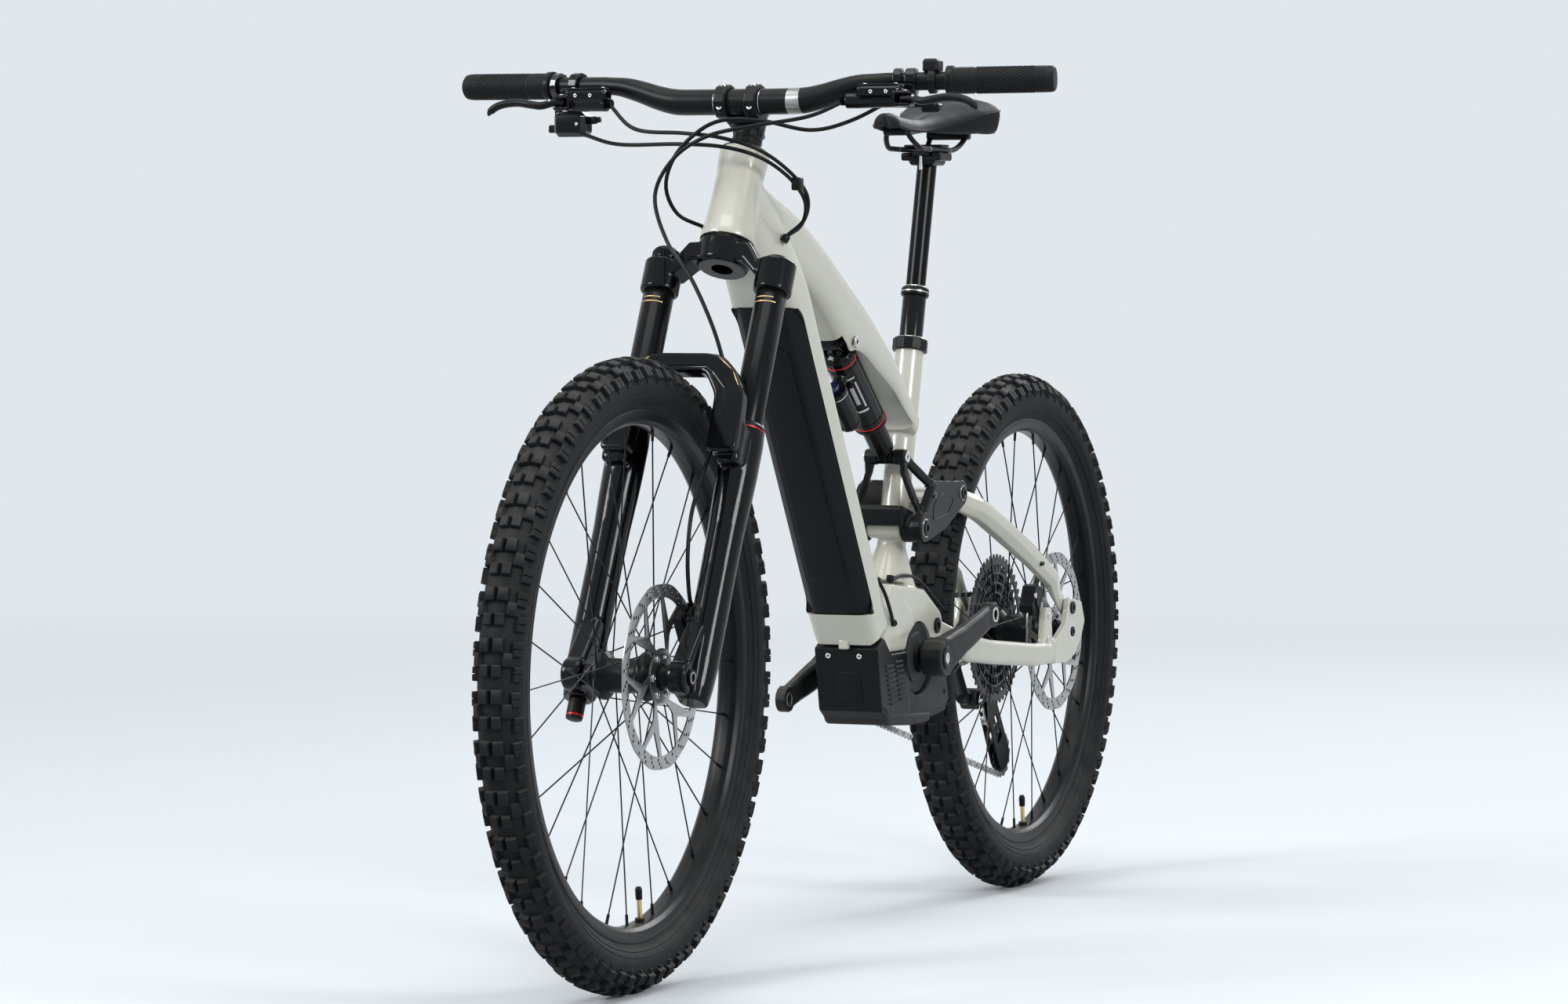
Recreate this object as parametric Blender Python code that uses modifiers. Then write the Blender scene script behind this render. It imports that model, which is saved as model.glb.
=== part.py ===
# Electric mountain bike with front and rear suspension.
# The bike faces -Y, its left side is +X, and the ground under its wheels is z = 0.
import bpy
import bmesh
from math import asin, atan2, ceil, cos, pi, radians, sin
from mathutils import Matrix, Vector

# Shared fits and mesh fineness
GAP = 0.0003
WELD = 0.000002
WHEEL_STEPS = 28
ROUND_STEPS = 12
SMALL_STEPS = 8
CASSETTE_STEPS = 20

# Wheels
WHEELBASE = 1.288
FRONT_TYRE_RADIUS = 0.374
REAR_TYRE_RADIUS = 0.355
FRONT_TYRE_WIDTH = 0.062
REAR_TYRE_WIDTH = 0.066
FRONT_RIM_RADIUS = 0.311
REAR_RIM_RADIUS = 0.292
RIM_WIDTH = 0.035
RIM_DEPTH = 0.0175
TYRE_WALL = 0.004
SPOKE_COUNT = 28
SPOKE_RADIUS = 0.001
SPOKE_SIDES = 3
FLANGE_RADIUS = 0.029
HUB_SHELL_RADIUS = 0.0205
FRONT_HUB_LENGTH = 0.110
REAR_HUB_LENGTH = 0.148
FRONT_AXLE_RADIUS = 0.0075
REAR_AXLE_RADIUS = 0.006
ROTOR_RADIUS = 0.110
ROTOR_BAND = 0.0165
ROTOR_HALF_THICKNESS = 0.001
FRONT_ROTOR_X = 0.042
REAR_ROTOR_X = 0.057
AXLE_CAP_RADIUS = 0.0125

LENGTH = FRONT_TYRE_RADIUS + WHEELBASE + REAR_TYRE_RADIUS
FRONT_AXLE = (FRONT_TYRE_RADIUS - LENGTH / 2, FRONT_TYRE_RADIUS)
REAR_AXLE = (LENGTH / 2 - REAR_TYRE_RADIUS, REAR_TYRE_RADIUS)

# Steering and fork, with distances along the steering axis counted from the foot beside the front axle
HEAD_ANGLE = 64.0
FORK_OFFSET = 0.037
HEAD_START = 0.582
HEAD_LENGTH = 0.124
HEAD_LOW_RADIUS = 0.034
HEAD_TOP_RADIUS = 0.0305
STEERER_RADIUS = 0.0145
LEG_X = 0.0745
LEG_FORWARD = 0.006
STANCHION_RADIUS = 0.019
LEG_RADIUS = 0.0245
LEG_FOOT_RADIUS = 0.022
LEG_TOP = 0.333
CLAMP_BOTTOM = 0.512
CLAMP_HEIGHT = 0.042
CLAMP_RADIUS = 0.024
FORK_TRAVEL = 0.160
STEM_LENGTH = 0.040
STEM_HEIGHT = 0.050
SPACER_HEIGHT = 0.024

# Handlebar
BAR_HALF_WIDTH = 0.390
BAR_CENTRE_RADIUS = 0.0159
BAR_END_RADIUS = 0.0111
GRIP_LENGTH = 0.1327
GRIP_RADIUS = 0.0165
RING_WALL = 0.0055

# Crank, motor and chain
CRANK_SETBACK = 0.4685
CRANK_HEIGHT = 0.347
CRANK_LENGTH = 0.1677
CRANK_RISE = 16.6
SPINDLE_RADIUS = 0.010
CRANK_BOSS_RADIUS = 0.0245
CRANK_BOSS_X = 0.052
CRANK_OUTER_X = 0.081
PEDAL_EYE_RADIUS = 0.0165
PEDAL_THREAD_RADIUS = 0.007
PEDAL_FACE_X = 0.0875
MOTOR_DISC_RADIUS = 0.0468
MOTOR_HALF_WIDTH = 0.034
SHELL_HALF_WIDTH = 0.041
SHELL_WALL = 0.0047
CHAINLINE = 0.0525
CHAIN_HALF_WIDTH = 0.0033
CHAIN_HALF_HEIGHT = 0.0042
CHAINRING_TEETH = 36
COG_TEETH = 24
GUIDE_TEETH = 12
TENSION_TEETH = 14
TOOTH_PITCH = 0.0127
CASSETTE_RADIUS = 0.101
SPROCKET_HALF_THICKNESS = 0.0012

# Frame
TUBE_DEPTH = 0.062
TUBE_HALF_WIDTH = 0.045
COVER_DEPTH = 0.018
BATTERY_HALF_WIDTH = 0.035
BATTERY_DEPTH = 0.030
SEAT_ANGLE = 75.9
SEAT_TUBE_SETBACK = -0.030
SEAT_TUBE_RADIUS = 0.0185
SEAT_TUBE_TOP = 0.757
TUNNEL_HALF_WIDTH = 0.0255

# Seat
DROPPER_RADIUS = 0.0155
DROPPER_COLLAR_RADIUS = 0.0185
DROPPER_TOP = 0.828
SEATPOST_RADIUS = 0.013
SEATPOST_TOP = 1.004
DROPPER_TRAVEL = 0.150
SADDLE_LENGTH = 0.271
SADDLE_HALF_WIDTH = 0.0725
SADDLE_NOSE_HALF_WIDTH = 0.019
RAIL_RADIUS = 0.0035
RAIL_X = 0.022

# Rear suspension
MAIN_PIVOT_RADIUS = 0.0075
PIVOT_TUBE_RADIUS = 0.021
SWINGARM_HALF_WIDTH = 0.0355
DROPOUT_WALL = 0.0097
ROCKER_PIVOT_RADIUS = 0.0065
ROCKER_BOSS_RADIUS = 0.019
SHOCK_EYE_RADIUS = 0.0095
SHOCK_PIN_RADIUS = 0.004
SHOCK_CAN_RADIUS = 0.022
SHOCK_SHAFT_RADIUS = 0.0157
RESERVOIR_RADIUS = 0.0155
HOSE_RADIUS = 0.0025

PAINT = ((0.50, 0.50, 0.43), 0.35, 0.0)
BLACK_PLASTIC = ((0.020, 0.020, 0.022), 0.55, 0.0)
BLACK_ALLOY = ((0.018, 0.018, 0.020), 0.38, 0.6)
GLOSS_BLACK = ((0.012, 0.012, 0.013), 0.18, 0.0)
RUBBER = ((0.024, 0.024, 0.025), 0.85, 0.0)
STEEL = ((0.62, 0.62, 0.60), 0.30, 1.0)
GREY_SKID = ((0.09, 0.09, 0.09), 0.6, 0.0)
BLUE_GLOSS = ((0.012, 0.018, 0.045), 0.15, 0.1)
RED = ((0.55, 0.02, 0.02), 0.4, 0.0)

for old in list(bpy.data.objects):
    bpy.data.objects.remove(old)
scene_root = bpy.context.scene.collection
bike = bpy.data.collections.new("electric_mountain_bike")
workshop = bpy.data.collections.new("workshop")
scene_root.children.link(bike)
scene_root.children.link(workshop)


# Places
def beside(anchor, back, up):
    return (anchor[0] + back, anchor[1] + up)


def at(x, point):
    return Vector((x, point[0], point[1]))


def between(a, b, share):
    return (a[0] + (b[0] - a[0]) * share, a[1] + (b[1] - a[1]) * share)


def away(a, b):
    """Unit direction from a to b in the side view."""
    length = ((b[0] - a[0]) ** 2 + (b[1] - a[1]) ** 2) ** 0.5
    return ((b[0] - a[0]) / length, (b[1] - a[1]) / length)


def along(a, b, distance, out=0.0):
    """Side-view point at a distance from a towards b, moved out square to that line."""
    way = away(a, b)
    return (a[0] + way[0] * distance - way[1] * out, a[1] + way[1] * distance + way[0] * out)


def arc(centre, radius, start, end, steps):
    angles = [radians(start + (end - start) * i / steps) for i in range(steps + 1)]
    return [(centre[0] + radius * cos(a), centre[1] + radius * sin(a)) for a in angles]


def circle(centre, radius, steps):
    return arc(centre, radius, 0, 360 * (steps - 1) / steps, steps - 1)


TILT = radians(90 - HEAD_ANGLE)
UP = Vector((0, sin(TILT), cos(TILT)))
FORWARD = Vector((0, -cos(TILT), sin(TILT)))
STEERING_FOOT = at(0, FRONT_AXLE) - FORWARD * FORK_OFFSET
STEERING = Matrix.Translation(STEERING_FOOT) @ Matrix.Rotation(-TILT, 4, "X")


def steer(side, forward, height):
    return STEERING_FOOT + Vector((side, 0, 0)) + FORWARD * forward + UP * height


def steer_point(forward, height):
    place = steer(0, forward, height)
    return (place.y, place.z)


HEAD_FOOT = steer_point(0, HEAD_START)
CRANK = (REAR_AXLE[0] - CRANK_SETBACK, CRANK_HEIGHT)
SEAT_LEAN = radians(90 - SEAT_ANGLE)


def seat_line(height, forward=0.0):
    """Side-view point on the seat tube's line at a height, or that far in front of the line."""
    y = CRANK[0] + SEAT_TUBE_SETBACK + (height - CRANK_HEIGHT) * sin(SEAT_LEAN) / cos(SEAT_LEAN)
    return (y - forward, height)


MAIN_PIVOT = beside(CRANK, 0.065, 0.038)
ROCKER_PIVOT = beside(CRANK, -0.010, 0.169)
ROCKER_EYE = beside(CRANK, 0.1237, 0.2103)
SHOCK_EYE = beside(CRANK, -0.011, 0.261)
SHOCK_TOP = beside(CRANK, -0.196, 0.4125)
STAY_PIVOT = beside(REAR_AXLE, -0.0015, 0.033)
GUIDE_PULLEY = beside(REAR_AXLE, 0.030, -0.108)
TENSION_PULLEY = beside(REAR_AXLE, 0.078, -0.180)
CAGE_PIVOT = beside(GUIDE_PULLEY, -0.010, 0.009)


def pitch_radius(teeth):
    return TOOTH_PITCH * teeth / (2 * pi)


def bore_radius(radius, steps=ROUND_STEPS):
    """Corner radius of a many-sided hole whose flats clear a round piece by the shared gap."""
    return (radius + GAP) / cos(pi / steps)


# Shapes
def place_new(mesh):
    obj = bpy.data.objects.new("shape", mesh)
    workshop.objects.link(obj)
    return obj


def from_bmesh(bm):
    bmesh.ops.recalc_face_normals(bm, faces=bm.faces)
    mesh = bpy.data.meshes.new("shape")
    bm.to_mesh(mesh)
    bm.free()
    return place_new(mesh)


def baked(obj):
    """The object's evaluated shape as one plain welded mesh."""
    graph = bpy.context.evaluated_depsgraph_get()
    mesh = bpy.data.meshes.new_from_object(obj.evaluated_get(graph))
    mesh.transform(obj.matrix_world)
    bm = bmesh.new()
    bm.from_mesh(mesh)
    bmesh.ops.remove_doubles(bm, verts=bm.verts, dist=WELD)
    bmesh.ops.dissolve_limit(bm, angle_limit=radians(0.05), verts=bm.verts, edges=bm.edges)
    bpy.data.meshes.remove(mesh)
    bpy.data.objects.remove(obj)
    return from_bmesh(bm)


def facing(origin, axis):
    """Matrix that lays local Z along the axis from the origin."""
    return Matrix.Translation(origin) @ Vector(axis).to_track_quat("Z", "Y").to_matrix().to_4x4()


def box(low, high, rounding=0.0, turn=None):
    low, high = Vector(low), Vector(high)
    bm = bmesh.new()
    bmesh.ops.create_cube(bm, size=1.0)
    bmesh.ops.scale(bm, vec=high - low, verts=bm.verts)
    bmesh.ops.translate(bm, vec=(low + high) / 2, verts=bm.verts)
    if rounding:
        bmesh.ops.bevel(bm, geom=bm.edges, offset=rounding, segments=1, affect="EDGES")
    if turn is not None:
        bmesh.ops.transform(bm, matrix=turn, verts=bm.verts)
    return from_bmesh(bm)


def rod(start, end, radius, end_radius=None, steps=ROUND_STEPS):
    start, end = Vector(start), Vector(end)
    way = end - start
    bm = bmesh.new()
    bmesh.ops.create_cone(
        bm,
        cap_ends=True,
        segments=steps,
        radius1=radius,
        radius2=radius if end_radius is None else end_radius,
        depth=way.length,
        matrix=facing((start + end) / 2, way),
    )
    return from_bmesh(bm)


def pin(point, low, high, radius, steps=ROUND_STEPS, end_radius=None):
    """Round bar across the bike between two distances from its middle plane."""
    return rod(at(low, point), at(high, point), radius, end_radius, steps)


def turned(profile, origin, axis, steps=ROUND_STEPS, ring=False):
    """Profile points are (radius, distance along the axis), turned once round it."""
    last = len(profile) - 1
    edges = [(i, i + 1) for i in range(last)] + ([(last, 0)] if ring else [])
    mesh = bpy.data.meshes.new("profile")
    mesh.from_pydata([(radius, 0, height) for radius, height in profile], edges, [])
    obj = place_new(mesh)
    screw = obj.modifiers.new("Turn", "SCREW")
    screw.steps = steps
    screw.render_steps = steps
    screw.use_merge_vertices = True
    screw.merge_threshold = WELD
    shape = baked(obj)
    shape.data.transform(facing(origin, axis))
    return shape


def wheel_turned(profile, axle, steps=WHEEL_STEPS):
    """Closed profile of (radius, x) turned round a wheel's axle."""
    return turned(profile, at(0, axle), (1, 0, 0), steps, ring=True)


def plate(outline, thickness, holes=()):
    """Flat outline in the XY plane, filled, half its thickness to each side."""
    curve = bpy.data.curves.new("outline", "CURVE")
    curve.dimensions = "2D"
    curve.fill_mode = "BOTH"
    curve.extrude = thickness / 2
    for points in (outline, *holes):
        spline = curve.splines.new("POLY")
        spline.points.add(len(points) - 1)
        for target, point in zip(spline.points, points):
            target.co = (point[0], point[1], 0, 1)
        spline.use_cyclic_u = True
    return baked(place_new(curve))


SIDE_VIEW = Matrix(((0, 0, 1, 0), (1, 0, 0, 0), (0, 1, 0, 0), (0, 0, 0, 1)))


def side_plate(outline, low, high, holes=()):
    """Side-view outline of (y, z) points, as thick as from x = low to x = high."""
    shape = plate(outline, high - low, holes)
    shape.data.transform(Matrix.Translation(((low + high) / 2, 0, 0)) @ SIDE_VIEW)
    return shape


def front_plate(outline, rear, front):
    """Outline of (x, height) in the fork's front view, between two distances before the steering axis."""
    shape = plate(outline, front - rear)
    stand = Matrix.Rotation(pi / 2, 4, "X")
    shape.data.transform(STEERING @ Matrix.Translation((0, -(front + rear) / 2, 0)) @ stand)
    return shape


def loft(rings):
    """Closed body through rings that have the same number of points."""
    bm = bmesh.new()
    layers = [[bm.verts.new(point) for point in ring] for ring in rings]
    count = len(rings[0])
    for lower, upper in zip(layers, layers[1:]):
        for i in range(count):
            j = (i + 1) % count
            bm.faces.new((lower[i], lower[j], upper[j], upper[i]))
    bm.faces.new(layers[0][::-1])
    bm.faces.new(layers[-1])
    return from_bmesh(bm)


def smooth_route(points, step):
    """Even points on a smooth curve through the given ones."""
    points = [Vector(point) for point in points]
    ends = [points[0] * 2 - points[1], *points, points[-1] * 2 - points[-2]]
    route = []
    for a, b, c, d in zip(ends, ends[1:], ends[2:], ends[3:]):
        count = max(1, ceil((c - b).length / step))
        for i in range(count):
            t = i / count
            squared = (a * 2 - b * 5 + c * 4 - d) * t**2
            cubed = (b * 3 - a - c * 3 + d) * t**3
            route.append((b * 2 + (c - a) * t + squared + cubed) / 2)
    return [*route, points[-1]]


def tube(points, radius, radii=None, fineness=2):
    curve = bpy.data.curves.new("tube", "CURVE")
    curve.dimensions = "3D"
    curve.bevel_depth = radius
    curve.bevel_resolution = fineness
    curve.use_fill_caps = True
    spline = curve.splines.new("POLY")
    spline.points.add(len(points) - 1)
    for i, point in enumerate(points):
        spline.points[i].co = (*point, 1)
        spline.points[i].radius = radii[i] if radii else 1
    return baked(place_new(curve))


def boolean(first, others, operation):
    for other in others:
        step = first.modifiers.new(operation, "BOOLEAN")
        step.operation = operation
        step.solver = "EXACT"
        step.object = other
    result = baked(first)
    for other in others:
        bpy.data.objects.remove(other)
    return result


def joined(first, *others):
    return boolean(first, others, "UNION")


def cut(first, *others):
    return boolean(first, others, "DIFFERENCE")


def shared(first, *others):
    return boolean(first, others, "INTERSECT")


def flipped(obj):
    """Mirror image on the bike's other side."""
    bm = bmesh.new()
    bm.from_mesh(obj.data)
    bmesh.ops.scale(bm, vec=(-1, 1, 1), verts=bm.verts)
    bmesh.ops.reverse_faces(bm, faces=bm.faces)
    return from_bmesh(bm)


def both_sides(make):
    shape = make()
    return [shape, flipped(shape)]


def finish(obj, name, look, pivot=(0, 0, 0)):
    """Names the piece, puts its origin on its pivot and gives it its own material."""
    workshop.objects.unlink(obj)
    bike.objects.link(obj)
    obj.name = name
    obj.data.name = name
    pivot = Vector(pivot)
    obj.data.transform(Matrix.Translation(-pivot))
    obj.location = pivot
    colour, roughness, metallic = look
    material = bpy.data.materials.new(name)
    material.use_nodes = True
    shader = material.node_tree.nodes["Principled BSDF"]
    shader.inputs["Base Color"].default_value = (*colour, 1)
    shader.inputs["Roughness"].default_value = roughness
    shader.inputs["Metallic"].default_value = metallic
    obj.data.materials.clear()
    obj.data.materials.append(material)
    obj.data.shade_smooth()
    obj.data.set_sharp_from_angle(angle=radians(35))
    return obj


# Frame
def down_tube_ring(front, rear, half_width, front_chamfer, rear_chamfer):
    way = away(front, rear)
    low_front = beside(front, way[0] * front_chamfer, way[1] * front_chamfer)
    low_rear = beside(rear, -way[0] * rear_chamfer, -way[1] * rear_chamfer)
    side = [
        at(half_width - front_chamfer, front),
        at(half_width, low_front),
        at(half_width, low_rear),
        at(half_width - rear_chamfer, rear),
    ]
    return side + [Vector((-p.x, p.y, p.z)) for p in reversed(side)]


TUBE_TOP_FRONT = beside(HEAD_FOOT, 0.1041, -0.0769)
TUBE_LOW_FRONT = beside(CRANK, -0.182, 0.064)
TUBE_WAY = away(TUBE_TOP_FRONT, TUBE_LOW_FRONT)
TUBE_TOP_REAR = beside(TUBE_TOP_FRONT, -TUBE_WAY[1] * TUBE_DEPTH, TUBE_WAY[0] * TUBE_DEPTH)
TUBE_LOW_REAR = beside(TUBE_LOW_FRONT, -TUBE_WAY[1] * TUBE_DEPTH, TUBE_WAY[0] * TUBE_DEPTH)


def down_tube():
    width = TUBE_HALF_WIDTH
    return loft(
        [
            down_tube_ring(steer_point(0, 0.602), steer_point(0, 0.690), 0.026, 0.010, 0.008),
            down_tube_ring(
                beside(HEAD_FOOT, 0.0511, -0.0389),
                beside(HEAD_FOOT, 0.1411, 0.0041),
                width * 0.8,
                0.014,
                0.010,
            ),
            down_tube_ring(TUBE_TOP_FRONT, TUBE_TOP_REAR, width, 0.016, 0.012),
            down_tube_ring(TUBE_LOW_FRONT, TUBE_LOW_REAR, width, 0.016, 0.012),
            down_tube_ring(
                beside(CRANK, -0.155, 0.022), beside(CRANK, -0.100, 0.053), width * 0.98, 0.014, 0.012
            ),
        ]
    )


def cover_outline(margin):
    """Side view of the battery cover's space: level ends and a floor at the cover's depth."""
    top = TUBE_TOP_FRONT[1] + margin
    low = TUBE_LOW_FRONT[1] - margin
    slope = TUBE_WAY[0] / TUBE_WAY[1]
    inner = COVER_DEPTH + margin
    floor = (TUBE_TOP_FRONT[0] - TUBE_WAY[1] * inner, TUBE_TOP_FRONT[1] + TUBE_WAY[0] * inner)
    floor_top = (floor[0] + (top - floor[1]) * slope, top)
    floor_low = (floor[0] + (low - floor[1]) * slope, low)
    return [(floor_top[0] - 0.06, top), floor_top, floor_low, (floor_low[0] - 0.06, low)]


def battery_box(margin):
    """Battery space behind the cover, along the down tube."""
    length = (Vector(TUBE_LOW_FRONT) - Vector(TUBE_TOP_FRONT)).length
    first = along(TUBE_TOP_FRONT, TUBE_LOW_FRONT, 0.045 - margin)
    last = along(TUBE_TOP_FRONT, TUBE_LOW_FRONT, length - 0.035 + margin)
    near = COVER_DEPTH + 2 * GAP - 2 * margin
    far = near + BATTERY_DEPTH + 3 * margin
    square = [(-TUBE_WAY[1] * d, TUBE_WAY[0] * d) for d in (near, far)]
    return [
        beside(first, *square[0]),
        beside(first, *square[1]),
        beside(last, *square[1]),
        beside(last, *square[0]),
    ]


def top_tube_ring(point, top, bottom, half_width):
    chamfer = min(0.012, (top - bottom) / 3)
    y = point
    side = [
        Vector((half_width - chamfer, y, bottom)),
        Vector((half_width, y, bottom + chamfer)),
        Vector((half_width, y, top - chamfer)),
        Vector((half_width - chamfer, y, top)),
    ]
    return side + [Vector((-p.x, p.y, p.z)) for p in reversed(side)]


def top_tube():
    head_y, head_z = HEAD_FOOT
    crank_y, crank_z = CRANK
    shape = loft(
        [
            top_tube_ring(head_y + 0.061, head_z + 0.077, head_z + 0.019, 0.024),
            top_tube_ring(head_y + 0.166, head_z + 0.041, head_z - 0.031, 0.026),
            top_tube_ring(crank_y - 0.255, crank_z + 0.515, crank_z + 0.447, 0.031),
            top_tube_ring(crank_y - 0.196, crank_z + 0.482, crank_z + 0.399, 0.033),
            top_tube_ring(crank_y - 0.145, crank_z + 0.452, crank_z + 0.403, 0.033),
            top_tube_ring(crank_y - 0.044, crank_z + 0.384, crank_z + 0.351, 0.031),
            top_tube_ring(crank_y + 0.040, crank_z + 0.317, crank_z + 0.285, 0.026),
        ]
    )
    roof = [
        beside(CRANK, -0.225, 0.37),
        beside(CRANK, -0.225, 0.468),
        beside(CRANK, -0.145, 0.440),
        beside(CRANK, -0.044, 0.372),
        beside(CRANK, 0.005, 0.338),
        beside(CRANK, 0.020, 0.303),
        beside(CRANK, 0.020, 0.25),
    ]
    return cut(shape, side_plate(roof, -TUNNEL_HALF_WIDTH, TUNNEL_HALF_WIDTH))


MOTOR_OUTLINE = [
    (-0.125, -0.047),
    (-0.135, 0.008),
    (-0.110, 0.038),
    (-0.035, 0.058),
    (0.037, 0.048),
    (0.047, 0.003),
    (0.050, -0.057),
    (-0.085, -0.062),
]


def around_crank(outline, grow=0.0):
    """Crank-centred outline, each point moved out from the outline's middle by about the given growth."""
    middle = (
        sum(point[0] for point in outline) / len(outline),
        sum(point[1] for point in outline) / len(outline),
    )
    placed = []
    for point in outline:
        way = away(middle, point)
        placed.append(beside(CRANK, point[0] + way[0] * grow, point[1] + way[1] * grow))
    return placed


def bracket():
    """Motor shell under the down tube and seat tube, with the main pivot's lugs."""
    lug = PIVOT_TUBE_RADIUS + 0.0035
    outline = [
        beside(CRANK, -0.155, 0.023),
        beside(CRANK, -0.125, 0.033),
        beside(CRANK, -0.100, 0.011),
        beside(CRANK, -0.035, 0.011),
        beside(CRANK, 0.030, 0.011),
        *arc(MAIN_PIVOT, lug, -100, 60, 8),
        beside(CRANK, 0.025, 0.088),
        beside(CRANK, -0.085, 0.100),
    ]
    shape = side_plate(outline, -SHELL_HALF_WIDTH, SHELL_HALF_WIDTH)
    inner = SHELL_HALF_WIDTH - SHELL_WALL
    hollow = side_plate(around_crank(MOTOR_OUTLINE, 0.0012), -inner, inner)
    swing = [
        *arc(MAIN_PIVOT, PIVOT_TUBE_RADIUS + 0.0015, 90, 270, 10),
        beside(MAIN_PIVOT, 0.07, -0.05),
        beside(MAIN_PIVOT, 0.07, 0.08),
    ]
    swing_space = side_plate(swing, -inner, inner)
    return shape, [hollow, swing_space]


def rocker_mount():
    """Cross tube in front of the seat tube that carries the rocker."""
    radius = ROCKER_PIVOT_RADIUS + 0.008
    half = 0.024
    post = side_plate(
        [
            beside(ROCKER_PIVOT, -0.004, -0.014),
            seat_line(ROCKER_PIVOT[1] - 0.020),
            seat_line(ROCKER_PIVOT[1] + 0.016),
            beside(ROCKER_PIVOT, 0, 0.014),
        ],
        -0.014,
        0.014,
    )
    return joined(pin(ROCKER_PIVOT, -half, half, radius), post)


def shock_mounts():
    def boss():
        return pin(SHOCK_TOP, 0.0128, TUNNEL_HALF_WIDTH + 0.003, 0.012, SMALL_STEPS)

    return both_sides(boss)


def main_frame():
    head_top = HEAD_START + HEAD_LENGTH
    head = rod(
        steer(0, 0, HEAD_START), steer(0, 0, head_top), HEAD_LOW_RADIUS, HEAD_TOP_RADIUS, ROUND_STEPS
    )
    seat_low = seat_line(CRANK_HEIGHT + 0.085)
    seat = rod(at(0, seat_low), at(0, seat_line(SEAT_TUBE_TOP)), SEAT_TUBE_RADIUS)
    shell, hollows = bracket()
    tube_shape = cut(
        down_tube(),
        side_plate(cover_outline(GAP), -TUBE_HALF_WIDTH - 0.01, TUBE_HALF_WIDTH + 0.01),
        side_plate(battery_box(GAP), -BATTERY_HALF_WIDTH - GAP, BATTERY_HALF_WIDTH + GAP),
    )
    shape = joined(shell, tube_shape, top_tube(), seat, head, rocker_mount(), *shock_mounts())
    steerer_bore = rod(
        steer(0, 0, HEAD_START - 0.02), steer(0, 0, head_top + 0.02), bore_radius(STEERER_RADIUS)
    )
    post_bore = rod(
        at(0, seat_line(CRANK_HEIGHT + 0.150)),
        at(0, seat_line(SEAT_TUBE_TOP + 0.02)),
        DROPPER_RADIUS + GAP,
    )
    cutters = [
        *hollows,
        steerer_bore,
        post_bore,
        pin(CRANK, -0.06, 0.06, MOTOR_DISC_RADIUS + 2 * GAP, ROUND_STEPS),
        pin(MAIN_PIVOT, -0.06, 0.06, MAIN_PIVOT_RADIUS + GAP),
        pin(ROCKER_PIVOT, -0.04, 0.04, ROCKER_PIVOT_RADIUS + GAP),
        pin(SHOCK_TOP, -0.045, 0.045, SHOCK_PIN_RADIUS + GAP, SMALL_STEPS),
    ]
    finish(cut(shape, *cutters), "main_frame", PAINT)


def battery():
    skin = side_plate(cover_outline(0), -TUBE_HALF_WIDTH - 0.01, TUBE_HALF_WIDTH + 0.01)
    finish(shared(down_tube(), skin), "battery_cover", BLACK_PLASTIC)
    pack = side_plate(battery_box(0), -BATTERY_HALF_WIDTH, BATTERY_HALF_WIDTH)
    finish(pack, "battery_pack", BLACK_PLASTIC)


def drive_unit():
    core = side_plate(around_crank(MOTOR_OUTLINE), -MOTOR_HALF_WIDTH, MOTOR_HALF_WIDTH)
    disc_x = SHELL_HALF_WIDTH - 0.003
    disc = pin(CRANK, -disc_x, disc_x, MOTOR_DISC_RADIUS, ROUND_STEPS)
    collar = pin(CRANK, -0.047, 0.047, 0.020)
    shape = joined(core, disc, collar)
    shape = cut(shape, pin(CRANK, -0.06, 0.06, bore_radius(SPINDLE_RADIUS)))
    finish(shape, "drive_unit", BLACK_PLASTIC)


def motor_cover():
    half = SHELL_HALF_WIDTH + 0.003
    outline = [
        beside(CRANK, -0.1505, 0.0195 - GAP),
        beside(CRANK, -0.135, -0.062),
        beside(CRANK, -0.110, -0.079),
        beside(CRANK, -0.035 - GAP, -0.0815),
        beside(CRANK, -0.035 - GAP, 0.011 - 2 * GAP),
        beside(CRANK, -0.1002, 0.011 - 2 * GAP),
        beside(CRANK, -0.1251, 0.033 - 3 * GAP),
    ]
    hollow = [
        beside(CRANK, -0.142, 0.060),
        beside(CRANK, -0.1295, -0.058),
        beside(CRANK, -0.107, -0.0745),
        beside(CRANK, 0.02, -0.0745),
        beside(CRANK, 0.02, 0.060),
    ]
    inner = SHELL_HALF_WIDTH - SHELL_WALL
    shape = cut(
        side_plate(outline, -half, half),
        side_plate(hollow, -inner, inner),
        pin(CRANK, -0.06, 0.06, MOTOR_DISC_RADIUS + 2 * GAP, ROUND_STEPS),
    )
    finish(shape, "motor_cover", BLACK_PLASTIC)


def skid_plate():
    outline = [
        beside(CRANK, -0.035 + GAP, -0.082),
        beside(CRANK, 0.015, -0.085),
        beside(CRANK, 0.104, -0.0764),
        beside(CRANK, 0.098, -0.0580),
        beside(CRANK, 0.060, -0.0580),
        beside(CRANK, 0.050, -0.0577),
        beside(CRANK, -0.035 + GAP, -0.0608),
    ]
    finish(side_plate(outline, -0.040, 0.040), "skid_plate", GREY_SKID)


def pivot_axles():
    reach = SHELL_HALF_WIDTH
    finish(pin(MAIN_PIVOT, -reach, reach, MAIN_PIVOT_RADIUS), "main_pivot_axle", STEEL)
    finish(pin(ROCKER_PIVOT, -0.039, 0.039, ROCKER_PIVOT_RADIUS), "rocker_axle", STEEL)


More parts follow.
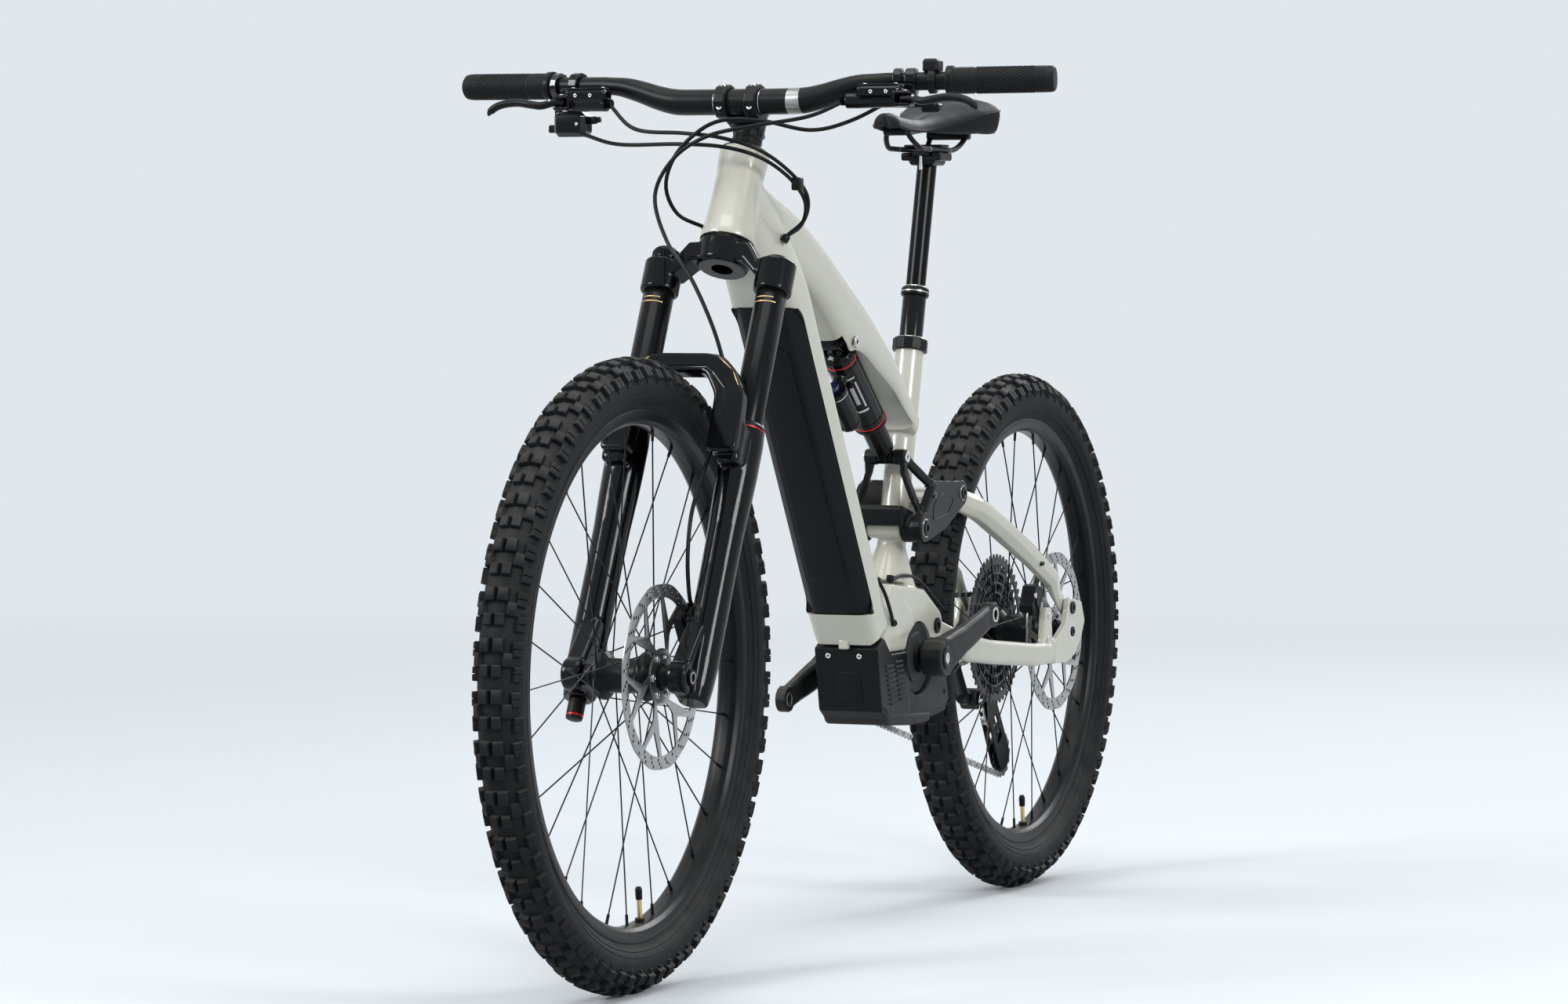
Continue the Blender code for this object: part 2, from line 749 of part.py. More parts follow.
def seat_hardware():
    way = Vector((0, sin(SEAT_LEAN), cos(SEAT_LEAN)))
    top = at(0, seat_line(SEAT_TUBE_TOP))
    bore = SEAT_TUBE_RADIUS + GAP
    ring = [(0.0235, 0.002), (0.0235, -0.013), (bore, -0.013), (bore, GAP), (DROPPER_RADIUS + GAP, GAP)]
    ring += [(DROPPER_RADIUS + GAP, 0.004), (0.0215, 0.004)]
    clamp = turned(ring, top, way, ROUND_STEPS, ring=True)
    screw_base = top - way * 0.006 + Vector((0, 0.025, 0))
    clamp = joined(
        clamp, box((-0.010, -0.004, -0.005), (0.010, 0.004, 0.005), 0, Matrix.Translation(screw_base))
    )
    clamp = cut(
        clamp,
        rod(top - way * 0.02, top, bore),
        rod(top - way * 0.02, top + way * 0.02, DROPPER_RADIUS + GAP),
    )
    finish(clamp, "seat_clamp", BLACK_ALLOY)
    foot = at(0, seat_line(CRANK_HEIGHT + 0.233))
    collar_low = at(0, seat_line(DROPPER_TOP - 0.012))
    collar_top = at(0, seat_line(DROPPER_TOP))
    outer = joined(
        rod(foot, collar_low + way * 0.003, DROPPER_RADIUS),
        rod(collar_low, collar_top, DROPPER_COLLAR_RADIUS),
    )
    outer = cut(outer, rod(foot + way * 0.012, collar_top + way * 0.02, SEATPOST_RADIUS + GAP))
    finish(outer, "dropper_outer", GLOSS_BLACK)


# Fork and steering
def fork_upper():
    clamp_top = CLAMP_BOTTOM + CLAMP_HEIGHT
    hub_low = HEAD_START - HEAD_LOW_RADIUS
    hub = rod(steer(0, 0, hub_low), steer(0, 0, HEAD_START - GAP), 0.032, None, ROUND_STEPS)
    arms = [
        (0, hub_low + 0.003),
        (0.036, hub_low + 0.003),
        (0.052, CLAMP_BOTTOM + 0.020),
        (LEG_X + 0.010, CLAMP_BOTTOM + 0.018),
        (LEG_X + 0.010, clamp_top - 0.002),
        (LEG_X - 0.019, clamp_top - 0.002),
        (0.036, HEAD_START - 0.004),
        (0, HEAD_START - 0.004),
    ]
    arms += [(-x, height) for x, height in reversed(arms[1:-1])]
    shapes = [front_plate(arms, LEG_FORWARD - 0.018, LEG_FORWARD + 0.018)]
    for side in (-LEG_X, LEG_X):
        shapes.append(
            rod(
                steer(side, LEG_FORWARD, CLAMP_BOTTOM),
                steer(side, LEG_FORWARD, clamp_top),
                CLAMP_RADIUS,
            )
        )
        shapes.append(
            rod(
                steer(side, LEG_FORWARD, LEG_TOP - 0.150),
                steer(side, LEG_FORWARD, clamp_top - 0.01),
                STANCHION_RADIUS,
            )
        )
    steerer_top = HEAD_START + HEAD_LENGTH + SPACER_HEIGHT + STEM_HEIGHT - 0.004
    steerer = rod(
        steer(0, 0, HEAD_START - 0.01), steer(0, 0, steerer_top), STEERER_RADIUS, None, ROUND_STEPS
    )
    shape = joined(hub, *shapes, steerer)
    hole = rod(steer(0, 0, HEAD_START - 0.06), steer(0, 0, HEAD_START + 0.03), 0.010)
    finish(cut(shape, hole), "fork_upper", GLOSS_BLACK, STEERING_FOOT)


def arch():
    low, top = LEG_TOP - 0.050, LEG_TOP + 0.075
    outer = [
        (LEG_X + 0.014, low), (LEG_X + 0.010, LEG_TOP + 0.030), (LEG_X - 0.024, top), (0, top + 0.003)
    ]
    inner = [(0, LEG_TOP + 0.056), (0.030, LEG_TOP + 0.052), (0.048, LEG_TOP + 0.024), (0.050, low)]
    return front_plate(outline_loop(outer, inner), 0.034, 0.056)


def outline_loop(outer, inner):
    """Loop of an arch from its right half's outer and inner edges, both met at the middle."""
    left_outer = [(-x, height) for x, height in outer]
    left_inner = [(-x, height) for x, height in inner]
    return left_outer[:-1] + outer[::-1] + inner[::-1] + left_inner[1:]


def fork_leg(side):
    leg = turned(
        [
            (0, LEG_TOP),
            (LEG_RADIUS - 0.001, LEG_TOP),
            (LEG_RADIUS, LEG_TOP - 0.006),
            (LEG_RADIUS, LEG_TOP - 0.080),
            (LEG_FOOT_RADIUS, LEG_TOP - 0.150),
            (LEG_FOOT_RADIUS, 0.030),
            (LEG_FOOT_RADIUS - 0.004, -0.020),
            (0, -0.020),
        ],
        steer(side, LEG_FORWARD, 0),
        UP,
    )
    inner = FRONT_HUB_LENGTH / 2 + GAP
    low, high = sorted((inner, LEG_X + 0.006))
    if side < 0:
        low, high = -high, -low
    lip = [radians(degrees) for degrees in range(60, -121, -30)]
    foot = [
        steer_point(-0.010, 0.050),
        steer_point(LEG_FORWARD + 0.019, 0.070),
        *[steer_point(FORK_OFFSET + 0.020 * cos(a), 0.020 * sin(a)) for a in lip],
        steer_point(-0.004, -0.019),
        steer_point(-0.014, 0.0),
    ]
    tab = box(
        (side - 0.016, -0.046, LEG_TOP - 0.060),
        (side + 0.016, -0.004, LEG_TOP - 0.004),
        0.004,
        STEERING,
    )
    return joined(leg, side_plate(foot, low, high), tab)


def fork_lowers():
    left, right = fork_leg(LEG_X), fork_leg(-LEG_X)
    caliper_boss = box((0.0520, 0.000, 0.070), (LEG_X, 0.034, 0.112), 0.003, STEERING)
    shape = joined(left, caliper_boss, arch(), right)
    bores = [
        rod(
            steer(side, LEG_FORWARD, 0.020),
            steer(side, LEG_FORWARD, LEG_TOP + 0.02),
            STANCHION_RADIUS + GAP,
        )
        for side in (LEG_X, -LEG_X)
    ]
    axle_bore = pin(FRONT_AXLE, -0.12, 0.12, FRONT_AXLE_RADIUS + GAP)
    finish(cut(shape, *bores, axle_bore), "fork_lowers", GLOSS_BLACK, steer(0, LEG_FORWARD, 0))
    reach = LEG_X + 0.006
    finish(pin(FRONT_AXLE, -reach, reach, FRONT_AXLE_RADIUS), "front_axle", BLACK_ALLOY)
    knob_top = CLAMP_BOTTOM + CLAMP_HEIGHT + GAP
    knob_profile = [(0, 0.018), (0.014, 0.018), (0.017, 0.014), (0.017, 0.002), (0.015, 0), (0, 0)]
    knob = turned(knob_profile, steer(-LEG_X, LEG_FORWARD, knob_top), UP)
    finish(knob, "damper_knob", BLUE_GLOSS, steer(-LEG_X, LEG_FORWARD, knob_top))
    rebound_top = steer(-LEG_X, LEG_FORWARD, -0.020 - GAP)
    rebound = turned(
        [(0, 0), (0.0105, 0), (0.0105, -0.020), (0.009, -0.025), (0, -0.025)], rebound_top, UP
    )
    finish(rebound, "rebound_knob", RED, rebound_top)


def caliper(centre, way, rotor_x, inner_x, outer_x, length, depth):
    """Brake body astride the rotor at a side-view point, its length square to the way to the axle."""
    span, reach = length / 2, depth / 2
    square = (-way[1], way[0])
    corner = reach * 0.4

    def placed(points):
        return [
            beside(centre, square[0] * u + way[0] * v, square[1] * u + way[1] * v) for u, v in points
        ]

    half = [
        (span - corner, reach), (span, reach - corner), (span, corner - reach), (span - corner, -reach)
    ]
    outline = placed(half + [(-u, v) for u, v in reversed(half)])
    shape = side_plate(outline, inner_x, outer_x)
    slot_half = ROTOR_HALF_THICKNESS + 4 * GAP
    roof = 0.006 - reach
    slot = placed([(-length, roof), (length, roof), (length, depth), (-length, depth)])
    return cut(shape, side_plate(slot, rotor_x - slot_half, rotor_x + slot_half))


def brake_calipers():
    front_centre = steer_point(-0.0175, 0.091)
    way = away(front_centre, FRONT_AXLE)
    front = caliper(front_centre, way, FRONT_ROTOR_X, 0.027, 0.0517, 0.046, 0.034)
    finish(front, "front_caliper", BLACK_ALLOY)
    rear_centre = beside(REAR_AXLE, -0.0903, 0.0463)
    way = away(rear_centre, REAR_AXLE)
    rear = caliper(rear_centre, way, REAR_ROTOR_X, 0.0465, 0.0665, 0.042, 0.032)
    finish(rear, "rear_caliper", BLACK_ALLOY)


def stem():
    base = HEAD_START + HEAD_LENGTH + GAP
    clamp_low = base + SPACER_HEIGHT
    clamp_top = clamp_low + STEM_HEIGHT
    bar_height = clamp_low + STEM_HEIGHT / 2 + 0.001
    spacer = rod(steer(0, 0, base), steer(0, 0, clamp_low), 0.0185, None, ROUND_STEPS)
    clamp = rod(steer(0, 0, clamp_low - 0.001), steer(0, 0, clamp_top), 0.0195, None, ROUND_STEPS)
    neck = box((-0.024, -0.030, clamp_low + 0.005), (0.024, -0.004, clamp_top - 0.005), 0.005, STEERING)
    shapes = [clamp, neck]
    for side in (-0.020, 0.020):
        shapes.append(
            rod(
                steer(side - 0.008, STEM_LENGTH, bar_height),
                steer(side + 0.008, STEM_LENGTH, bar_height),
                BAR_CENTRE_RADIUS + RING_WALL,
            )
        )
    shape = joined(spacer, *shapes)
    shape = cut(
        shape,
        rod(
            steer(0, 0, base - 0.01),
            steer(0, 0, clamp_top - 0.003),
            STEERER_RADIUS + GAP,
            None,
            ROUND_STEPS,
        ),
        rod(
            steer(-0.1, STEM_LENGTH, bar_height),
            steer(0.1, STEM_LENGTH, bar_height),
            bore_radius(BAR_CENTRE_RADIUS),
        ),
    )
    finish(shape, "stem", BLACK_ALLOY, steer(0, 0, base))


BAR_MIDDLE = steer(
    0, STEM_LENGTH, HEAD_START + HEAD_LENGTH + GAP + SPACER_HEIGHT + STEM_HEIGHT / 2 + 0.001
)
BAR_KINK = BAR_MIDDLE + Vector((0.170, 0.0087, 0.022))
BAR_END = BAR_MIDDLE + Vector((BAR_HALF_WIDTH, 0.0462, 0.0245))


def bar_at(x):
    """Point on the bar's straight outer part, on the left where x is positive."""
    share = (abs(x) - BAR_KINK.x) / (BAR_END.x - BAR_KINK.x)
    point = BAR_KINK.lerp(BAR_END, share)
    return Vector((x, point.y, point.z))


def bar_way(side):
    way = (BAR_END - BAR_KINK).normalized()
    return Vector((way.x * side, way.y, way.z))


def handlebar():
    left = [
        BAR_MIDDLE,
        BAR_MIDDLE + Vector((0.085, 0, 0)),
        BAR_MIDDLE + Vector((0.105, 0.001, 0.003)),
        BAR_MIDDLE + Vector((0.150, 0.0055, 0.019)),
        BAR_KINK,
        BAR_END,
    ]
    right = [Vector((-point.x, point.y, point.z)) for point in left[:0:-1]]
    end = BAR_END_RADIUS / BAR_CENTRE_RADIUS
    radii = [1, 1, 0.94, (1 + end) / 2 * 0.95, end, end]
    shape = tube(right + left, BAR_CENTRE_RADIUS, radii[:0:-1] + radii, 4)
    finish(shape, "handlebar", BLACK_ALLOY)


def grips():
    start_x = BAR_HALF_WIDTH + 0.0047 - GRIP_LENGTH
    bore = BAR_END_RADIUS + GAP
    for name, side in (("grip_left", 1), ("grip_right", -1)):
        origin = bar_at(side * start_x)
        way = bar_way(side)
        bar_end = (Vector((side * BAR_END.x, BAR_END.y, BAR_END.z)) - origin).length
        total = bar_end + 0.0045
        profile = [
            (0, bar_end + GAP),
            (bore, bar_end + GAP),
            (bore, 0),
            (GRIP_RADIUS + 0.0015, 0),
            (GRIP_RADIUS + 0.0015, 0.009),
            (GRIP_RADIUS, 0.011),
        ]
        profile += [(GRIP_RADIUS, total - 0.008), (GRIP_RADIUS - 0.003, total), (0, total)]
        finish(turned(profile, origin, way, SMALL_STEPS + 4), name, RUBBER)


def bar_ring(x, width, wall=RING_WALL):
    """Clamp band round the bar, left whole for later cutting."""
    side = 1 if x > 0 else -1
    way = bar_way(side)
    middle = bar_at(x)
    return rod(
        middle - way * width / 2, middle + way * width / 2, BAR_END_RADIUS + wall, None, SMALL_STEPS + 4
    )


def bar_bore(side):
    way = bar_way(side)
    return rod(
        bar_at(side * (BAR_KINK.x + 0.001)) - way * 0.002,
        bar_at(side * (BAR_HALF_WIDTH + 0.010)),
        BAR_END_RADIUS + GAP,
        None,
        SMALL_STEPS + 4,
    )


LEVER_X = BAR_HALF_WIDTH - 0.162
LEVER_AHEAD = 0.046
LEVER_DROP = 0.022
LEVER_HALF_HEIGHT = 0.0042
LEVER_SLOPE = 0.09


def lever_pivot(side):
    middle = bar_at(side * LEVER_X)
    return Vector((middle.x, middle.y - LEVER_AHEAD, middle.z - LEVER_DROP))


def brake_side(side, ring_x, inner_x, extra=()):
    """Brake master and its lever on one side; the lever turns in the master's fork."""
    pivot = lever_pivot(side)
    word = "left" if side > 0 else "right"
    body_end = Vector((side * inner_x, pivot.y + 0.004, pivot.z - 0.002))
    body = rod(body_end, pivot + Vector((-side * 0.004, 0.010, 0)), 0.0095, 0.0105, SMALL_STEPS + 4)
    low_x, high_x = sorted((side * (LEVER_X - 0.062), side * (LEVER_X - 0.006)))
    reservoir = box(
        (low_x, pivot.y - 0.008, pivot.z), (high_x, pivot.y + 0.016, pivot.z + 0.0165), 0.004
    )
    fork_low, fork_high = sorted((side * (LEVER_X - 0.014), side * (LEVER_X + 0.009)))
    fork = box(
        (fork_low, pivot.y - 0.009, pivot.z - 0.0095),
        (fork_high, pivot.y + 0.012, pivot.z + 0.0095),
        0.002,
    )
    ring = bar_ring(side * ring_x, 0.013)
    bridge_low, bridge_high = sorted((side * (ring_x - 0.010), side * (ring_x + 0.006)))
    bar = bar_at(side * ring_x)
    bridge = box(
        (bridge_low, pivot.y + 0.002, bar.z - 0.020), (bridge_high, bar.y + 0.004, bar.z - 0.004), 0.002
    )
    slot_low, slot_high = sorted((side * (LEVER_X - 0.0105), side * (LEVER_X + 0.03)))
    half = LEVER_HALF_HEIGHT + GAP + 0.010 * LEVER_SLOPE
    slot = box(
        (slot_low, pivot.y - 0.03, pivot.z - half), (slot_high, pivot.y + 0.0105, pivot.z + half)
    )
    shape = joined(body, reservoir, fork, ring, bridge, *extra)
    finish(cut(shape, slot, bar_bore(side)), "brake_master_" + word, GLOSS_BLACK)
    lever = plate(lever_outline(side), 2 * LEVER_HALF_HEIGHT)
    lever.data.transform(Matrix.Translation(pivot))
    blade = lever_drop(lever, pivot, side)
    finish(blade, "brake_lever_" + word, BLACK_ALLOY, pivot)


def lever_outline(side):
    """Plan of the lever from its pivot: a round eye, a blade and a hooked tip."""
    half = [
        (-0.006, -0.0055),
        (0.000, -0.0085),
        (0.022, -0.0100),
        (0.060, -0.0085),
        (0.088, -0.0105),
        (0.098, -0.0060),
        (0.094, -0.0005),
        (0.086, -0.0015),
        (0.060, 0.0010),
        (0.026, 0.0005),
        (0.007, 0.0055),
        (0.000, 0.0075),
        (-0.006, 0.0055),
    ]
    return [(side * x, y) for x, y in half]


def lever_drop(lever, pivot, side):
    """Tilts the flat lever so that its tip lies a little lower than its eye."""
    for vertex in lever.data.vertices:
        vertex.co.z -= side * (vertex.co.x - pivot.x) * LEVER_SLOPE
    return lever


DROPPER_X = LEVER_X - 0.025


def dropper_clamp():
    """Clamp band for the seat lever, bridged to the brake's band beside it."""
    bar = bar_at(DROPPER_X)
    arm = box(
        (DROPPER_X - 0.005, bar.y - 0.004, bar.z - 0.026),
        (DROPPER_X + 0.005, bar.y + 0.010, bar.z - 0.008),
        0.0015,
    )
    bridge = box(
        (DROPPER_X - 0.002, bar.y - 0.022, bar.z - 0.012),
        (DROPPER_X + 0.014, bar.y - 0.009, bar.z - 0.004),
    )
    return [bar_ring(DROPPER_X, 0.010), arm, bridge]


BUTTON_RADIUS = 0.005
BUTTON_DEPTH = 0.0015
BUTTON_TRAVEL = 0.0015


def bar_controls():
    shifter_x = -LEVER_X - 0.027
    pod_middle = bar_at(shifter_x) + Vector((0.016, 0.006, -0.047))
    pod = box(
        pod_middle - Vector((0.0215, 0.0155, 0.016)), pod_middle + Vector((0.0215, 0.0155, 0.016)), 0.006
    )
    ring = bar_ring(shifter_x, 0.010)
    bar = bar_at(shifter_x)
    neck = box(
        (shifter_x - 0.004, bar.y - 0.006, pod_middle.z + 0.010),
        (shifter_x + 0.005, bar.y + 0.008, bar.z - 0.008),
    )
    finish(cut(joined(pod, ring, neck), bar_bore(-1)), "shifter_pod", BLUE_GLOSS)
    hub = pod_middle + Vector((-0.006, 0.0155 + GAP, -0.006))
    paddle = joined(
        rod(hub, hub + Vector((0, 0.005, 0)), 0.008, None, SMALL_STEPS),
        box(hub + Vector((-0.036, 0, -0.004)), hub + Vector((0, 0.005, 0.006)), 0.0015),
    )
    finish(paddle, "shift_paddle", BLACK_PLASTIC, hub)
    bar = bar_at(DROPPER_X)
    hub = Vector((DROPPER_X, bar.y + 0.003, bar.z - 0.026 - GAP))
    lever = joined(
        rod(hub, hub - Vector((0, 0, 0.005)), 0.007, None, SMALL_STEPS),
        box(hub + Vector((0, 0, -0.005)), hub + Vector((0.046, 0.008, 0)), 0.0015),
        box(hub + Vector((0.026, 0.002, -0.011)), hub + Vector((0.050, 0.016, 0)), 0.002),
    )
    finish(lever, "dropper_lever", BLACK_ALLOY, hub)
    remote_x = LEVER_X + 0.0165
    bar = bar_at(remote_x)
    ring = bar_ring(remote_x, 0.009, 0.0045)
    head = box(
        (remote_x - 0.011, bar.y - 0.010, bar.z + 0.010),
        (remote_x + 0.009, bar.y + 0.014, bar.z + 0.027),
        0.003,
    )
    key = Vector((remote_x - 0.001, bar.y + 0.014, bar.z + 0.0185))
    inward = Vector((0, -1, 0))
    socket = rod(
        key + inward * (BUTTON_DEPTH + BUTTON_TRAVEL + GAP),
        key - inward * 0.01,
        BUTTON_RADIUS + GAP,
        None,
        SMALL_STEPS,
    )
    finish(cut(joined(ring, head), bar_bore(1), socket), "remote_unit", BLACK_PLASTIC)
    button = rod(key + inward * BUTTON_DEPTH, key - inward * 0.0025, BUTTON_RADIUS, None, SMALL_STEPS)
    finish(button, "remote_button", BLACK_PLASTIC, key)


# Wheels
def tyre(axle, radius, width, bead, name):
    """Hollow casing: the tread, the side walls and the two beads on the rim."""
    half = width / 2
    section = (radius + bead) / 2
    outer = [
        (bead + GAP, RIM_WIDTH / 2 - 0.001),
        (section - 0.008, half),
        (section + 0.014, half),
        (radius, half * 0.45),
    ]
    outer += [(r, -x) for r, x in reversed(outer)]
    inner = [
        (bead + GAP, -RIM_WIDTH / 2 + 0.006),
        (section, -half + TYRE_WALL),
        (radius - 2.5 * TYRE_WALL, -half * 0.3),
        (radius - 2.5 * TYRE_WALL, half * 0.3),
        (section, half - TYRE_WALL),
        (bead + GAP, RIM_WIDTH / 2 - 0.006),
    ]
    finish(wheel_turned(outer + inner, axle), name, RUBBER, at(0, axle))


def rim(axle, bead, name):
    half = RIM_WIDTH / 2
    inner = bead - RIM_DEPTH
    profile = [
        (bead, half),
        (inner + 0.005, half - 0.001),
        (inner, half * 0.5),
        (inner, -half * 0.5),
        (inner + 0.005, -half + 0.001),
        (bead, -half),
        (bead - 0.004, 0),
    ]
    shape = wheel_turned(profile, axle)
    valve_low = at(
        0, beside(axle, (inner - 0.042) * cos(VALVE_ANGLE), (inner - 0.042) * sin(VALVE_ANGLE))
    )
    valve_top = at(
        0, beside(axle, (inner + 0.006) * cos(VALVE_ANGLE), (inner + 0.006) * sin(VALVE_ANGLE))
    )
    shape = joined(shape, rod(valve_low, valve_top, 0.003, None, 8))
    finish(shape, name, BLACK_ALLOY, at(0, axle))


VALVE_ANGLE = radians(-90 + 180 / SPOKE_COUNT)


def spokes(axle, bead, left_x, right_x):
    """Crossed spokes between the two flanges and the rim."""
    shapes = []
    rim_end = bead - RIM_DEPTH - SPOKE_RADIUS * sin(pi / WHEEL_STEPS) - GAP
    for k in range(SPOKE_COUNT):
        angle = 2 * pi * k / SPOKE_COUNT
        flange_x = left_x if k % 2 == 0 else right_x
        lead = 1 if k % 4 < 2 else -1
        hub_angle = angle + lead * radians(72)
        hub_radius = FLANGE_RADIUS - 0.003
        start = at(
            flange_x + lead * 0.0022,
            beside(axle, hub_radius * cos(hub_angle), hub_radius * sin(hub_angle)),
        )
        end = at(flange_x * 0.06, beside(axle, rim_end * cos(angle), rim_end * sin(angle)))
        shapes.append(rod(start, end, SPOKE_RADIUS, None, SPOKE_SIDES))
    return shapes


def hub(axle, profile, bore, bead, left_x, right_x, name):
    shell = turned(profile, at(0, axle), (1, 0, 0), SMALL_STEPS + 4)
    shape = joined(shell, *spokes(axle, bead, left_x, right_x))
    shape = cut(shape, pin(axle, -0.1, 0.1, bore + GAP))
    finish(shape, name, BLACK_ALLOY, at(0, axle))


def front_hub():
    end = FRONT_HUB_LENGTH / 2 - GAP
    face = FRONT_ROTOR_X - ROTOR_HALF_THICKNESS - GAP
    profile = [
        (0, end), (AXLE_CAP_RADIUS, end), (AXLE_CAP_RADIUS, face), (0.026, face), (0.026, face - 0.004),
        (0.022, face - 0.006), (FLANGE_RADIUS, 0.028), (FLANGE_RADIUS, 0.021), (HUB_SHELL_RADIUS, 0.017),
        (HUB_SHELL_RADIUS, -0.023), (FLANGE_RADIUS, -0.027), (FLANGE_RADIUS, -0.034), (0.016, -0.040),
        (AXLE_CAP_RADIUS, -0.046), (AXLE_CAP_RADIUS, -end), (0, -end),
    ]
    hub(FRONT_AXLE, profile, FRONT_AXLE_RADIUS, FRONT_RIM_RADIUS, 0.024, -0.030, "front_hub")


CARRIER_RADIUS = 0.016


def rear_hub():
    end = REAR_HUB_LENGTH / 2 - GAP
    face = REAR_ROTOR_X - ROTOR_HALF_THICKNESS - GAP
    profile = [
        (0, end), (AXLE_CAP_RADIUS, end), (AXLE_CAP_RADIUS, face), (0.026, face), (0.026, face - 0.004),
        (0.020, face - 0.007), (FLANGE_RADIUS, 0.038), (FLANGE_RADIUS, 0.031), (HUB_SHELL_RADIUS, 0.027),
        (HUB_SHELL_RADIUS, -0.013), (FLANGE_RADIUS, -0.018),
        (FLANGE_RADIUS, -0.025), (CARRIER_RADIUS, -0.027),
        (CARRIER_RADIUS, -0.0665), (0.0115, -0.0670), (0.0115, -end), (0, -end),
    ]
    hub(REAR_AXLE, profile, REAR_AXLE_RADIUS, REAR_RIM_RADIUS, 0.034, -0.021, "rear_hub")


def rotor(axle, x, name):
    """Braking band on six slanted arms round a bolted ring."""
    thickness = 2 * ROTOR_HALF_THICKNESS
    low, high = x - thickness / 2, x + thickness / 2
    band = side_plate(
        circle(axle, ROTOR_RADIUS, WHEEL_STEPS), low, high, [
            circle(axle, ROTOR_RADIUS - ROTOR_BAND, WHEEL_STEPS)
        ]
    )
    inner = side_plate(circle(axle, 0.028, 18), low, high, [circle(axle, AXLE_CAP_RADIUS + 0.004, 12)])
    arms = []
    for k in range(6):
        angle = 360 * k / 6
        root = arc(axle, 0.024, angle - 9, angle + 9, 1)
        tip = arc(axle, ROTOR_RADIUS - ROTOR_BAND / 2, angle + 31, angle + 27, 1)
        arms.append(side_plate([root[0], tip[1], tip[0], root[1]], low, high))
    finish(joined(band, inner, *arms), name, STEEL, at(0, axle))


def cassette():
    """Stepped block of sprockets, largest inside, with the driven one clear of its neighbours."""
    pitch = pitch_radius(COG_TEETH) - CHAIN_HALF_HEIGHT - 3 * GAP
    steps = [
        (-0.0300, CASSETTE_RADIUS),
        (-0.0355, CASSETTE_RADIUS - 0.016),
        (-0.0410, CASSETTE_RADIUS - 0.033),
        (-0.0470, pitch),
        (-0.0560, 0.034),
        (-0.0610, 0.022),
        (-0.0655, 0.022),
    ]
    profile = []
    for (x, radius), (next_x, _) in zip(steps, steps[1:]):
        profile += [(radius, x), (radius, next_x)]
    bore = bore_radius(CARRIER_RADIUS, CASSETTE_STEPS)
    profile += [(bore, steps[-1][0]), (bore, steps[0][0])]
    finish(wheel_turned(profile, REAR_AXLE, CASSETTE_STEPS), "cassette", STEEL, at(0, REAR_AXLE))


def wheels():
    tyre(FRONT_AXLE, FRONT_TYRE_RADIUS, FRONT_TYRE_WIDTH, FRONT_RIM_RADIUS, "front_tyre")
    tyre(REAR_AXLE, REAR_TYRE_RADIUS, REAR_TYRE_WIDTH, REAR_RIM_RADIUS, "rear_tyre")
    rim(FRONT_AXLE, FRONT_RIM_RADIUS, "front_rim")
    rim(REAR_AXLE, REAR_RIM_RADIUS, "rear_rim")
    front_hub()
    rear_hub()
    rotor(FRONT_AXLE, FRONT_ROTOR_X, "front_rotor")
    rotor(REAR_AXLE, REAR_ROTOR_X, "rear_rotor")
    cassette()


# Rear suspension
def arm_ring(point, low, high, half_height):
    """Upright eight-sided section of a swingarm member between two distances from the middle plane."""
    chamfer = min(0.005, (high - low) / 3)
    y, z = point
    corners = [
        (low + chamfer, z - half_height),
        (high - chamfer, z - half_height),
        (high, z - half_height + chamfer),
        (high, z + half_height - chamfer),
        (high - chamfer, z + half_height),
        (low + chamfer, z + half_height),
        (low, z + half_height - chamfer),
        (low, z - half_height + chamfer),
    ]
    return [Vector((x, y, height)) for x, height in corners]


def swingarm_arm():
    inner = SWINGARM_HALF_WIDTH
    return loft(
        [
            arm_ring(beside(MAIN_PIVOT, 0.004, 0.0), inner - 0.012, inner - 0.0002, 0.0175),
            arm_ring(beside(MAIN_PIVOT, 0.029, -0.012), inner - 0.010, inner + 0.0005, 0.018),
            arm_ring(beside(MAIN_PIVOT, 0.050, -0.023), inner - 0.002, inner + 0.0145, 0.018),
            arm_ring(beside(MAIN_PIVOT, 0.075, -0.033), inner + 0.003, inner + 0.0225, 0.018),
            arm_ring(beside(MAIN_PIVOT, 0.150, -0.044), inner + 0.0095, inner + 0.0305, 0.0165),
            arm_ring(beside(REAR_AXLE, -0.1235, -0.025), 0.0605, 0.0795, 0.0155),
            arm_ring(beside(REAR_AXLE, -0.0535, -0.026), 0.066, 0.084, 0.0145),
        ]
    )


def dropout():
    face = REAR_HUB_LENGTH / 2 + GAP
    outline = [
        beside(REAR_AXLE, -0.0685, -0.040),
        beside(REAR_AXLE, -0.0235, -0.042),
        beside(REAR_AXLE, 0.0115, -0.032),
        beside(REAR_AXLE, 0.0365, -0.010),
        beside(REAR_AXLE, 0.0500, 0.013),
        beside(REAR_AXLE, 0.0365, 0.040),
        *arc(STAY_PIVOT, 0.0145, 60, 180, 4),
        beside(REAR_AXLE, -0.0235, 0.012),
        beside(REAR_AXLE, -0.0685, -0.010),
    ]
    return side_plate(outline, face, face + DROPOUT_WALL)


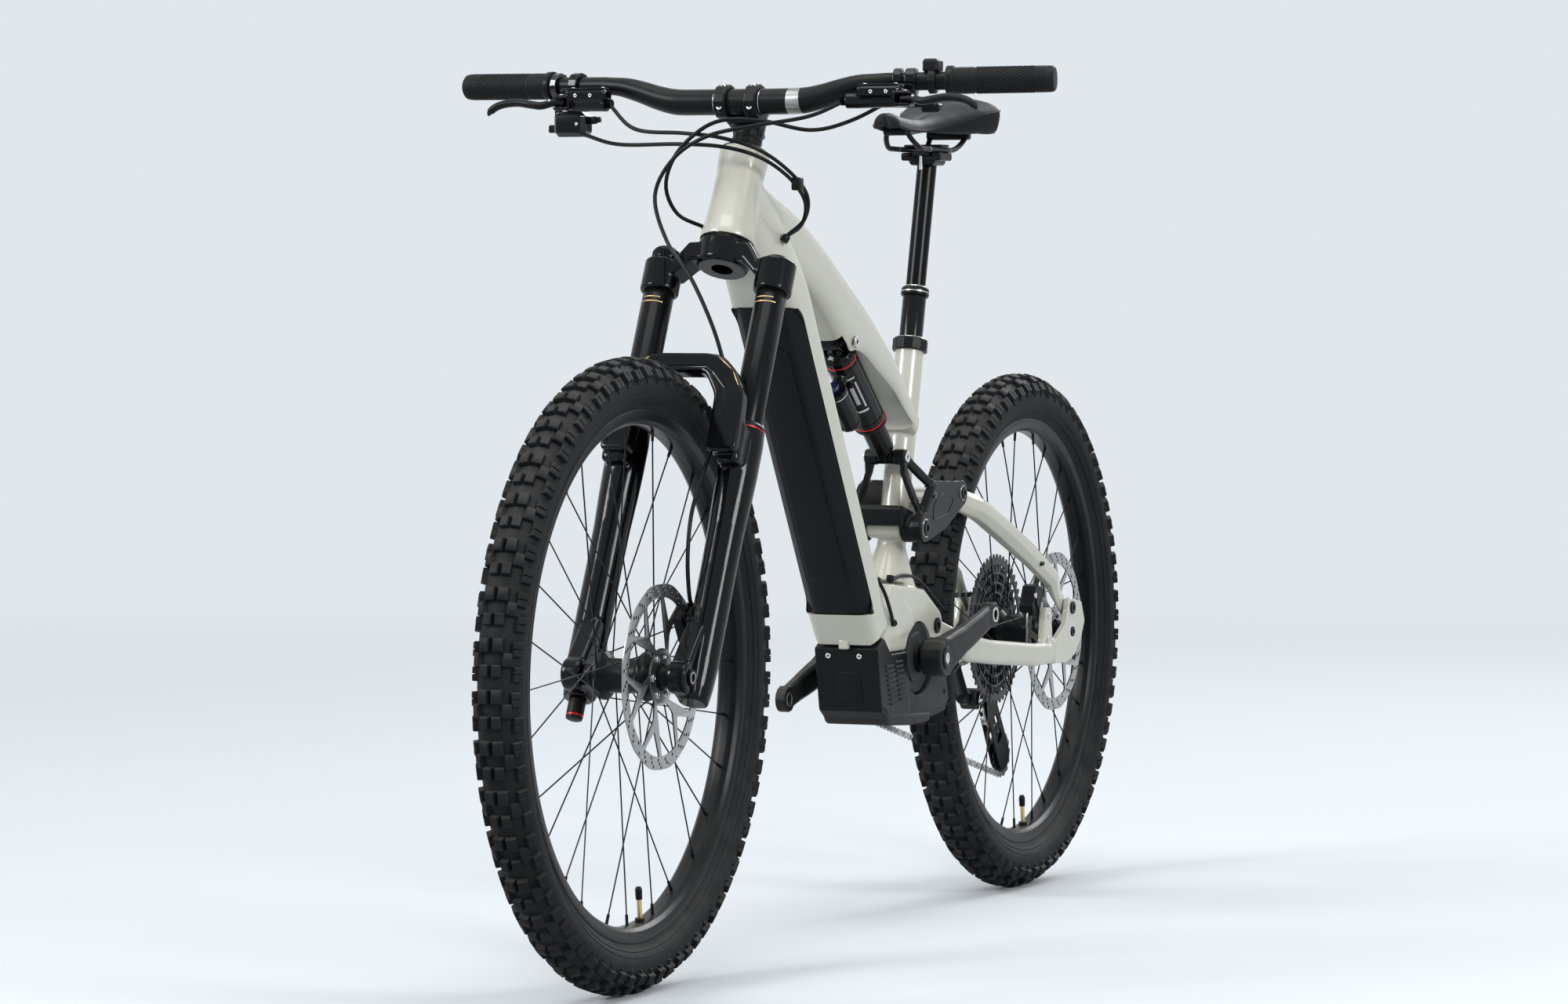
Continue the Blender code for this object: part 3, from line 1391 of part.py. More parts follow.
def swingarm():
    def side():
        arm, end = swingarm_arm(), dropout()
        return joined(arm, end)

    shapes = both_sides(side)
    middle = pin(MAIN_PIVOT, -SWINGARM_HALF_WIDTH, SWINGARM_HALF_WIDTH, PIVOT_TUBE_RADIUS)
    lug = side_plate(
        [
            beside(REAR_AXLE, -0.096, -0.020),
            beside(REAR_AXLE, -0.062, -0.020),
            beside(REAR_AXLE, -0.066, 0.036),
            beside(REAR_AXLE, -0.088, 0.038),
        ],
        0.0668,
        0.0780,
    )
    hanger = side_plate(
        [
            beside(REAR_AXLE, -0.014, -0.030),
            beside(REAR_AXLE, 0.014, -0.020),
            beside(REAR_AXLE, 0.018, -0.050),
            beside(REAR_AXLE, -0.002, -0.052),
        ],
        -0.0835,
        -REAR_HUB_LENGTH / 2 - GAP,
    )
    shape = joined(middle, *shapes, lug, hanger)
    shape = cut(
        shape,
        pin(MAIN_PIVOT, -0.06, 0.06, MAIN_PIVOT_RADIUS + GAP),
        pin(REAR_AXLE, -0.12, 0.12, REAR_AXLE_RADIUS + GAP),
    )
    finish(shape, "swingarm", PAINT, at(0, MAIN_PIVOT))
    reach = REAR_HUB_LENGTH / 2 + GAP + DROPOUT_WALL
    finish(pin(REAR_AXLE, -reach, reach, REAR_AXLE_RADIUS), "rear_axle", BLACK_ALLOY)


def stay_ring(point, normal, middle_x, half_x, half_height):
    """Eight-sided oval across a seatstay; the normal lies square to the stay in the side view."""
    ring = []
    for k in range(8):
        angle = 2 * pi * (k + 0.5) / 8
        height = half_height * sin(angle) / cos(pi / 8)
        centre = beside(point, normal[0] * height, normal[1] * height)
        ring.append(at(middle_x + half_x * cos(angle) / cos(pi / 8), centre))
    return ring


def seatstay():
    bend = beside(REAR_AXLE, -0.2135, 0.152)
    lower = beside(REAR_AXLE, -0.0535, 0.0765)
    up_way = away(ROCKER_EYE, bend)
    up_normal = (-up_way[1], up_way[0])
    low_way = away(bend, STAY_PIVOT)
    low_normal = (-low_way[1], low_way[0])
    upper = [
        (-0.002, 0.0338, 0.0066, 0.0140),
        (0.019, 0.0336, 0.0068, 0.0150),
        (0.036, 0.0405, 0.0110, 0.0152),
        (0.056, 0.0495, 0.0145, 0.0155),
        (0.080, 0.0528, 0.0152, 0.0155),
    ]
    rings = [
        stay_ring(
            along(ROCKER_EYE, bend, d), up_normal, x, half, height
        ) for d, x, half, height in upper
    ]
    rings.append(stay_ring(bend, up_normal, 0.0555, 0.0155, 0.0155))
    rings.append(stay_ring(between(bend, lower, 0.55), low_normal, 0.0670, 0.0120, 0.0150))
    rings.append(stay_ring(lower, low_normal, 0.0710, 0.0110, 0.0140))
    rings.append(stay_ring(between(lower, STAY_PIVOT, 0.62), low_normal, 0.0695, 0.0042, 0.0125))
    rings.append(stay_ring(STAY_PIVOT, low_normal, 0.0702, 0.0034, 0.0120))
    return loft(rings)


def seatstays():
    shapes = both_sides(seatstay)
    start = along(ROCKER_EYE, beside(REAR_AXLE, -0.2135, 0.152), 0.010)
    bridge = pin(start, -0.036, 0.036, 0.010)
    shape = joined(bridge, *shapes)
    shape = cut(
        shape,
        pin(ROCKER_EYE, -0.06, 0.06, 0.0053, SMALL_STEPS),
        pin(STAY_PIVOT, -0.12, 0.12, 0.0053, SMALL_STEPS),
    )
    finish(shape, "seatstays", PAINT, at(0, STAY_PIVOT))


def rocker_half():
    inner = 0.0413
    plate_outline = [
        *arc(ROCKER_EYE, 0.0170, -75, 110, 8),
        beside(ROCKER_PIVOT, 0.052, 0.060),
        beside(ROCKER_PIVOT, 0.036, 0.054),
        beside(ROCKER_PIVOT, 0.004, 0.0210),
        *arc(ROCKER_PIVOT, ROCKER_BOSS_RADIUS, 110, 280, 8),
        beside(ROCKER_PIVOT, 0.070, -0.004),
    ]
    outer_plate = side_plate(plate_outline, inner, inner + 0.0137)
    hub_boss = pin(ROCKER_PIVOT, 0.0245, inner + 0.004, ROCKER_BOSS_RADIUS)
    shapes = []
    for start, end in (
        (beside(ROCKER_PIVOT, 0.044, 0.0525), beside(SHOCK_EYE, 0.006, 0.002)),
        (beside(ROCKER_PIVOT, 0.004, 0.014), beside(SHOCK_EYE, -0.001, -0.006)),
    ):
        way = away(start, end)
        side = (-way[1] * 0.0065, way[0] * 0.0065)
        rings = []
        for share, shift in ((0, 0.0235), (0.35, 0.012), (0.8, 0.0), (1, 0.0)):
            low, high = 0.0210 + shift, 0.0280 + shift
            point = between(start, end, share)
            a, b = beside(point, *side), beside(point, -side[0], -side[1])
            rings.append([at(low, a), at(high, a), at(high, b), at(low, b)])
        shapes.append(loft(rings))
    ear = pin(SHOCK_EYE, 0.0113, 0.0280, 0.0105, ROUND_STEPS)
    return joined(outer_plate, hub_boss, ear, *shapes)


def rocker_link():
    """One-piece link astride the seat tube, closed by a collar round its front."""
    halves = both_sides(rocker_half)
    front = ROCKER_PIVOT[0] - 0.0285
    rear = ROCKER_PIVOT[0] - 0.0165
    mid = ROCKER_PIVOT[0] + 0.002
    low, top = ROCKER_PIVOT[1] + 0.003, ROCKER_PIVOT[1] + 0.030
    collar = box((-0.0335, front, low), (0.0335, rear, top), 0.004)
    links = []
    for side in (-1, 1):
        rings = []
        for inner, outer, y, height in (
            (0.0255, 0.0335, front + 0.002, top), (0.0265, 0.0385, mid, top - 0.010)
        ):
            corners = [(inner, low), (outer, low), (outer, height), (inner, height)]
            rings.append([Vector((side * x, y, z)) for x, z in corners])
        links.append(loft(rings))
    shape = joined(collar, *halves, *links)
    shape = cut(
        shape,
        pin(ROCKER_PIVOT, -0.0393, 0.0393, ROCKER_PIVOT_RADIUS + GAP),
        pin(SHOCK_EYE, -0.06, 0.06, SHOCK_PIN_RADIUS + GAP, SMALL_STEPS),
        pin(ROCKER_EYE, -0.0500, 0.0500, 0.0053, SMALL_STEPS),
    )
    finish(shape, "rocker_link", BLACK_ALLOY, at(0, ROCKER_PIVOT))


def shock():
    way = at(0, SHOCK_EYE) - at(0, SHOCK_TOP)
    length = way.length
    way.normalize()
    out = Vector((0, way.z, -way.y))
    top = at(0, SHOCK_TOP)
    eye = pin(SHOCK_TOP, -0.0125, 0.0125, 0.0115, ROUND_STEPS)
    can = turned(
        [(0, 0.016), (0.012, 0.016), (SHOCK_CAN_RADIUS - 0.004, 0.019), (SHOCK_CAN_RADIUS, 0.024),
         (SHOCK_CAN_RADIUS, 0.160), (SHOCK_CAN_RADIUS - 0.002, 0.168), (0, 0.168)],
        top, way,
    )
    neck = rod(top, top + way * 0.022, 0.011, None, SMALL_STEPS + 4)
    shift = out * 0.043
    reservoir = rod(top + shift + way * 0.045, top + shift + way * 0.113, RESERVOIR_RADIUS)
    head = rod(top + way * 0.045, top + shift + way * 0.056, 0.0095, None, SMALL_STEPS + 4)
    body = joined(can, eye, neck, reservoir, head)
    body = cut(body, rod(top + way * 0.050, top + way * 0.2, SHOCK_SHAFT_RADIUS + GAP))
    body = joined(body, pin(SHOCK_TOP, -0.0325, 0.0325, SHOCK_PIN_RADIUS, SMALL_STEPS))
    finish(body, "shock_body", BLACK_ALLOY, top)
    low_eye = pin(SHOCK_EYE, -0.011, 0.011, SHOCK_EYE_RADIUS, ROUND_STEPS)
    shaft = rod(top + way * 0.100, top + way * (length - 0.018), SHOCK_SHAFT_RADIUS)
    tip = rod(top + way * (length - 0.020), top + way * length, 0.0108, SHOCK_EYE_RADIUS)
    shape = cut(
        joined(shaft, tip, low_eye), pin(SHOCK_EYE, -0.03, 0.03, SHOCK_PIN_RADIUS + 0.0045, SMALL_STEPS)
    )
    finish(shape, "shock_shaft", BLACK_ALLOY, at(0, SHOCK_EYE))


# Crank, chain and derailleur
def crank_arm(side, point):
    """Tapered arm from the boss to the pedal eye."""
    way = away(CRANK, point)
    normal = (-way[1], way[0])
    rings = []
    for distance, inner, outer, half in ((0.0, 0.054, 0.081, 0.0235), (0.024, 0.061, 0.0825, 0.0180),
                                         (0.070, 0.0665, 0.0850, 0.0128), (0.130, 0.0715, 0.0868, 0.0122),
                                         (CRANK_LENGTH, 0.0735, PEDAL_FACE_X - 0.0003, 0.0140)):
        centre = beside(CRANK, way[0] * distance, way[1] * distance)
        chamfer = 0.004
        corners = [
            (inner, half - chamfer), (inner + chamfer, half),
            (outer - chamfer, half), (outer, half - chamfer),
            (outer, chamfer - half), (outer - chamfer, -half),
            (inner + chamfer, -half), (inner, chamfer - half),
        ]
        rings.append([at(side * x, beside(centre, normal[0] * h, normal[1] * h)) for x, h in corners])
    inner_low, inner_high = sorted((side * 0.0735, side * PEDAL_FACE_X))
    eye = pin(point, inner_low, inner_high, PEDAL_EYE_RADIUS)
    low, high = sorted((side * CRANK_BOSS_X, side * CRANK_OUTER_X))
    boss = pin(CRANK, low, high, CRANK_BOSS_RADIUS)
    hole_low, hole_high = sorted((side * 0.05, side * 0.11))
    return cut(
        joined(boss, loft(rings), eye),
        pin(point, hole_low, hole_high, PEDAL_THREAD_RADIUS, SMALL_STEPS + 4),
    )


CRANK_WAY = (cos(radians(CRANK_RISE)), sin(radians(CRANK_RISE)))
LEFT_PEDAL = beside(CRANK, CRANK_WAY[0] * CRANK_LENGTH, CRANK_WAY[1] * CRANK_LENGTH)
RIGHT_PEDAL = beside(CRANK, -CRANK_WAY[0] * CRANK_LENGTH, -CRANK_WAY[1] * CRANK_LENGTH)


def cranks():
    finish(crank_arm(1, LEFT_PEDAL), "crank_left", BLACK_ALLOY, at(0, CRANK))
    right = crank_arm(-1, RIGHT_PEDAL)
    trim = pin(CRANK, -CRANK_BOSS_X - 0.0025, -0.04, 0.05)
    spindle = pin(CRANK, -CRANK_BOSS_X - 0.010, CRANK_BOSS_X - GAP, SPINDLE_RADIUS)
    finish(joined(cut(right, trim), spindle), "crank_right", BLACK_ALLOY, at(0, CRANK))
    radius = pitch_radius(CHAINRING_TEETH) - CHAIN_HALF_HEIGHT - 3 * GAP
    low, high = -CHAINLINE - SPROCKET_HALF_THICKNESS, -CHAINLINE + SPROCKET_HALF_THICKNESS
    holes = []
    for k in range(5):
        middle = 360 * k / 5 + 20
        inner = arc(CRANK, 0.036, middle - 22, middle + 22, 3)
        outer = arc(CRANK, radius - 0.012, middle + 25, middle - 25, 4)
        holes.append(inner + outer)
    holes.append(circle(CRANK, SPINDLE_RADIUS + GAP, ROUND_STEPS))
    ring = side_plate(circle(CRANK, radius, WHEEL_STEPS), low, high, holes)
    finish(ring, "chainring", BLACK_ALLOY, at(0, CRANK))


def chain_loop(offset):
    """Closed side-view loop of the chain's pitch line, moved out by an offset."""
    wheels_round = [
        (CRANK, pitch_radius(CHAINRING_TEETH), -1),
        (REAR_AXLE, pitch_radius(COG_TEETH), -1),
        (GUIDE_PULLEY, pitch_radius(GUIDE_TEETH), 1),
        (TENSION_PULLEY, pitch_radius(TENSION_TEETH), -1),
    ]
    signed = [turn * radius - offset for _, radius, turn in wheels_round]
    heading = []
    for i in range(4):
        j = (i + 1) % 4
        a, b = wheels_round[i][0], wheels_round[j][0]
        span = ((b[0] - a[0]) ** 2 + (b[1] - a[1]) ** 2) ** 0.5
        heading.append(atan2(b[1] - a[1], b[0] - a[0]) + asin((signed[i] - signed[j]) / span))
    loop = []
    for i, (centre, _, turn) in enumerate(wheels_round):
        arriving = heading[i - 1] - pi / 2
        leaving = heading[i] - pi / 2
        swept = (leaving - arriving) % (2 * pi)
        if turn < 0:
            swept -= 2 * pi
        steps = max(2, ceil(abs(swept) / radians(15)))
        for k in range(steps + 1):
            angle = arriving + swept * k / steps
            loop.append(beside(centre, signed[i] * cos(angle), signed[i] * sin(angle)))
    return loop


def chain():
    low, high = -CHAINLINE - CHAIN_HALF_WIDTH, -CHAINLINE + CHAIN_HALF_WIDTH
    outer = chain_loop(CHAIN_HALF_HEIGHT)
    inner = chain_loop(-CHAIN_HALF_HEIGHT)
    finish(side_plate(outer, low, high, [inner]), "chain", STEEL)


def cage_half(low, high):
    outline = [
        *arc(GUIDE_PULLEY, 0.019, 34, 214, 6),
        *arc(TENSION_PULLEY, 0.022, 214, 394, 6),
    ]
    return side_plate(outline, low, high)


def derailleur():
    inner_face = -CHAINLINE + CHAIN_HALF_WIDTH + 2 * GAP
    outer_face = -CHAINLINE - CHAIN_HALF_WIDTH - 2 * GAP
    knuckle = pin(CAGE_PIVOT, -0.086, outer_face - 0.003 - GAP, 0.015)
    hanger_bolt = beside(REAR_AXLE, 0.008, -0.044)
    mount = pin(hanger_bolt, -0.100, -0.0838, 0.011, SMALL_STEPS)
    link = rod(
        at(-0.0965, hanger_bolt),
        at(-0.078, beside(CAGE_PIVOT, -0.024, 0.004)),
        0.0085,
        0.0105,
        SMALL_STEPS + 4,
    )
    lower = rod(
        at(-0.078, beside(CAGE_PIVOT, -0.024, 0.004)),
        at(-0.076, CAGE_PIVOT),
        0.0105,
        None,
        SMALL_STEPS + 4,
    )
    body = joined(knuckle, mount, link, lower)
    body = cut(body, pin(CAGE_PIVOT, -0.078, -0.04, bore_radius(0.005, SMALL_STEPS), SMALL_STEPS))
    finish(body, "derailleur_body", BLACK_ALLOY)
    outer_plate = joined(
        cage_half(outer_face - 0.003, outer_face),
        pin(CAGE_PIVOT, -0.076, outer_face - 0.0005, 0.005, SMALL_STEPS),
    )
    inner_plate = cage_half(inner_face, inner_face + 0.0022)
    pins = [
        pin(
            centre, outer_face - 0.001, inner_face + 0.001, 0.003, SMALL_STEPS
        ) for centre in (GUIDE_PULLEY, TENSION_PULLEY)
    ]
    finish(joined(outer_plate, inner_plate, *pins), "derailleur_cage", BLACK_ALLOY, at(0, CAGE_PIVOT))
    for centre, teeth, name in (
        (GUIDE_PULLEY, GUIDE_TEETH, "guide_pulley"),
        (TENSION_PULLEY, TENSION_TEETH, "tension_pulley"),
    ):
        radius = pitch_radius(teeth) - CHAIN_HALF_HEIGHT - 3 * GAP
        half = CHAIN_HALF_WIDTH - 2 * GAP
        wheel = side_plate(
            circle(centre, radius, ROUND_STEPS), -CHAINLINE - half, -CHAINLINE + half, [
                circle(centre, 0.0034, SMALL_STEPS)
            ]
        )
        finish(wheel, name, BLACK_PLASTIC, at(-CHAINLINE, centre))


# Seat
def seatpost():
    way = Vector((0, sin(SEAT_LEAN), cos(SEAT_LEAN)))
    foot = at(0, seat_line(DROPPER_TOP - 0.075))
    top = at(0, seat_line(SEATPOST_TOP - 0.006))
    post = rod(foot, top, SEATPOST_RADIUS)
    head = box(
        (-0.018, top.y - 0.024, SEATPOST_TOP - 0.014), (0.018, top.y + 0.022, SEATPOST_TOP), 0.003
    )
    clamp_y = top.y - 0.004
    clamps = [
        box((side * RAIL_X - 0.006, clamp_y - 0.022, SEATPOST_TOP - 0.008),
            (side * RAIL_X + 0.006, clamp_y + 0.022, RAIL_LOW - RAIL_RADIUS - GAP), 0.0015)
        for side in (-1, 1)
    ]
    shape = joined(post, head, *clamps)
    finish(shape, "seatpost", GLOSS_BLACK, foot)


RAIL_LOW = SEATPOST_TOP + 0.0065
SADDLE_NOSE_Y = seat_line(SEATPOST_TOP)[0] - 0.1655
SADDLE_TOP = SEATPOST_TOP + 0.079


def saddle_rails():
    nose = SADDLE_NOSE_Y
    points = [
        (0.014, nose + 0.034, RAIL_LOW + 0.0220),
        (0.018, nose + 0.040, RAIL_LOW + 0.0120),
        (RAIL_X, nose + 0.060, RAIL_LOW + 0.0020),
        (RAIL_X, nose + 0.100, RAIL_LOW),
        (RAIL_X, nose + 0.195, RAIL_LOW),
        (RAIL_X + 0.001, nose + 0.222, RAIL_LOW + 0.0070),
        (RAIL_X + 0.004, nose + 0.240, RAIL_LOW + 0.0200),
    ]
    left = tube([Vector(p) for p in points], RAIL_RADIUS, None, 1)
    right = flipped(left)
    front = rod(
        (-0.016, nose + 0.034, RAIL_LOW + 0.0205),
        (0.016, nose + 0.034, RAIL_LOW + 0.0205),
        RAIL_RADIUS * 1.1,
        None,
        8,
    )
    rear = rod(
        (-0.027, nose + 0.240, RAIL_LOW + 0.0185),
        (0.027, nose + 0.240, RAIL_LOW + 0.0185),
        RAIL_RADIUS * 1.1,
        None,
        8,
    )
    finish(joined(left, front, right, rear), "saddle_rails", BLACK_ALLOY, (0, nose, RAIL_LOW))


def saddle_section(share):
    """Half-width, top height and side depth of the saddle at a share of its length from the nose."""
    flare = max(0.0, (share - 0.36) / 0.64)
    spread = flare * flare * (3 - 2 * flare)
    nose = min(1.0, (share + 0.02) / 0.09) ** 0.5
    tail = min(1.0, (1.02 - share) / 0.09) ** 0.5
    widening = (SADDLE_HALF_WIDTH - SADDLE_NOSE_HALF_WIDTH - 0.006) * spread
    half = (SADDLE_NOSE_HALF_WIDTH + 0.006 * share + widening) * nose * tail
    top = SADDLE_TOP - 0.026 - 0.010 * sin(pi * min(1.0, share / 0.8)) + 0.026 * share**2.2
    return half, top - 0.010 * (1 - nose), 0.019 + 0.030 * spread * tail


def saddle_pad():
    """Cushion with a crown along its middle and sides drawn in under its edge."""
    rings = []
    floor = RAIL_LOW + 0.0250
    for k in range(15):
        share = k / 14
        half, top, depth = saddle_section(share)
        y = SADDLE_NOSE_Y + SADDLE_LENGTH * share
        low = top - depth
        section = [(0.0, top + 0.001), (0.45, top - 0.0005), (0.78, top - 0.005), (0.96, top - 0.012)]
        section += [(1.0, max(low + 0.002, top - 0.020)), (0.90, low)]
        belly = max(floor, low)
        section += [(0.55, max(belly, min(top - 0.012, low + 0.006)))]
        half_ring = [Vector((half * across, y, height)) for across, height in section]
        bottom = Vector((0, y, max(belly, min(top - 0.012, low + 0.006))))
        rings.append(half_ring + [bottom] + [Vector((-p.x, p.y, p.z)) for p in reversed(half_ring[1:])])
    finish(loft(rings), "saddle_pad", RUBBER, (0, SADDLE_NOSE_Y, SADDLE_TOP))


# Hoses, from the levers outwards and set off from the middle of the bar
FRONT_HOSE = [
    (LEVER_X - 0.0800, -0.02334, -0.00137), (0.1100, -0.04634, -0.02007),
    (0.0500, -0.06634, -0.03107), (-0.0100, -0.07434, -0.04307), (-0.0550, -0.07634, -0.07007),
    (-0.0780, -0.08034, -0.11507), (-0.0550, -0.09634, -0.17007), (-0.0100, -0.11934, -0.22007),
    (0.0300, -0.13734, -0.29007), (0.0460, -0.14334, -0.35507), (0.0445, -0.17234, -0.40007),
    (0.0440, -0.21434, -0.45007), (0.0440, -0.24634, -0.49507), (0.0460, -0.26134, -0.54507),
    (0.0475, -0.26034, -0.58707), (0.0475, -0.25334, -0.60157),
]
REAR_HOSE_A = [
    (0.0625 - LEVER_X, -0.02334, -0.00157), (-0.1200, -0.04634, -0.03307),
    (-0.0500, -0.05834, -0.03907), (0.0000, -0.05834, -0.04507), (0.0420, -0.03634, -0.06007),
    (0.0660, 0.00366, -0.08707), (0.0720, 0.04066, -0.11507), (0.0600, 0.05966, -0.14307),
    (0.0400, 0.05166, -0.16307),
]
REAR_HOSE_B = [
    (0.0130 - LEVER_X, 0.00566, -0.03707), (-0.1500, -0.02934, -0.05107),
    (-0.0600, -0.05034, -0.05207), (0.0000, -0.05034, -0.05607), (0.0400, -0.02834, -0.06907),
    (0.0630, 0.00866, -0.09407), (0.0680, 0.04366, -0.12207), (0.0550, 0.06366, -0.14907),
    (0.0360, 0.06166, -0.16307),
]
DROPPER_HOSE = [
    (LEVER_X - 0.0318, 0.01566, 0.00193), (0.1500, -0.01134, -0.02507),
    (0.1050, -0.02834, -0.03607), (0.0500, -0.04634, -0.02507), (0.0000, -0.05634, -0.02407),
    (-0.0320, -0.06584, -0.04107), (-0.0600, -0.06534, -0.07007), (-0.0750, -0.05434, -0.10507),
    (-0.0680, -0.03434, -0.13707), (-0.0420, -0.01234, -0.15307),
]
SWINGARM_HOSE = [
    (0.030, -0.073, 0.1017), (0.031, -0.035, 0.1080), (0.033, 0.015, 0.1010), (0.036, 0.060, 0.0770),
    (0.040, 0.090, 0.0570),
]


def hose(points, step=0.028):
    return tube(smooth_route(points, step), HOSE_RADIUS, None, 1)


def bar_hose(points):
    return hose([BAR_MIDDLE + Vector(point) for point in points])


def hoses():
    finish(bar_hose(FRONT_HOSE), "front_brake_hose", RUBBER)
    clip_middle = BAR_MIDDLE + Vector((0.069, 0.01666, -0.10007))
    clip = box(
        clip_middle - Vector((0.006, 0.007, 0.008)), clip_middle + Vector((0.006, 0.007, 0.008)), 0.002
    )
    finish(joined(bar_hose(REAR_HOSE_A), bar_hose(REAR_HOSE_B), clip), "rear_hose_pair", RUBBER)
    finish(bar_hose(DROPPER_HOSE), "dropper_hose", RUBBER)
    cable = [at(x, beside(CRANK, back, up)) for x, back, up in SWINGARM_HOSE]
    finish(hose(cable), "swingarm_hose", RUBBER)


main_frame()
battery()
drive_unit()
motor_cover()
skid_plate()
pivot_axles()
seat_hardware()
fork_upper()
fork_lowers()
brake_calipers()
stem()
handlebar()
grips()
brake_side(1, LEVER_X - 0.009, LEVER_X - 0.078, dropper_clamp())
brake_side(-1, LEVER_X - 0.0015, LEVER_X - 0.060)
bar_controls()
wheels()
swingarm()
seatstays()
rocker_link()
shock()
cranks()
chain()
derailleur()
seatpost()
saddle_rails()
saddle_pad()
hoses()
bpy.data.collections.remove(workshop)
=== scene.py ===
from math import asin, atan2, ceil, cos, degrees, pi, radians, sin, sqrt

import bmesh
import bpy
from mathutils import Matrix, Vector, noise


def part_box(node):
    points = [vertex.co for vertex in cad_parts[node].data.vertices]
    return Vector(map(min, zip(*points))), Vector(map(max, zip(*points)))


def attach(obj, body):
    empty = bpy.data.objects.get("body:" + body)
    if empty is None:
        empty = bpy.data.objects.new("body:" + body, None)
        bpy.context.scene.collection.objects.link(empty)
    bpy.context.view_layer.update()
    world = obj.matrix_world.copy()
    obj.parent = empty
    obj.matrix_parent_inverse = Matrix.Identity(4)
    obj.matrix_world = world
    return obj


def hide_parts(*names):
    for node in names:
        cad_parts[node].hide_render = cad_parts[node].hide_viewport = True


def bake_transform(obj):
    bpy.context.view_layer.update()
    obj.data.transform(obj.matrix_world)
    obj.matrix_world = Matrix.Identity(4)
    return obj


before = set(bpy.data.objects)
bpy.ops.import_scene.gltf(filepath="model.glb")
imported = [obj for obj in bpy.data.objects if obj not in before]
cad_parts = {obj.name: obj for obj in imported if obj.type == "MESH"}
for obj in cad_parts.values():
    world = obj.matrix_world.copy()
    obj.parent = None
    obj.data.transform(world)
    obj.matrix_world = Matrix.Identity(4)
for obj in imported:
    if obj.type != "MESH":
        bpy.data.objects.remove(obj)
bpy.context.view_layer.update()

# The bike faces -Y, its left side is +X, and the ground is z = 0.

# Camera, light and floor
photoView = {
    "place": (2.71368, -6.56419, 0.83192),
    "turn": 22.98906,
    "down": 2.23047,
    "roll": 0.04261,
    "lens": 127.949,
}


def setCamera():
    data = bpy.data.cameras.new("photoCamera")
    camera = bpy.data.objects.new("photoCamera", data)
    bpy.context.scene.collection.objects.link(camera)
    data.lens, data.sensor_width = photoView["lens"], 36
    data.clip_start, data.clip_end = 0.1, 200
    turn = Matrix.Rotation(radians(photoView["turn"]), 4, "Z")
    tilt = Matrix.Rotation(radians(90 - photoView["down"]), 4, "X")
    roll = Matrix.Rotation(radians(photoView["roll"]), 4, "Z")
    camera.matrix_world = Matrix.Translation(photoView["place"]) @ turn @ tilt @ roll
    bpy.context.scene.camera = camera
    bpy.context.scene.view_settings.view_transform = "Standard"


studio = {
    "sky": (0.82, 0.87, 0.91),
    "skyPower": 0.92,
    "floor": (0.485, 0.505, 0.520),
    "lamps": (  # place, size, power
        ((-4.5, -5.0, 4.2), 2.6, 330),
        ((5.5, -2.5, 3.2), 2.2, 230),
        ((1.0, 5.5, 4.0), 3.0, 210),
        ((0.0, -1.5, 6.0), 4.0, 150),
    ),
}


def setStudio():
    world = bpy.data.worlds.new("studio")
    world.use_nodes = True
    sky = world.node_tree.nodes["Background"]
    sky.inputs["Color"].default_value = (*studio["sky"], 1)
    sky.inputs["Strength"].default_value = studio["skyPower"]
    bpy.context.scene.world = world
    for i, (place, size, power) in enumerate(studio["lamps"]):
        data = bpy.data.lights.new(f"softbox{i}", "AREA")
        data.shape, data.size, data.size_y, data.energy = "RECTANGLE", size, size * 0.8, power
        lamp = bpy.data.objects.new(f"softbox{i}", data)
        bpy.context.scene.collection.objects.link(lamp)
        lamp.location = place
        lamp.rotation_euler = (Vector((0, 0, 0.6)) - Vector(place)).to_track_quat("-Z", "Y").to_euler()
    bm = bmesh.new()
    bmesh.ops.create_circle(bm, cap_ends=True, segments=96, radius=9)
    mesh = bpy.data.meshes.new("floor")
    bm.to_mesh(mesh)
    bm.free()
    floor = bpy.data.objects.new("floor", mesh)
    bpy.context.scene.collection.objects.link(floor)
    look = Finish("floorPaper", studio["floor"], 0.9)
    reach = look.node("ShaderNodeVectorMath", {"operation": "LENGTH"}, {0: look.place}, "Value")
    fade = look.spread(reach + look.noise(0.4) * 1.2, 1.8, 8.0)
    clear = look.node("ShaderNodeBsdfTransparent", out=0)
    paper = Wire(look.tree, look.shader.outputs[0])
    both = look.node("ShaderNodeMixShader", sockets={0: fade, 1: paper, 2: clear})
    look.tree.links.new(both.socket, look.tree.nodes["Material Output"].inputs["Surface"])
    mesh.materials.append(look.material)


# Shader maths
class Wire:
    # one socket, so that sums of sockets read as plain Python
    def __init__(self, tree, socket):
        self.tree, self.socket = tree, socket

    def maths(self, kind, *others):
        step = self.tree.nodes.new("ShaderNodeMath")
        step.operation = kind
        for slot, value in zip(step.inputs, others):
            plug(self.tree, slot, value)
        return Wire(self.tree, step.outputs[0])

    def __add__(self, other):
        return self.maths("ADD", self, other)

    def __radd__(self, other):
        return self.maths("ADD", other, self)

    def __sub__(self, other):
        return self.maths("SUBTRACT", self, other)

    def __mul__(self, other):
        return self.maths("MULTIPLY", self, other)


def plug(tree, slot, value):
    if isinstance(value, Wire):
        tree.links.new(value.socket, slot)
    elif value is not None:
        if hasattr(value, "__len__") and slot.type == "RGBA" and len(value) == 3:
            value = (*value, 1)
        slot.default_value = value


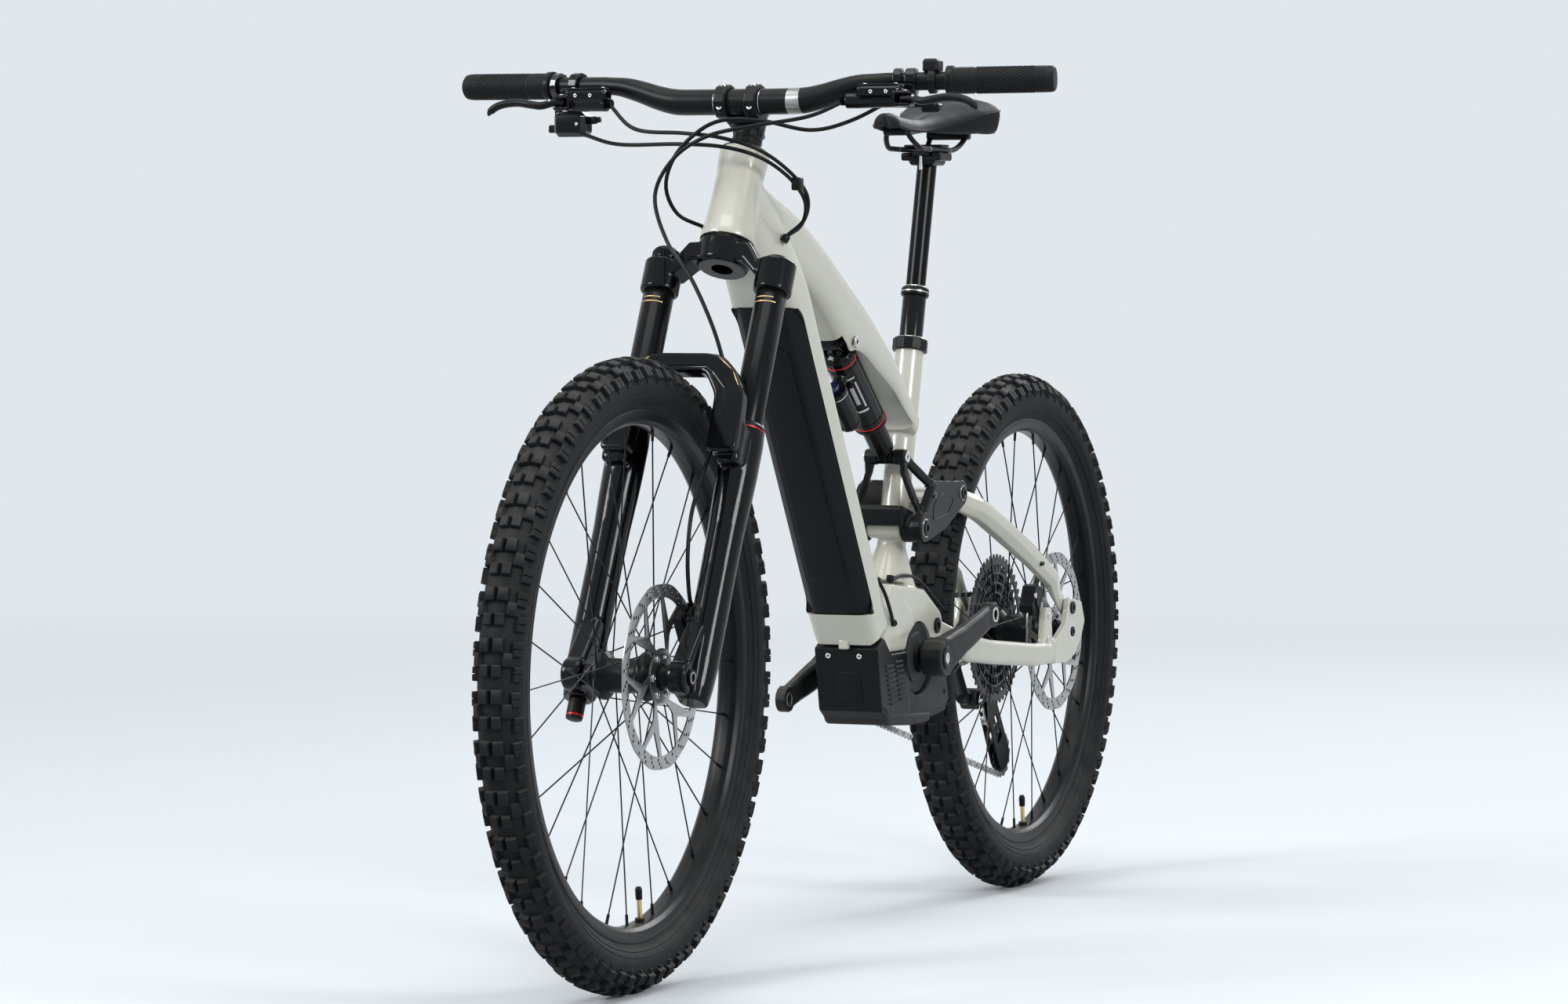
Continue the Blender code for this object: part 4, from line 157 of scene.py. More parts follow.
class Finish:
    # a Principled material with helpers for its nodes
    def __init__(self, name, colour, rough, metal=0.0, coat=0.0):
        self.material = bpy.data.materials.new(name)
        self.material.use_nodes = True
        self.tree = self.material.node_tree
        self.shader = self.tree.nodes["Principled BSDF"]
        self.set("Base Color", colour)
        self.set("Roughness", rough)
        self.set("Metallic", metal)
        self.set("Coat Weight", coat)
        self.set("Coat Roughness", 0.05)
        self.place = self.node("ShaderNodeTexCoord", out="Object")

    def set(self, name, value):
        plug(self.tree, self.shader.inputs[name], value)

    def node(self, kind, settings=None, sockets=None, out=0):
        step = self.tree.nodes.new(kind)
        for key, value in (settings or {}).items():
            setattr(step, key, value)
        for key, value in (sockets or {}).items():
            plug(self.tree, step.inputs[key], value)
        return Wire(self.tree, step.outputs[out])

    def noise(self, scale, detail=3.0, stretch=(1, 1, 1), rough=0.55):
        place = self.node("ShaderNodeMapping", sockets={"Vector": self.place, "Scale": stretch})
        sockets = {"Vector": place, "Scale": scale, "Detail": detail, "Roughness": rough}
        return self.node("ShaderNodeTexNoise", None, sockets)

    def spread(self, wire, low, high):
        sockets = {"Value": wire, "From Min": low, "From Max": high}
        return self.node("ShaderNodeMapRange", {"clamp": True}, sockets)

    def mixed(self, share, first, second):
        return self.node("ShaderNodeMix", {"data_type": "RGBA"}, {"Factor": share, 6: first, 7: second}, 2)

    def dent(self, height, depth):
        bump = self.node("ShaderNodeBump", None, {"Strength": 1.0, "Distance": depth, "Height": height})
        self.set("Normal", bump)


def finishFor(
    name, colour, rough, metal=0.0, coat=0.0, cloud=0.12, grain=(700, 0.00004),
    dust=0.0, scuff=0.0, shine=0.5,
):
    # colour clouds, a fine grain, dust that settles on top and small scuffs, all at real size
    look = Finish(name, colour, rough, metal, coat)
    look.set("Specular IOR Level", shine)
    clouds = look.noise(9, 4)
    dark = tuple(c * (1 - cloud) for c in colour)
    light = tuple(min(1, c * (1 + cloud)) for c in colour)
    shade = look.mixed(look.spread(clouds, 0.3, 0.7), dark, light)
    fine = look.noise(grain[0], 2)
    gloss = rough + (look.noise(55, 4) - 0.5) * (0.22 * rough + 0.04)
    if dust:
        normal = look.node("ShaderNodeNewGeometry", out="Normal")
        up = look.node("ShaderNodeSeparateXYZ", None, {0: normal}, 2)
        settled = look.spread(up + look.noise(35, 5) * 0.9, 0.55, 1.6) * dust
        specks = look.spread(look.noise(420, 2, rough=0.7), 0.66, 0.72) * dust * 0.5
        shade = look.mixed(settled + specks, shade, (0.42, 0.40, 0.36))
        gloss = gloss + settled * 0.35
    if scuff:
        lines = look.spread(look.noise(60, 3, (1, 9, 2)), 0.69, 0.73)
        lines = lines * look.spread(look.noise(14, 2), 0.5, 0.62)
        shade = look.mixed(lines * scuff, shade, tuple(min(1, c * 2.2 + 0.05) for c in colour))
        gloss = gloss + lines * 0.15
    look.set("Base Color", shade)
    look.set("Roughness", gloss)
    look.dent(fine, grain[1])
    return look.material


# name, colour, roughness, metal, coat, clouds, (grains, depth), dust, scuffs, shine
finishes = {
    "paint": ("framePaint", (0.360, 0.352, 0.296), 0.30, 0, 0.5, 0.03, (260, 5e-5), 0.08, 0.05),
    "cover": ("batteryCoverPlastic", (0.0035, 0.004, 0.0055), 0.5, 0, 0, 0.2, (1500, 1e-4), 0.04, 0.1, 0.13),
    "plastic": ("mouldedPlastic", (0.003, 0.003, 0.0035), 0.42, 0, 0, 0.15, (1300, 6e-5), 0.04, 0.1, 0.15),
    "forkGloss": (
        "forkGlossBlack", (0.0015, 0.0015, 0.002), 0.12, 0, 0.12, 0.2, (120, 1e-5), 0.01, 0.05, 0.14
    ),
    "stanchion": ("stanchionBlack", (0.0015, 0.0015, 0.002), 0.24, 0, 0.04, 0.1, (300, 1e-5), 0.01, 0, 0.1),
    "satin": ("satinBlackAlloy", (0.004, 0.004, 0.0046), 0.34, 0.1, 0, 0.15, (900, 3e-5), 0.03, 0.08, 0.15),
    "forged": ("forgedCrankBlack", (0.01, 0.01, 0.011), 0.46, 0.2, 0, 0.25, (1100, 6e-5), 0.08, 0.35, 0.2),
    "rubber": ("tyreRubber", (0.0075, 0.0075, 0.0085), 0.66, 0, 0, 0.35, (800, 0.00016), 0.08, 0.2, 0.13),
    "grip": ("gripRubber", (0.005, 0.005, 0.0058), 0.60, 0, 0, 0.15, (1200, 6e-5), 0.03, 0, 0.16),
    "rim": ("rimBlack", (0.0035, 0.0035, 0.0042), 0.34, 0.2, 0, 0.15, (1000, 3e-5), 0.03, 0.06, 0.18),
    "steel": ("brushedSteel", (0.56, 0.56, 0.55), 0.30, 1.0, 0, 0.10, (500, 3e-5), 0.06, 0.2),
    "bright": ("boltSteel", (0.66, 0.66, 0.65), 0.24, 1.0, 0, 0.08, (900, 2e-5)),
    "cogs": ("cassetteSteel", (0.045, 0.045, 0.046), 0.34, 0.85, 0, 0.3, (600, 3e-5), 0.05, 0.3),
    "hose": ("hoseBlack", (0.0025, 0.0025, 0.0030), 0.36, 0, 0, 0.15, (900, 2e-5), 0.01, 0, 0.16),
    "blue": ("deepBlueGloss", (0.006, 0.014, 0.050), 0.16, 0.3, 0.4, 0.1, (200, 1e-5)),
    "pod": ("podGloss", (0.0020, 0.0040, 0.0060), 0.14, 0, 0.4, 0.1, (200, 1e-5), 0.01, 0.05, 0.3),
    "red": ("redAnodised", (0.50, 0.018, 0.015), 0.30, 0.6, 0, 0.1, (400, 1e-5)),
    "gold": ("goldLine", (0.60, 0.42, 0.18), 0.35, 0.7, 0, 0.1, (400, 1e-5)),
    "brass": ("valveBrass", (0.60, 0.44, 0.22), 0.32, 1.0, 0, 0.1, (500, 1e-5)),
    "skid": ("skidPlateGrey", (0.019, 0.019, 0.020), 0.60, 0, 0, 0.3, (900, 0.00012), 0.08, 0.30, 0.16),
    "chain": ("chainSteel", (0.46, 0.46, 0.45), 0.32, 1.0, 0, 0.25, (600, 2e-5), 0.04, 0.2),
    "rotor": ("rotorSteel", (0.34, 0.34, 0.335), 0.30, 1.0, 0, 0.10, (500, 3e-5), 0.06, 0.2),
    "saddle": ("saddleCover", (0.0040, 0.0040, 0.0047), 0.48, 0, 0, 0.12, (1600, 8e-5), 0.03, 0, 0.13),
    "mark": ("greyMark", (0.36, 0.36, 0.35), 0.45, 0, 0, 0.1, (900, 1e-5)),
}
looks = {word: finishFor(*values) for word, values in finishes.items()}
print("finishes mixed:", len(looks))


# Shapes
def place(obj):
    bpy.context.scene.collection.objects.link(obj)
    return obj


def fromBm(name, bm, look, sharp=36):
    bmesh.ops.recalc_face_normals(bm, faces=bm.faces)
    mesh = bpy.data.meshes.new(name)
    bm.to_mesh(mesh)
    bm.free()
    mesh.shade_smooth()
    mesh.set_sharp_from_angle(angle=radians(sharp))
    if look:
        mesh.materials.append(looks[look])
    return place(bpy.data.objects.new(name, mesh))


def solidFrom(obj, sharp=36):
    # the evaluated shape as a plain mesh on the same object's name, its modifiers gone
    graph = bpy.context.evaluated_depsgraph_get()
    mesh = bpy.data.meshes.new_from_object(obj.evaluated_get(graph), depsgraph=graph)
    name, materials = obj.name, list(obj.data.materials)
    mesh.transform(obj.matrix_world)
    bpy.data.objects.remove(obj)
    if not mesh.materials:
        for m in materials:
            mesh.materials.append(m)
    mesh.shade_smooth()
    mesh.set_sharp_from_angle(angle=radians(sharp))
    mesh.name = name
    return place(bpy.data.objects.new(name, mesh))


def facing(origin, axis):
    return Matrix.Translation(origin) @ Vector(axis).to_track_quat("Z", "Y").to_matrix().to_4x4()


def rounded(points, size, steps=3, closed=True):
    # each corner of a flat outline replaced by a small arc
    made, count = [], len(points)
    for i, p in enumerate(points):
        if not closed and i in (0, count - 1):
            made.append(p)
            continue
        a, c = Vector(points[i - 1]), Vector(points[(i + 1) % count])
        b = Vector(p)
        cutA, cutC = min(size, (a - b).length * 0.45), min(size, (c - b).length * 0.45)
        start, end = b + (a - b).normalized() * cutA, b + (c - b).normalized() * cutC
        for k in range(steps + 1):
            t = k / steps
            made.append(tuple(start * (1 - t) ** 2 + b * 2 * t * (1 - t) + end * t * t))
    return made


def turned(name, look, profile, origin, axis, steps=48, ring=False, ease=0.0, sharp=36):
    # profile of (radius, distance along the axis), turned once round it
    if ease:
        profile = rounded(profile, ease, 2, ring)
    bm = bmesh.new()
    rings, angles = [], [2 * pi * k / steps for k in range(steps)]
    for radius, height in profile:
        if radius < 1e-6:
            rings.append([bm.verts.new((0, 0, height))])
        else:
            rings.append([bm.verts.new((radius * cos(a), radius * sin(a), height)) for a in angles])
    pairs = list(zip(rings, rings[1:])) + ([(rings[-1], rings[0])] if ring else [])
    for a, b in pairs:
        for k in range(steps):
            j = (k + 1) % steps
            corners = [a[k % len(a)], a[j % len(a)], b[j % len(b)], b[k % len(b)]]
            corners = list(dict.fromkeys(corners))
            if len(corners) > 2:
                bm.faces.new(corners)
    if not ring:
        for end in (rings[0], rings[-1]):
            if len(end) > 2:
                bm.faces.new(end)
    bmesh.ops.transform(bm, matrix=facing(origin, axis), verts=bm.verts)
    return fromBm(name, bm, look, sharp)


def spun(name, look, profile, steps, ring=True, ease=0.0, sharp=36):
    # turned round the X axis
    return turned(name, look, profile, (0, 0, 0), (1, 0, 0), steps, ring, ease, sharp)


def rod(name, look, start, end, radius, endRadius=None, ease=0.0006, steps=32):
    start, end = Vector(start), Vector(end)
    length = (end - start).length
    last = radius if endRadius is None else endRadius
    profile = [(0, 0), (radius - ease, 0), (radius, ease)]
    profile += [(last, length - ease), (last - ease, length), (0, length)]
    return turned(name, look, profile, start, end - start, steps)


def closedOver(bm, layers):
    # walls between rings of vertices and a cap at each end
    count = len(layers[0])
    for lower, upper in zip(layers, layers[1:]):
        for i in range(count):
            j = (i + 1) % count
            bm.faces.new((lower[i], lower[j], upper[j], upper[i]))
    bm.faces.new(layers[0][::-1])
    bm.faces.new(layers[-1])


def skin(name, look, rings, sharp=36):
    bm = bmesh.new()
    closedOver(bm, [[bm.verts.new(p) for p in ring] for ring in rings])
    return fromBm(name, bm, look, sharp)


def catmull(a, b, c, d, t):
    return (b * 2 + (c - a) * t + (a * 2 - b * 5 + c * 4 - d) * t**2 + (b * 3 - a - c * 3 + d) * t**3) / 2


def smoothRoute(points, step):
    points = [Vector(p) for p in points]
    ends = [points[0] * 2 - points[1], *points, points[-1] * 2 - points[-2]]
    route = []
    for a, b, c, d in zip(ends, ends[1:], ends[2:], ends[3:]):
        count = max(1, ceil((c - b).length / step))
        route += [catmull(a, b, c, d, i / count) for i in range(count)]
    return [*route, points[-1]]


def pipe(name, look, points, radius, sides=14):
    # round tube along points; radius may be one number or one for each point
    points = [Vector(p) for p in points]
    radii = radius if hasattr(radius, "__len__") else [radius] * len(points)
    angles = [2 * pi * k / sides for k in range(sides)]
    rings, normal = [], None
    for i, point in enumerate(points):
        way = (points[min(i + 1, len(points) - 1)] - points[max(i - 1, 0)]).normalized()
        if normal is None:
            normal = way.orthogonal().normalized()
        normal = (normal - way * normal.dot(way)).normalized()
        other = way.cross(normal)
        rings.append([point + (normal * cos(a) + other * sin(a)) * radii[i] for a in angles])
    return skin(name, look, rings, 50)


def oval(centre, u, v, a, b, power):
    # rounded-square ring across two directions
    ring, count = [], 40
    for k in range(count):
        angle = 2 * pi * (k + 0.5) / count
        c, s = cos(angle), sin(angle)
        ring.append(
            Vector(centre)
            + Vector(u) * (a * (abs(c) ** (2 / power)) * (1 if c > 0 else -1))
            + Vector(v) * (b * (abs(s) ** (2 / power)) * (1 if s > 0 else -1))
        )
    return ring


def blended(rings, count):
    # more rings on smooth curves through the given ones
    made = []
    first = [a * 2 - b for a, b in zip(rings[0], rings[1])]
    last = [a * 2 - b for a, b in zip(rings[-1], rings[-2])]
    ends = [first, *rings, last]
    for a, b, c, d in zip(ends, ends[1:], ends[2:], ends[3:]):
        made += [[catmull(*four, i / count) for four in zip(a, b, c, d)] for i in range(count)]
    return [*made, rings[-1]]


def block(name, look, low, high, ease=0.002, turn=None, steps=3):
    low, high = Vector(low), Vector(high)
    bm = bmesh.new()
    bmesh.ops.create_cube(bm, size=1.0)
    bmesh.ops.scale(bm, vec=high - low, verts=bm.verts)
    bmesh.ops.translate(bm, vec=(low + high) / 2, verts=bm.verts)
    if ease:
        bmesh.ops.bevel(bm, geom=bm.edges, offset=ease, segments=steps, profile=0.5, affect="EDGES")
    if turn is not None:
        bmesh.ops.transform(bm, matrix=turn, verts=bm.verts)
    return fromBm(name, bm, look)


def plate(name, look, outline, thickness, holes=(), ease=0.0008, matrix=None):
    # flat outline in XY with eased edges, half its thickness to each side
    curve = bpy.data.curves.new(name, "CURVE")
    curve.dimensions, curve.fill_mode = "2D", "BOTH"
    curve.bevel_resolution = 2
    curve.bevel_depth, curve.offset = ease, -ease
    curve.extrude = max(0.0, thickness / 2 - ease)
    for points in (outline, *holes):
        spline = curve.splines.new("POLY")
        spline.points.add(len(points) - 1)
        for target, point in zip(spline.points, points):
            target.co = (point[0], point[1], 0, 1)
        spline.use_cyclic_u = True
    curve.materials.append(looks[look])
    obj = solidFrom(place(bpy.data.objects.new(name, curve)))
    bm = bmesh.new()
    bm.from_mesh(obj.data)
    bmesh.ops.remove_doubles(bm, verts=bm.verts, dist=0.00001)
    bm.to_mesh(obj.data)
    bm.free()
    obj.data.transform(matrix if matrix is not None else Matrix())
    return obj


sideways = Matrix(((0, 0, 1, 0), (1, 0, 0, 0), (0, 1, 0, 0), (0, 0, 0, 1)))


def sidePlate(name, look, outline, low, high, holes=(), ease=0.0008):
    # outline of (y, z) seen from the side, from x = low to x = high
    matrix = Matrix.Translation(((low + high) / 2, 0, 0)) @ sideways
    return plate(name, look, outline, high - low, holes, ease, matrix)


def hoopProfile(inner, outer, low, high):
    return [(inner, low), (outer, low), (outer, high), (inner, high)]


def arc(centre, radius, start, end, steps):
    angles = [radians(start + (end - start) * i / steps) for i in range(steps + 1)]
    return [(centre[0] + radius * cos(a), centre[1] + radius * sin(a)) for a in angles]


def circle(centre, radius, steps=48):
    return arc(centre, radius, 0, 360 * (steps - 1) / steps, steps - 1)


def gathered(name, pieces, sharp=36):
    # several pieces as one mesh that keeps their materials
    bm, materials = bmesh.new(), []
    for piece in pieces:
        start = len(bm.faces)
        bm.from_mesh(piece.data)
        bm.faces.ensure_lookup_table()
        own = list(piece.data.materials)
        for m in own:
            if m not in materials:
                materials.append(m)
        for face in bm.faces[start:]:
            face.material_index = materials.index(own[min(face.material_index, len(own) - 1)]) if own else 0
        bpy.data.objects.remove(piece)
    mesh = bpy.data.meshes.new(name)
    bm.to_mesh(mesh)
    bm.free()
    for m in materials:
        mesh.materials.append(m)
    mesh.shade_smooth()
    mesh.set_sharp_from_angle(angle=radians(sharp))
    return place(bpy.data.objects.new(name, mesh))


def fused(name, look, pieces, voxel=0.0015, smooth=6, keep=1.0, cuts=()):
    # pieces melted into one casting: voxel remesh, smoothing, then clean cuts
    whole = gathered(name, pieces)
    whole.data.materials.clear()
    whole.data.materials.append(looks[look])
    melt = whole.modifiers.new("Melt", "REMESH")
    melt.mode, melt.voxel_size, melt.use_smooth_shade = "VOXEL", voxel, True
    relax = whole.modifiers.new("Relax", "SMOOTH")
    relax.factor, relax.iterations = 0.5, smooth
    if keep < 1:
        thin = whole.modifiers.new("Thin", "DECIMATE")
        thin.ratio = keep
    for cutter in cuts:
        cutter.hide_render = True
        step = whole.modifiers.new("Cut", "BOOLEAN")
        step.operation, step.object = "DIFFERENCE", cutter
        step.solver = "EXACT" if cutter is cuts[0] else "FAST"
    made = solidFrom(whole, 60)
    for cutter in cuts:
        bpy.data.objects.remove(cutter)
    return made


def castFrom(node, look, voxel=0.0012, smooth=8, keep=0.5, name=None, cuts=()):
    # a CAD solid's own form as a softened casting
    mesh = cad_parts[node].data.copy()
    bm = bmesh.new()
    bm.from_mesh(mesh)
    bmesh.ops.remove_doubles(bm, verts=bm.verts, dist=0.00001)
    bm.to_mesh(mesh)
    bm.free()
    copy = place(bpy.data.objects.new(name or node + "Cast", mesh))
    return fused(name or node + "Cast", look, [copy], voxel, smooth, keep, cuts)


def fit(piece, body, *nodes):
    # the piece rides on its body and stands for those CAD nodes
    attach(piece, body)
    if nodes:
        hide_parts(*nodes)


def paint(node, look):
    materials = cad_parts[node].data.materials
    materials.clear()
    materials.append(looks[look])


# Geometry Nodes
def newTree(name, inputs):
    tree = bpy.data.node_groups.new(name, "GeometryNodeTree")
    tree.interface.new_socket("Geometry", in_out="INPUT", socket_type="NodeSocketGeometry")
    for label, kind in inputs:
        tree.interface.new_socket(label, in_out="INPUT", socket_type=kind)
    tree.interface.new_socket("Geometry", in_out="OUTPUT", socket_type="NodeSocketGeometry")
    return tree, tree.nodes.new("NodeGroupInput"), tree.nodes.new("NodeGroupOutput")


def treeNode(tree, kind, links, **settings):
    step = tree.nodes.new(kind)
    for key, value in settings.items():
        setattr(step, key, value)
    for slot, value in links.items():
        if isinstance(value, bpy.types.NodeSocket):
            tree.links.new(value, step.inputs[slot])
        else:
            step.inputs[slot].default_value = value
    return step


def grown(obj, tree, sharp=36, **values):
    # runs a tree on the object and keeps the result as a plain mesh
    modifier = obj.modifiers.new(tree.name, "NODES")
    modifier.node_group = tree
    for item in tree.interface.items_tree:
        if item.in_out == "INPUT" and item.name in values:
            modifier[item.identifier] = values[item.name]
    return solidFrom(obj, sharp)


def copiesMade(tree, start, end, points, shape, turn):
    # the shape set at the points with their turn, made real and given its finish
    links = {"Points": points, "Instance": shape, "Rotation": turn.outputs[0]}
    copies = treeNode(tree, "GeometryNodeInstanceOnPoints", links)
    real = treeNode(tree, "GeometryNodeRealizeInstances", {0: copies.outputs[0]})
    links = {0: real.outputs[0], "Material": start.outputs["Finish"]}
    made = treeNode(tree, "GeometryNodeSetMaterial", links)
    tree.links.new(made.outputs[0], end.inputs[0])
    return tree


def wheelTree():
    # the base shape copied round the X axis
    sockets = [("Copies", "NodeSocketInt"), ("Finish", "NodeSocketMaterial")]
    tree, start, end = newTree("roundTheAxle", sockets)
    line = treeNode(tree, "GeometryNodeMeshLine", {"Count": start.outputs["Copies"], "Offset": (0, 0, 0)})
    index = tree.nodes.new("GeometryNodeInputIndex")
    links = {0: index.outputs[0], 1: start.outputs["Copies"]}
    share = treeNode(tree, "ShaderNodeMath", links, operation="DIVIDE")
    angle = treeNode(tree, "ShaderNodeMath", {0: share.outputs[0], 1: 2 * pi}, operation="MULTIPLY")
    turn = treeNode(tree, "ShaderNodeCombineXYZ", {0: angle.outputs[0]})
    return copiesMade(tree, start, end, line.outputs[0], start.outputs["Geometry"], turn)


def spotTree():
    # a small shape copied to points that carry their own turn
    sockets = [("Shape", "NodeSocketObject"), ("Finish", "NodeSocketMaterial")]
    tree, start, end = newTree("setAtSpots", sockets)
    shape = treeNode(tree, "GeometryNodeObjectInfo", {0: start.outputs["Shape"]})
    turn = treeNode(tree, "GeometryNodeInputNamedAttribute", {"Name": "turn"}, data_type="FLOAT_VECTOR")
    return copiesMade(tree, start, end, start.outputs["Geometry"], shape.outputs["Geometry"], turn)


roundTheAxle, setAtSpots = wheelTree(), spotTree()


def copiesAt(name, look, shape, spots):
    # spots are (place, direction that the shape's own +Z should take)
    mesh = bpy.data.meshes.new(name)
    mesh.from_pydata([tuple(spot) for spot, _ in spots], [], [])
    turn = mesh.attributes.new("turn", "FLOAT_VECTOR", "POINT")
    for i, (_, way) in enumerate(spots):
        turn.data[i].vector = tuple(Vector(way).to_track_quat("Z", "Y").to_euler())
    obj = grown(place(bpy.data.objects.new(name, mesh)), setAtSpots, Shape=shape, Finish=looks[look])
    bpy.data.objects.remove(shape)
    return obj


setCamera()
setStudio()
print("camera, light and floor set")


# Places in the side view, as (y, z)
frontAxle, rearAxle, crankAxle = (-0.6345, 0.374), (0.6535, 0.355), (0.185, 0.347)
mainPivot, rockerPivot, rockerEye = (0.25, 0.385), (0.175, 0.516), (0.3087, 0.5573)
shockEye, shockTop, stayPivot = (0.174, 0.608), (-0.011, 0.7595), (0.652, 0.388)
guidePulley, tensionPulley, cagePivot = (0.6835, 0.247), (0.7315, 0.175), (0.6735, 0.256)
tilt = radians(26)
up, forward = Vector((0, sin(tilt), cos(tilt))), Vector((0, -cos(tilt), sin(tilt)))
steeringFoot = Vector((0, frontAxle[0], frontAxle[1])) - forward * 0.037
steering = Matrix.Translation(steeringFoot) @ Matrix.Rotation(-tilt, 4, "X")


def onSteerer(name, look, profile, steps, ring=False, ease=0.0):
    return turned(name, look, profile, steeringFoot, up, steps, ring, ease)


def sidePair(side, near, far):
    # the low and the high x of two distances on one side
    return sorted((side * near, side * far))


def polar(reach, angle):
    return (reach * cos(angle), reach * sin(angle))


def at(x, point):
    return Vector((x, point[0], point[1]))


def beside(anchor, back, rise):
    return (anchor[0] + back, anchor[1] + rise)


def steer(side, ahead, height):
    return steeringFoot + Vector((side, 0, 0)) + forward * ahead + up * height


def steerPoint(ahead, height):
    spot = steer(0, ahead, height)
    return (spot.y, spot.z)


def away(a, b):
    length = sqrt((b[0] - a[0]) ** 2 + (b[1] - a[1]) ** 2)
    return ((b[0] - a[0]) / length, (b[1] - a[1]) / length)


def between(a, b, share):
    return (a[0] + (b[0] - a[0]) * share, a[1] + (b[1] - a[1]) * share)


def across(name, look, point, low, high, radius, endRadius=None, ease=0.0006, steps=32):
    return rod(name, look, at(low, point), at(high, point), radius, endRadius, ease, steps)


def ringAcross(name, look, point, low, high, inner, outer):
    return turned(name, look, hoopProfile(inner, outer, low, high), at(0, point), (1, 0, 0), 48, True, 0.0005)


def sideRing(name, look, point, side, near, far, inner, outer):
    return ringAcross(name, look, point, *sidePair(side, near, far), inner, outer)


def socketHead(name, radius, thick, key, ease, spot, way, steps=24, look="bright"):
    # flat round head with a hexagon socket, facing way
    head = plate(name, look, circle((0, 0), radius, steps), thick, [circle((0, 0), key, 6)], ease)
    head.data.transform(facing(spot, way))
    return head


def bolt(name, point, x, side, radius=0.006, look="bright", depth=0.0025):
    # button head with a hexagon socket, standing out on one side
    key = radius * 0.45
    outline = circle((0, 0), radius, 28)
    hexagon = circle((0, 0), key, 6)
    head = plate(name, look, outline, depth, [hexagon], 0.0005)
    # a black disc at the bottom of the hexagon socket: painted shade in the socket
    floor = plate(name + "Floor", "plastic", circle((0, 0), key * 1.15, 12), depth * 0.4, (), 0.0001)
    floor.data.transform(Matrix.Translation((0, 0, -depth * 0.25)))
    whole = gathered(name, [head, floor])
    whole.data.transform(facing(at(x + side * depth / 2, point), (side, 0, 0)))
    return whole


# Wheels
tyreSizes = {
    "front": {"axle": frontAxle, "radius": 0.374, "width": 0.062, "bead": 0.311, "pitches": 40},
    "rear": {"axle": rearAxle, "radius": 0.355, "width": 0.066, "bead": 0.292, "pitches": 38},
    "knobHeight": 0.0062,
    "centreKnob": (0.0150, 0.0120),
    "midKnob": (0.0150, 0.0105),
    "sideKnob": (0.0150, 0.0125),
    "rimDepth": 0.0175,
    "spokes": 28,
}


def knob(bm, frameOf, sectionAngle, wheelAngle, size, tall):
    origin, along, acrossWay, outward = frameOf(sectionAngle, wheelAngle)
    layers = []
    for height, shrink in ((-0.0022, 1.12), (tall - 0.0007, 1.0), (tall, 0.86)):
        a, b = size[0] / 2 * shrink, size[1] / 2 * shrink
        corners = ((-a, -b), (a, -b), (a, b), (-a, b))
        spots = [origin + along * u + acrossWay * v + outward * height for u, v in corners]
        layers.append([bm.verts.new(spot) for spot in spots])
    closedOver(bm, layers)


def tyre(which):
    size = tyreSizes[which]
    tall = tyreSizes["knobHeight"]
    crown, half = size["radius"] - tall, size["width"] / 2 - 0.0036
    middle, high = (size["bead"] + crown) / 2, (crown - size["bead"]) / 2

    def section(angle, inset=0.0):
        a = radians(angle)
        return (middle + (high - inset) * cos(a), (half - inset) * sin(a))

    def frameOf(sectionAngle, wheelAngle):
        r, x = section(sectionAngle)
        radial = Vector((0, cos(wheelAngle), sin(wheelAngle)))
        along = Vector((0, -sin(wheelAngle), cos(wheelAngle)))
        lean = radians(sectionAngle)
        outward = (Vector((1, 0, 0)) * sin(lean) + radial * cos(lean)).normalized()
        return Vector((x, 0, 0)) + radial * r, along, along.cross(outward).normalized(), outward

    outer = [section(a) for a in range(-138, 139, 6)]
    inner = [section(a, 0.0032) for a in range(132, -133, -12)]
    bead = size["bead"] + 0.0006
    profile = [(bead, -0.0163), *outer, (bead, 0.0163), (bead, 0.0120), *inner, (bead, -0.0120)]
    casing = spun(which + "Casing", "rubber", profile, 168, True)
    lines = []
    for side in (-1, 1):  # raised rings low on the side wall
        for angle, fat in ((112, 0.0007), (128, 0.0010)):
            r, x = section(angle * side)
            ring = [(r + fat * cos(radians(t)), x + fat * sin(radians(t))) for t in range(0, 360, 60)]
            lines.append(spun(which + "Line", "rubber", ring, 144, True))
    bm = bmesh.new()
    pitch = 2 * pi / size["pitches"]
    for side in (-1, 1):
        knob(bm, frameOf, side * 15, 0, tyreSizes["centreKnob"], tall)
        knob(bm, frameOf, side * 14, pitch * 0.5, (0.0130, 0.0105), tall * 0.95)
        knob(bm, frameOf, side * 37, pitch * 0.28, tyreSizes["midKnob"], tall * 0.92)
        for step, turn in ((0.06, 58), (0.56, 62)):
            for part in (-1, 1):  # a sipe splits each side knob
                long = tyreSizes["sideKnob"][0] / 2
                lead = part * (long / 2 + 0.0007) / size["radius"]
                share = (long, tyreSizes["sideKnob"][1])
                knob(bm, frameOf, side * turn, pitch * step + lead, share, tall * 0.9)
            knob(bm, frameOf, side * turn, pitch * step, (0.0148, 0.0118), tall * 0.45)
        for step in (0.06, 0.56):  # low ribs below the side knobs
            knob(bm, frameOf, side * 77, pitch * step, (0.0055, 0.0060), 0.0016)
    tread = fromBm(which + "Tread", bm, "rubber", 30)
    tread = grown(tread, roundTheAxle, 30, Copies=size["pitches"], Finish=looks["rubber"])
    whole = gathered(which + "TyreTread", [casing, tread, *lines], 34)
    whole.data.transform(Matrix.Translation(at(0, size["axle"])))
    fit(whole, which + "_wheel", which + "_tyre")


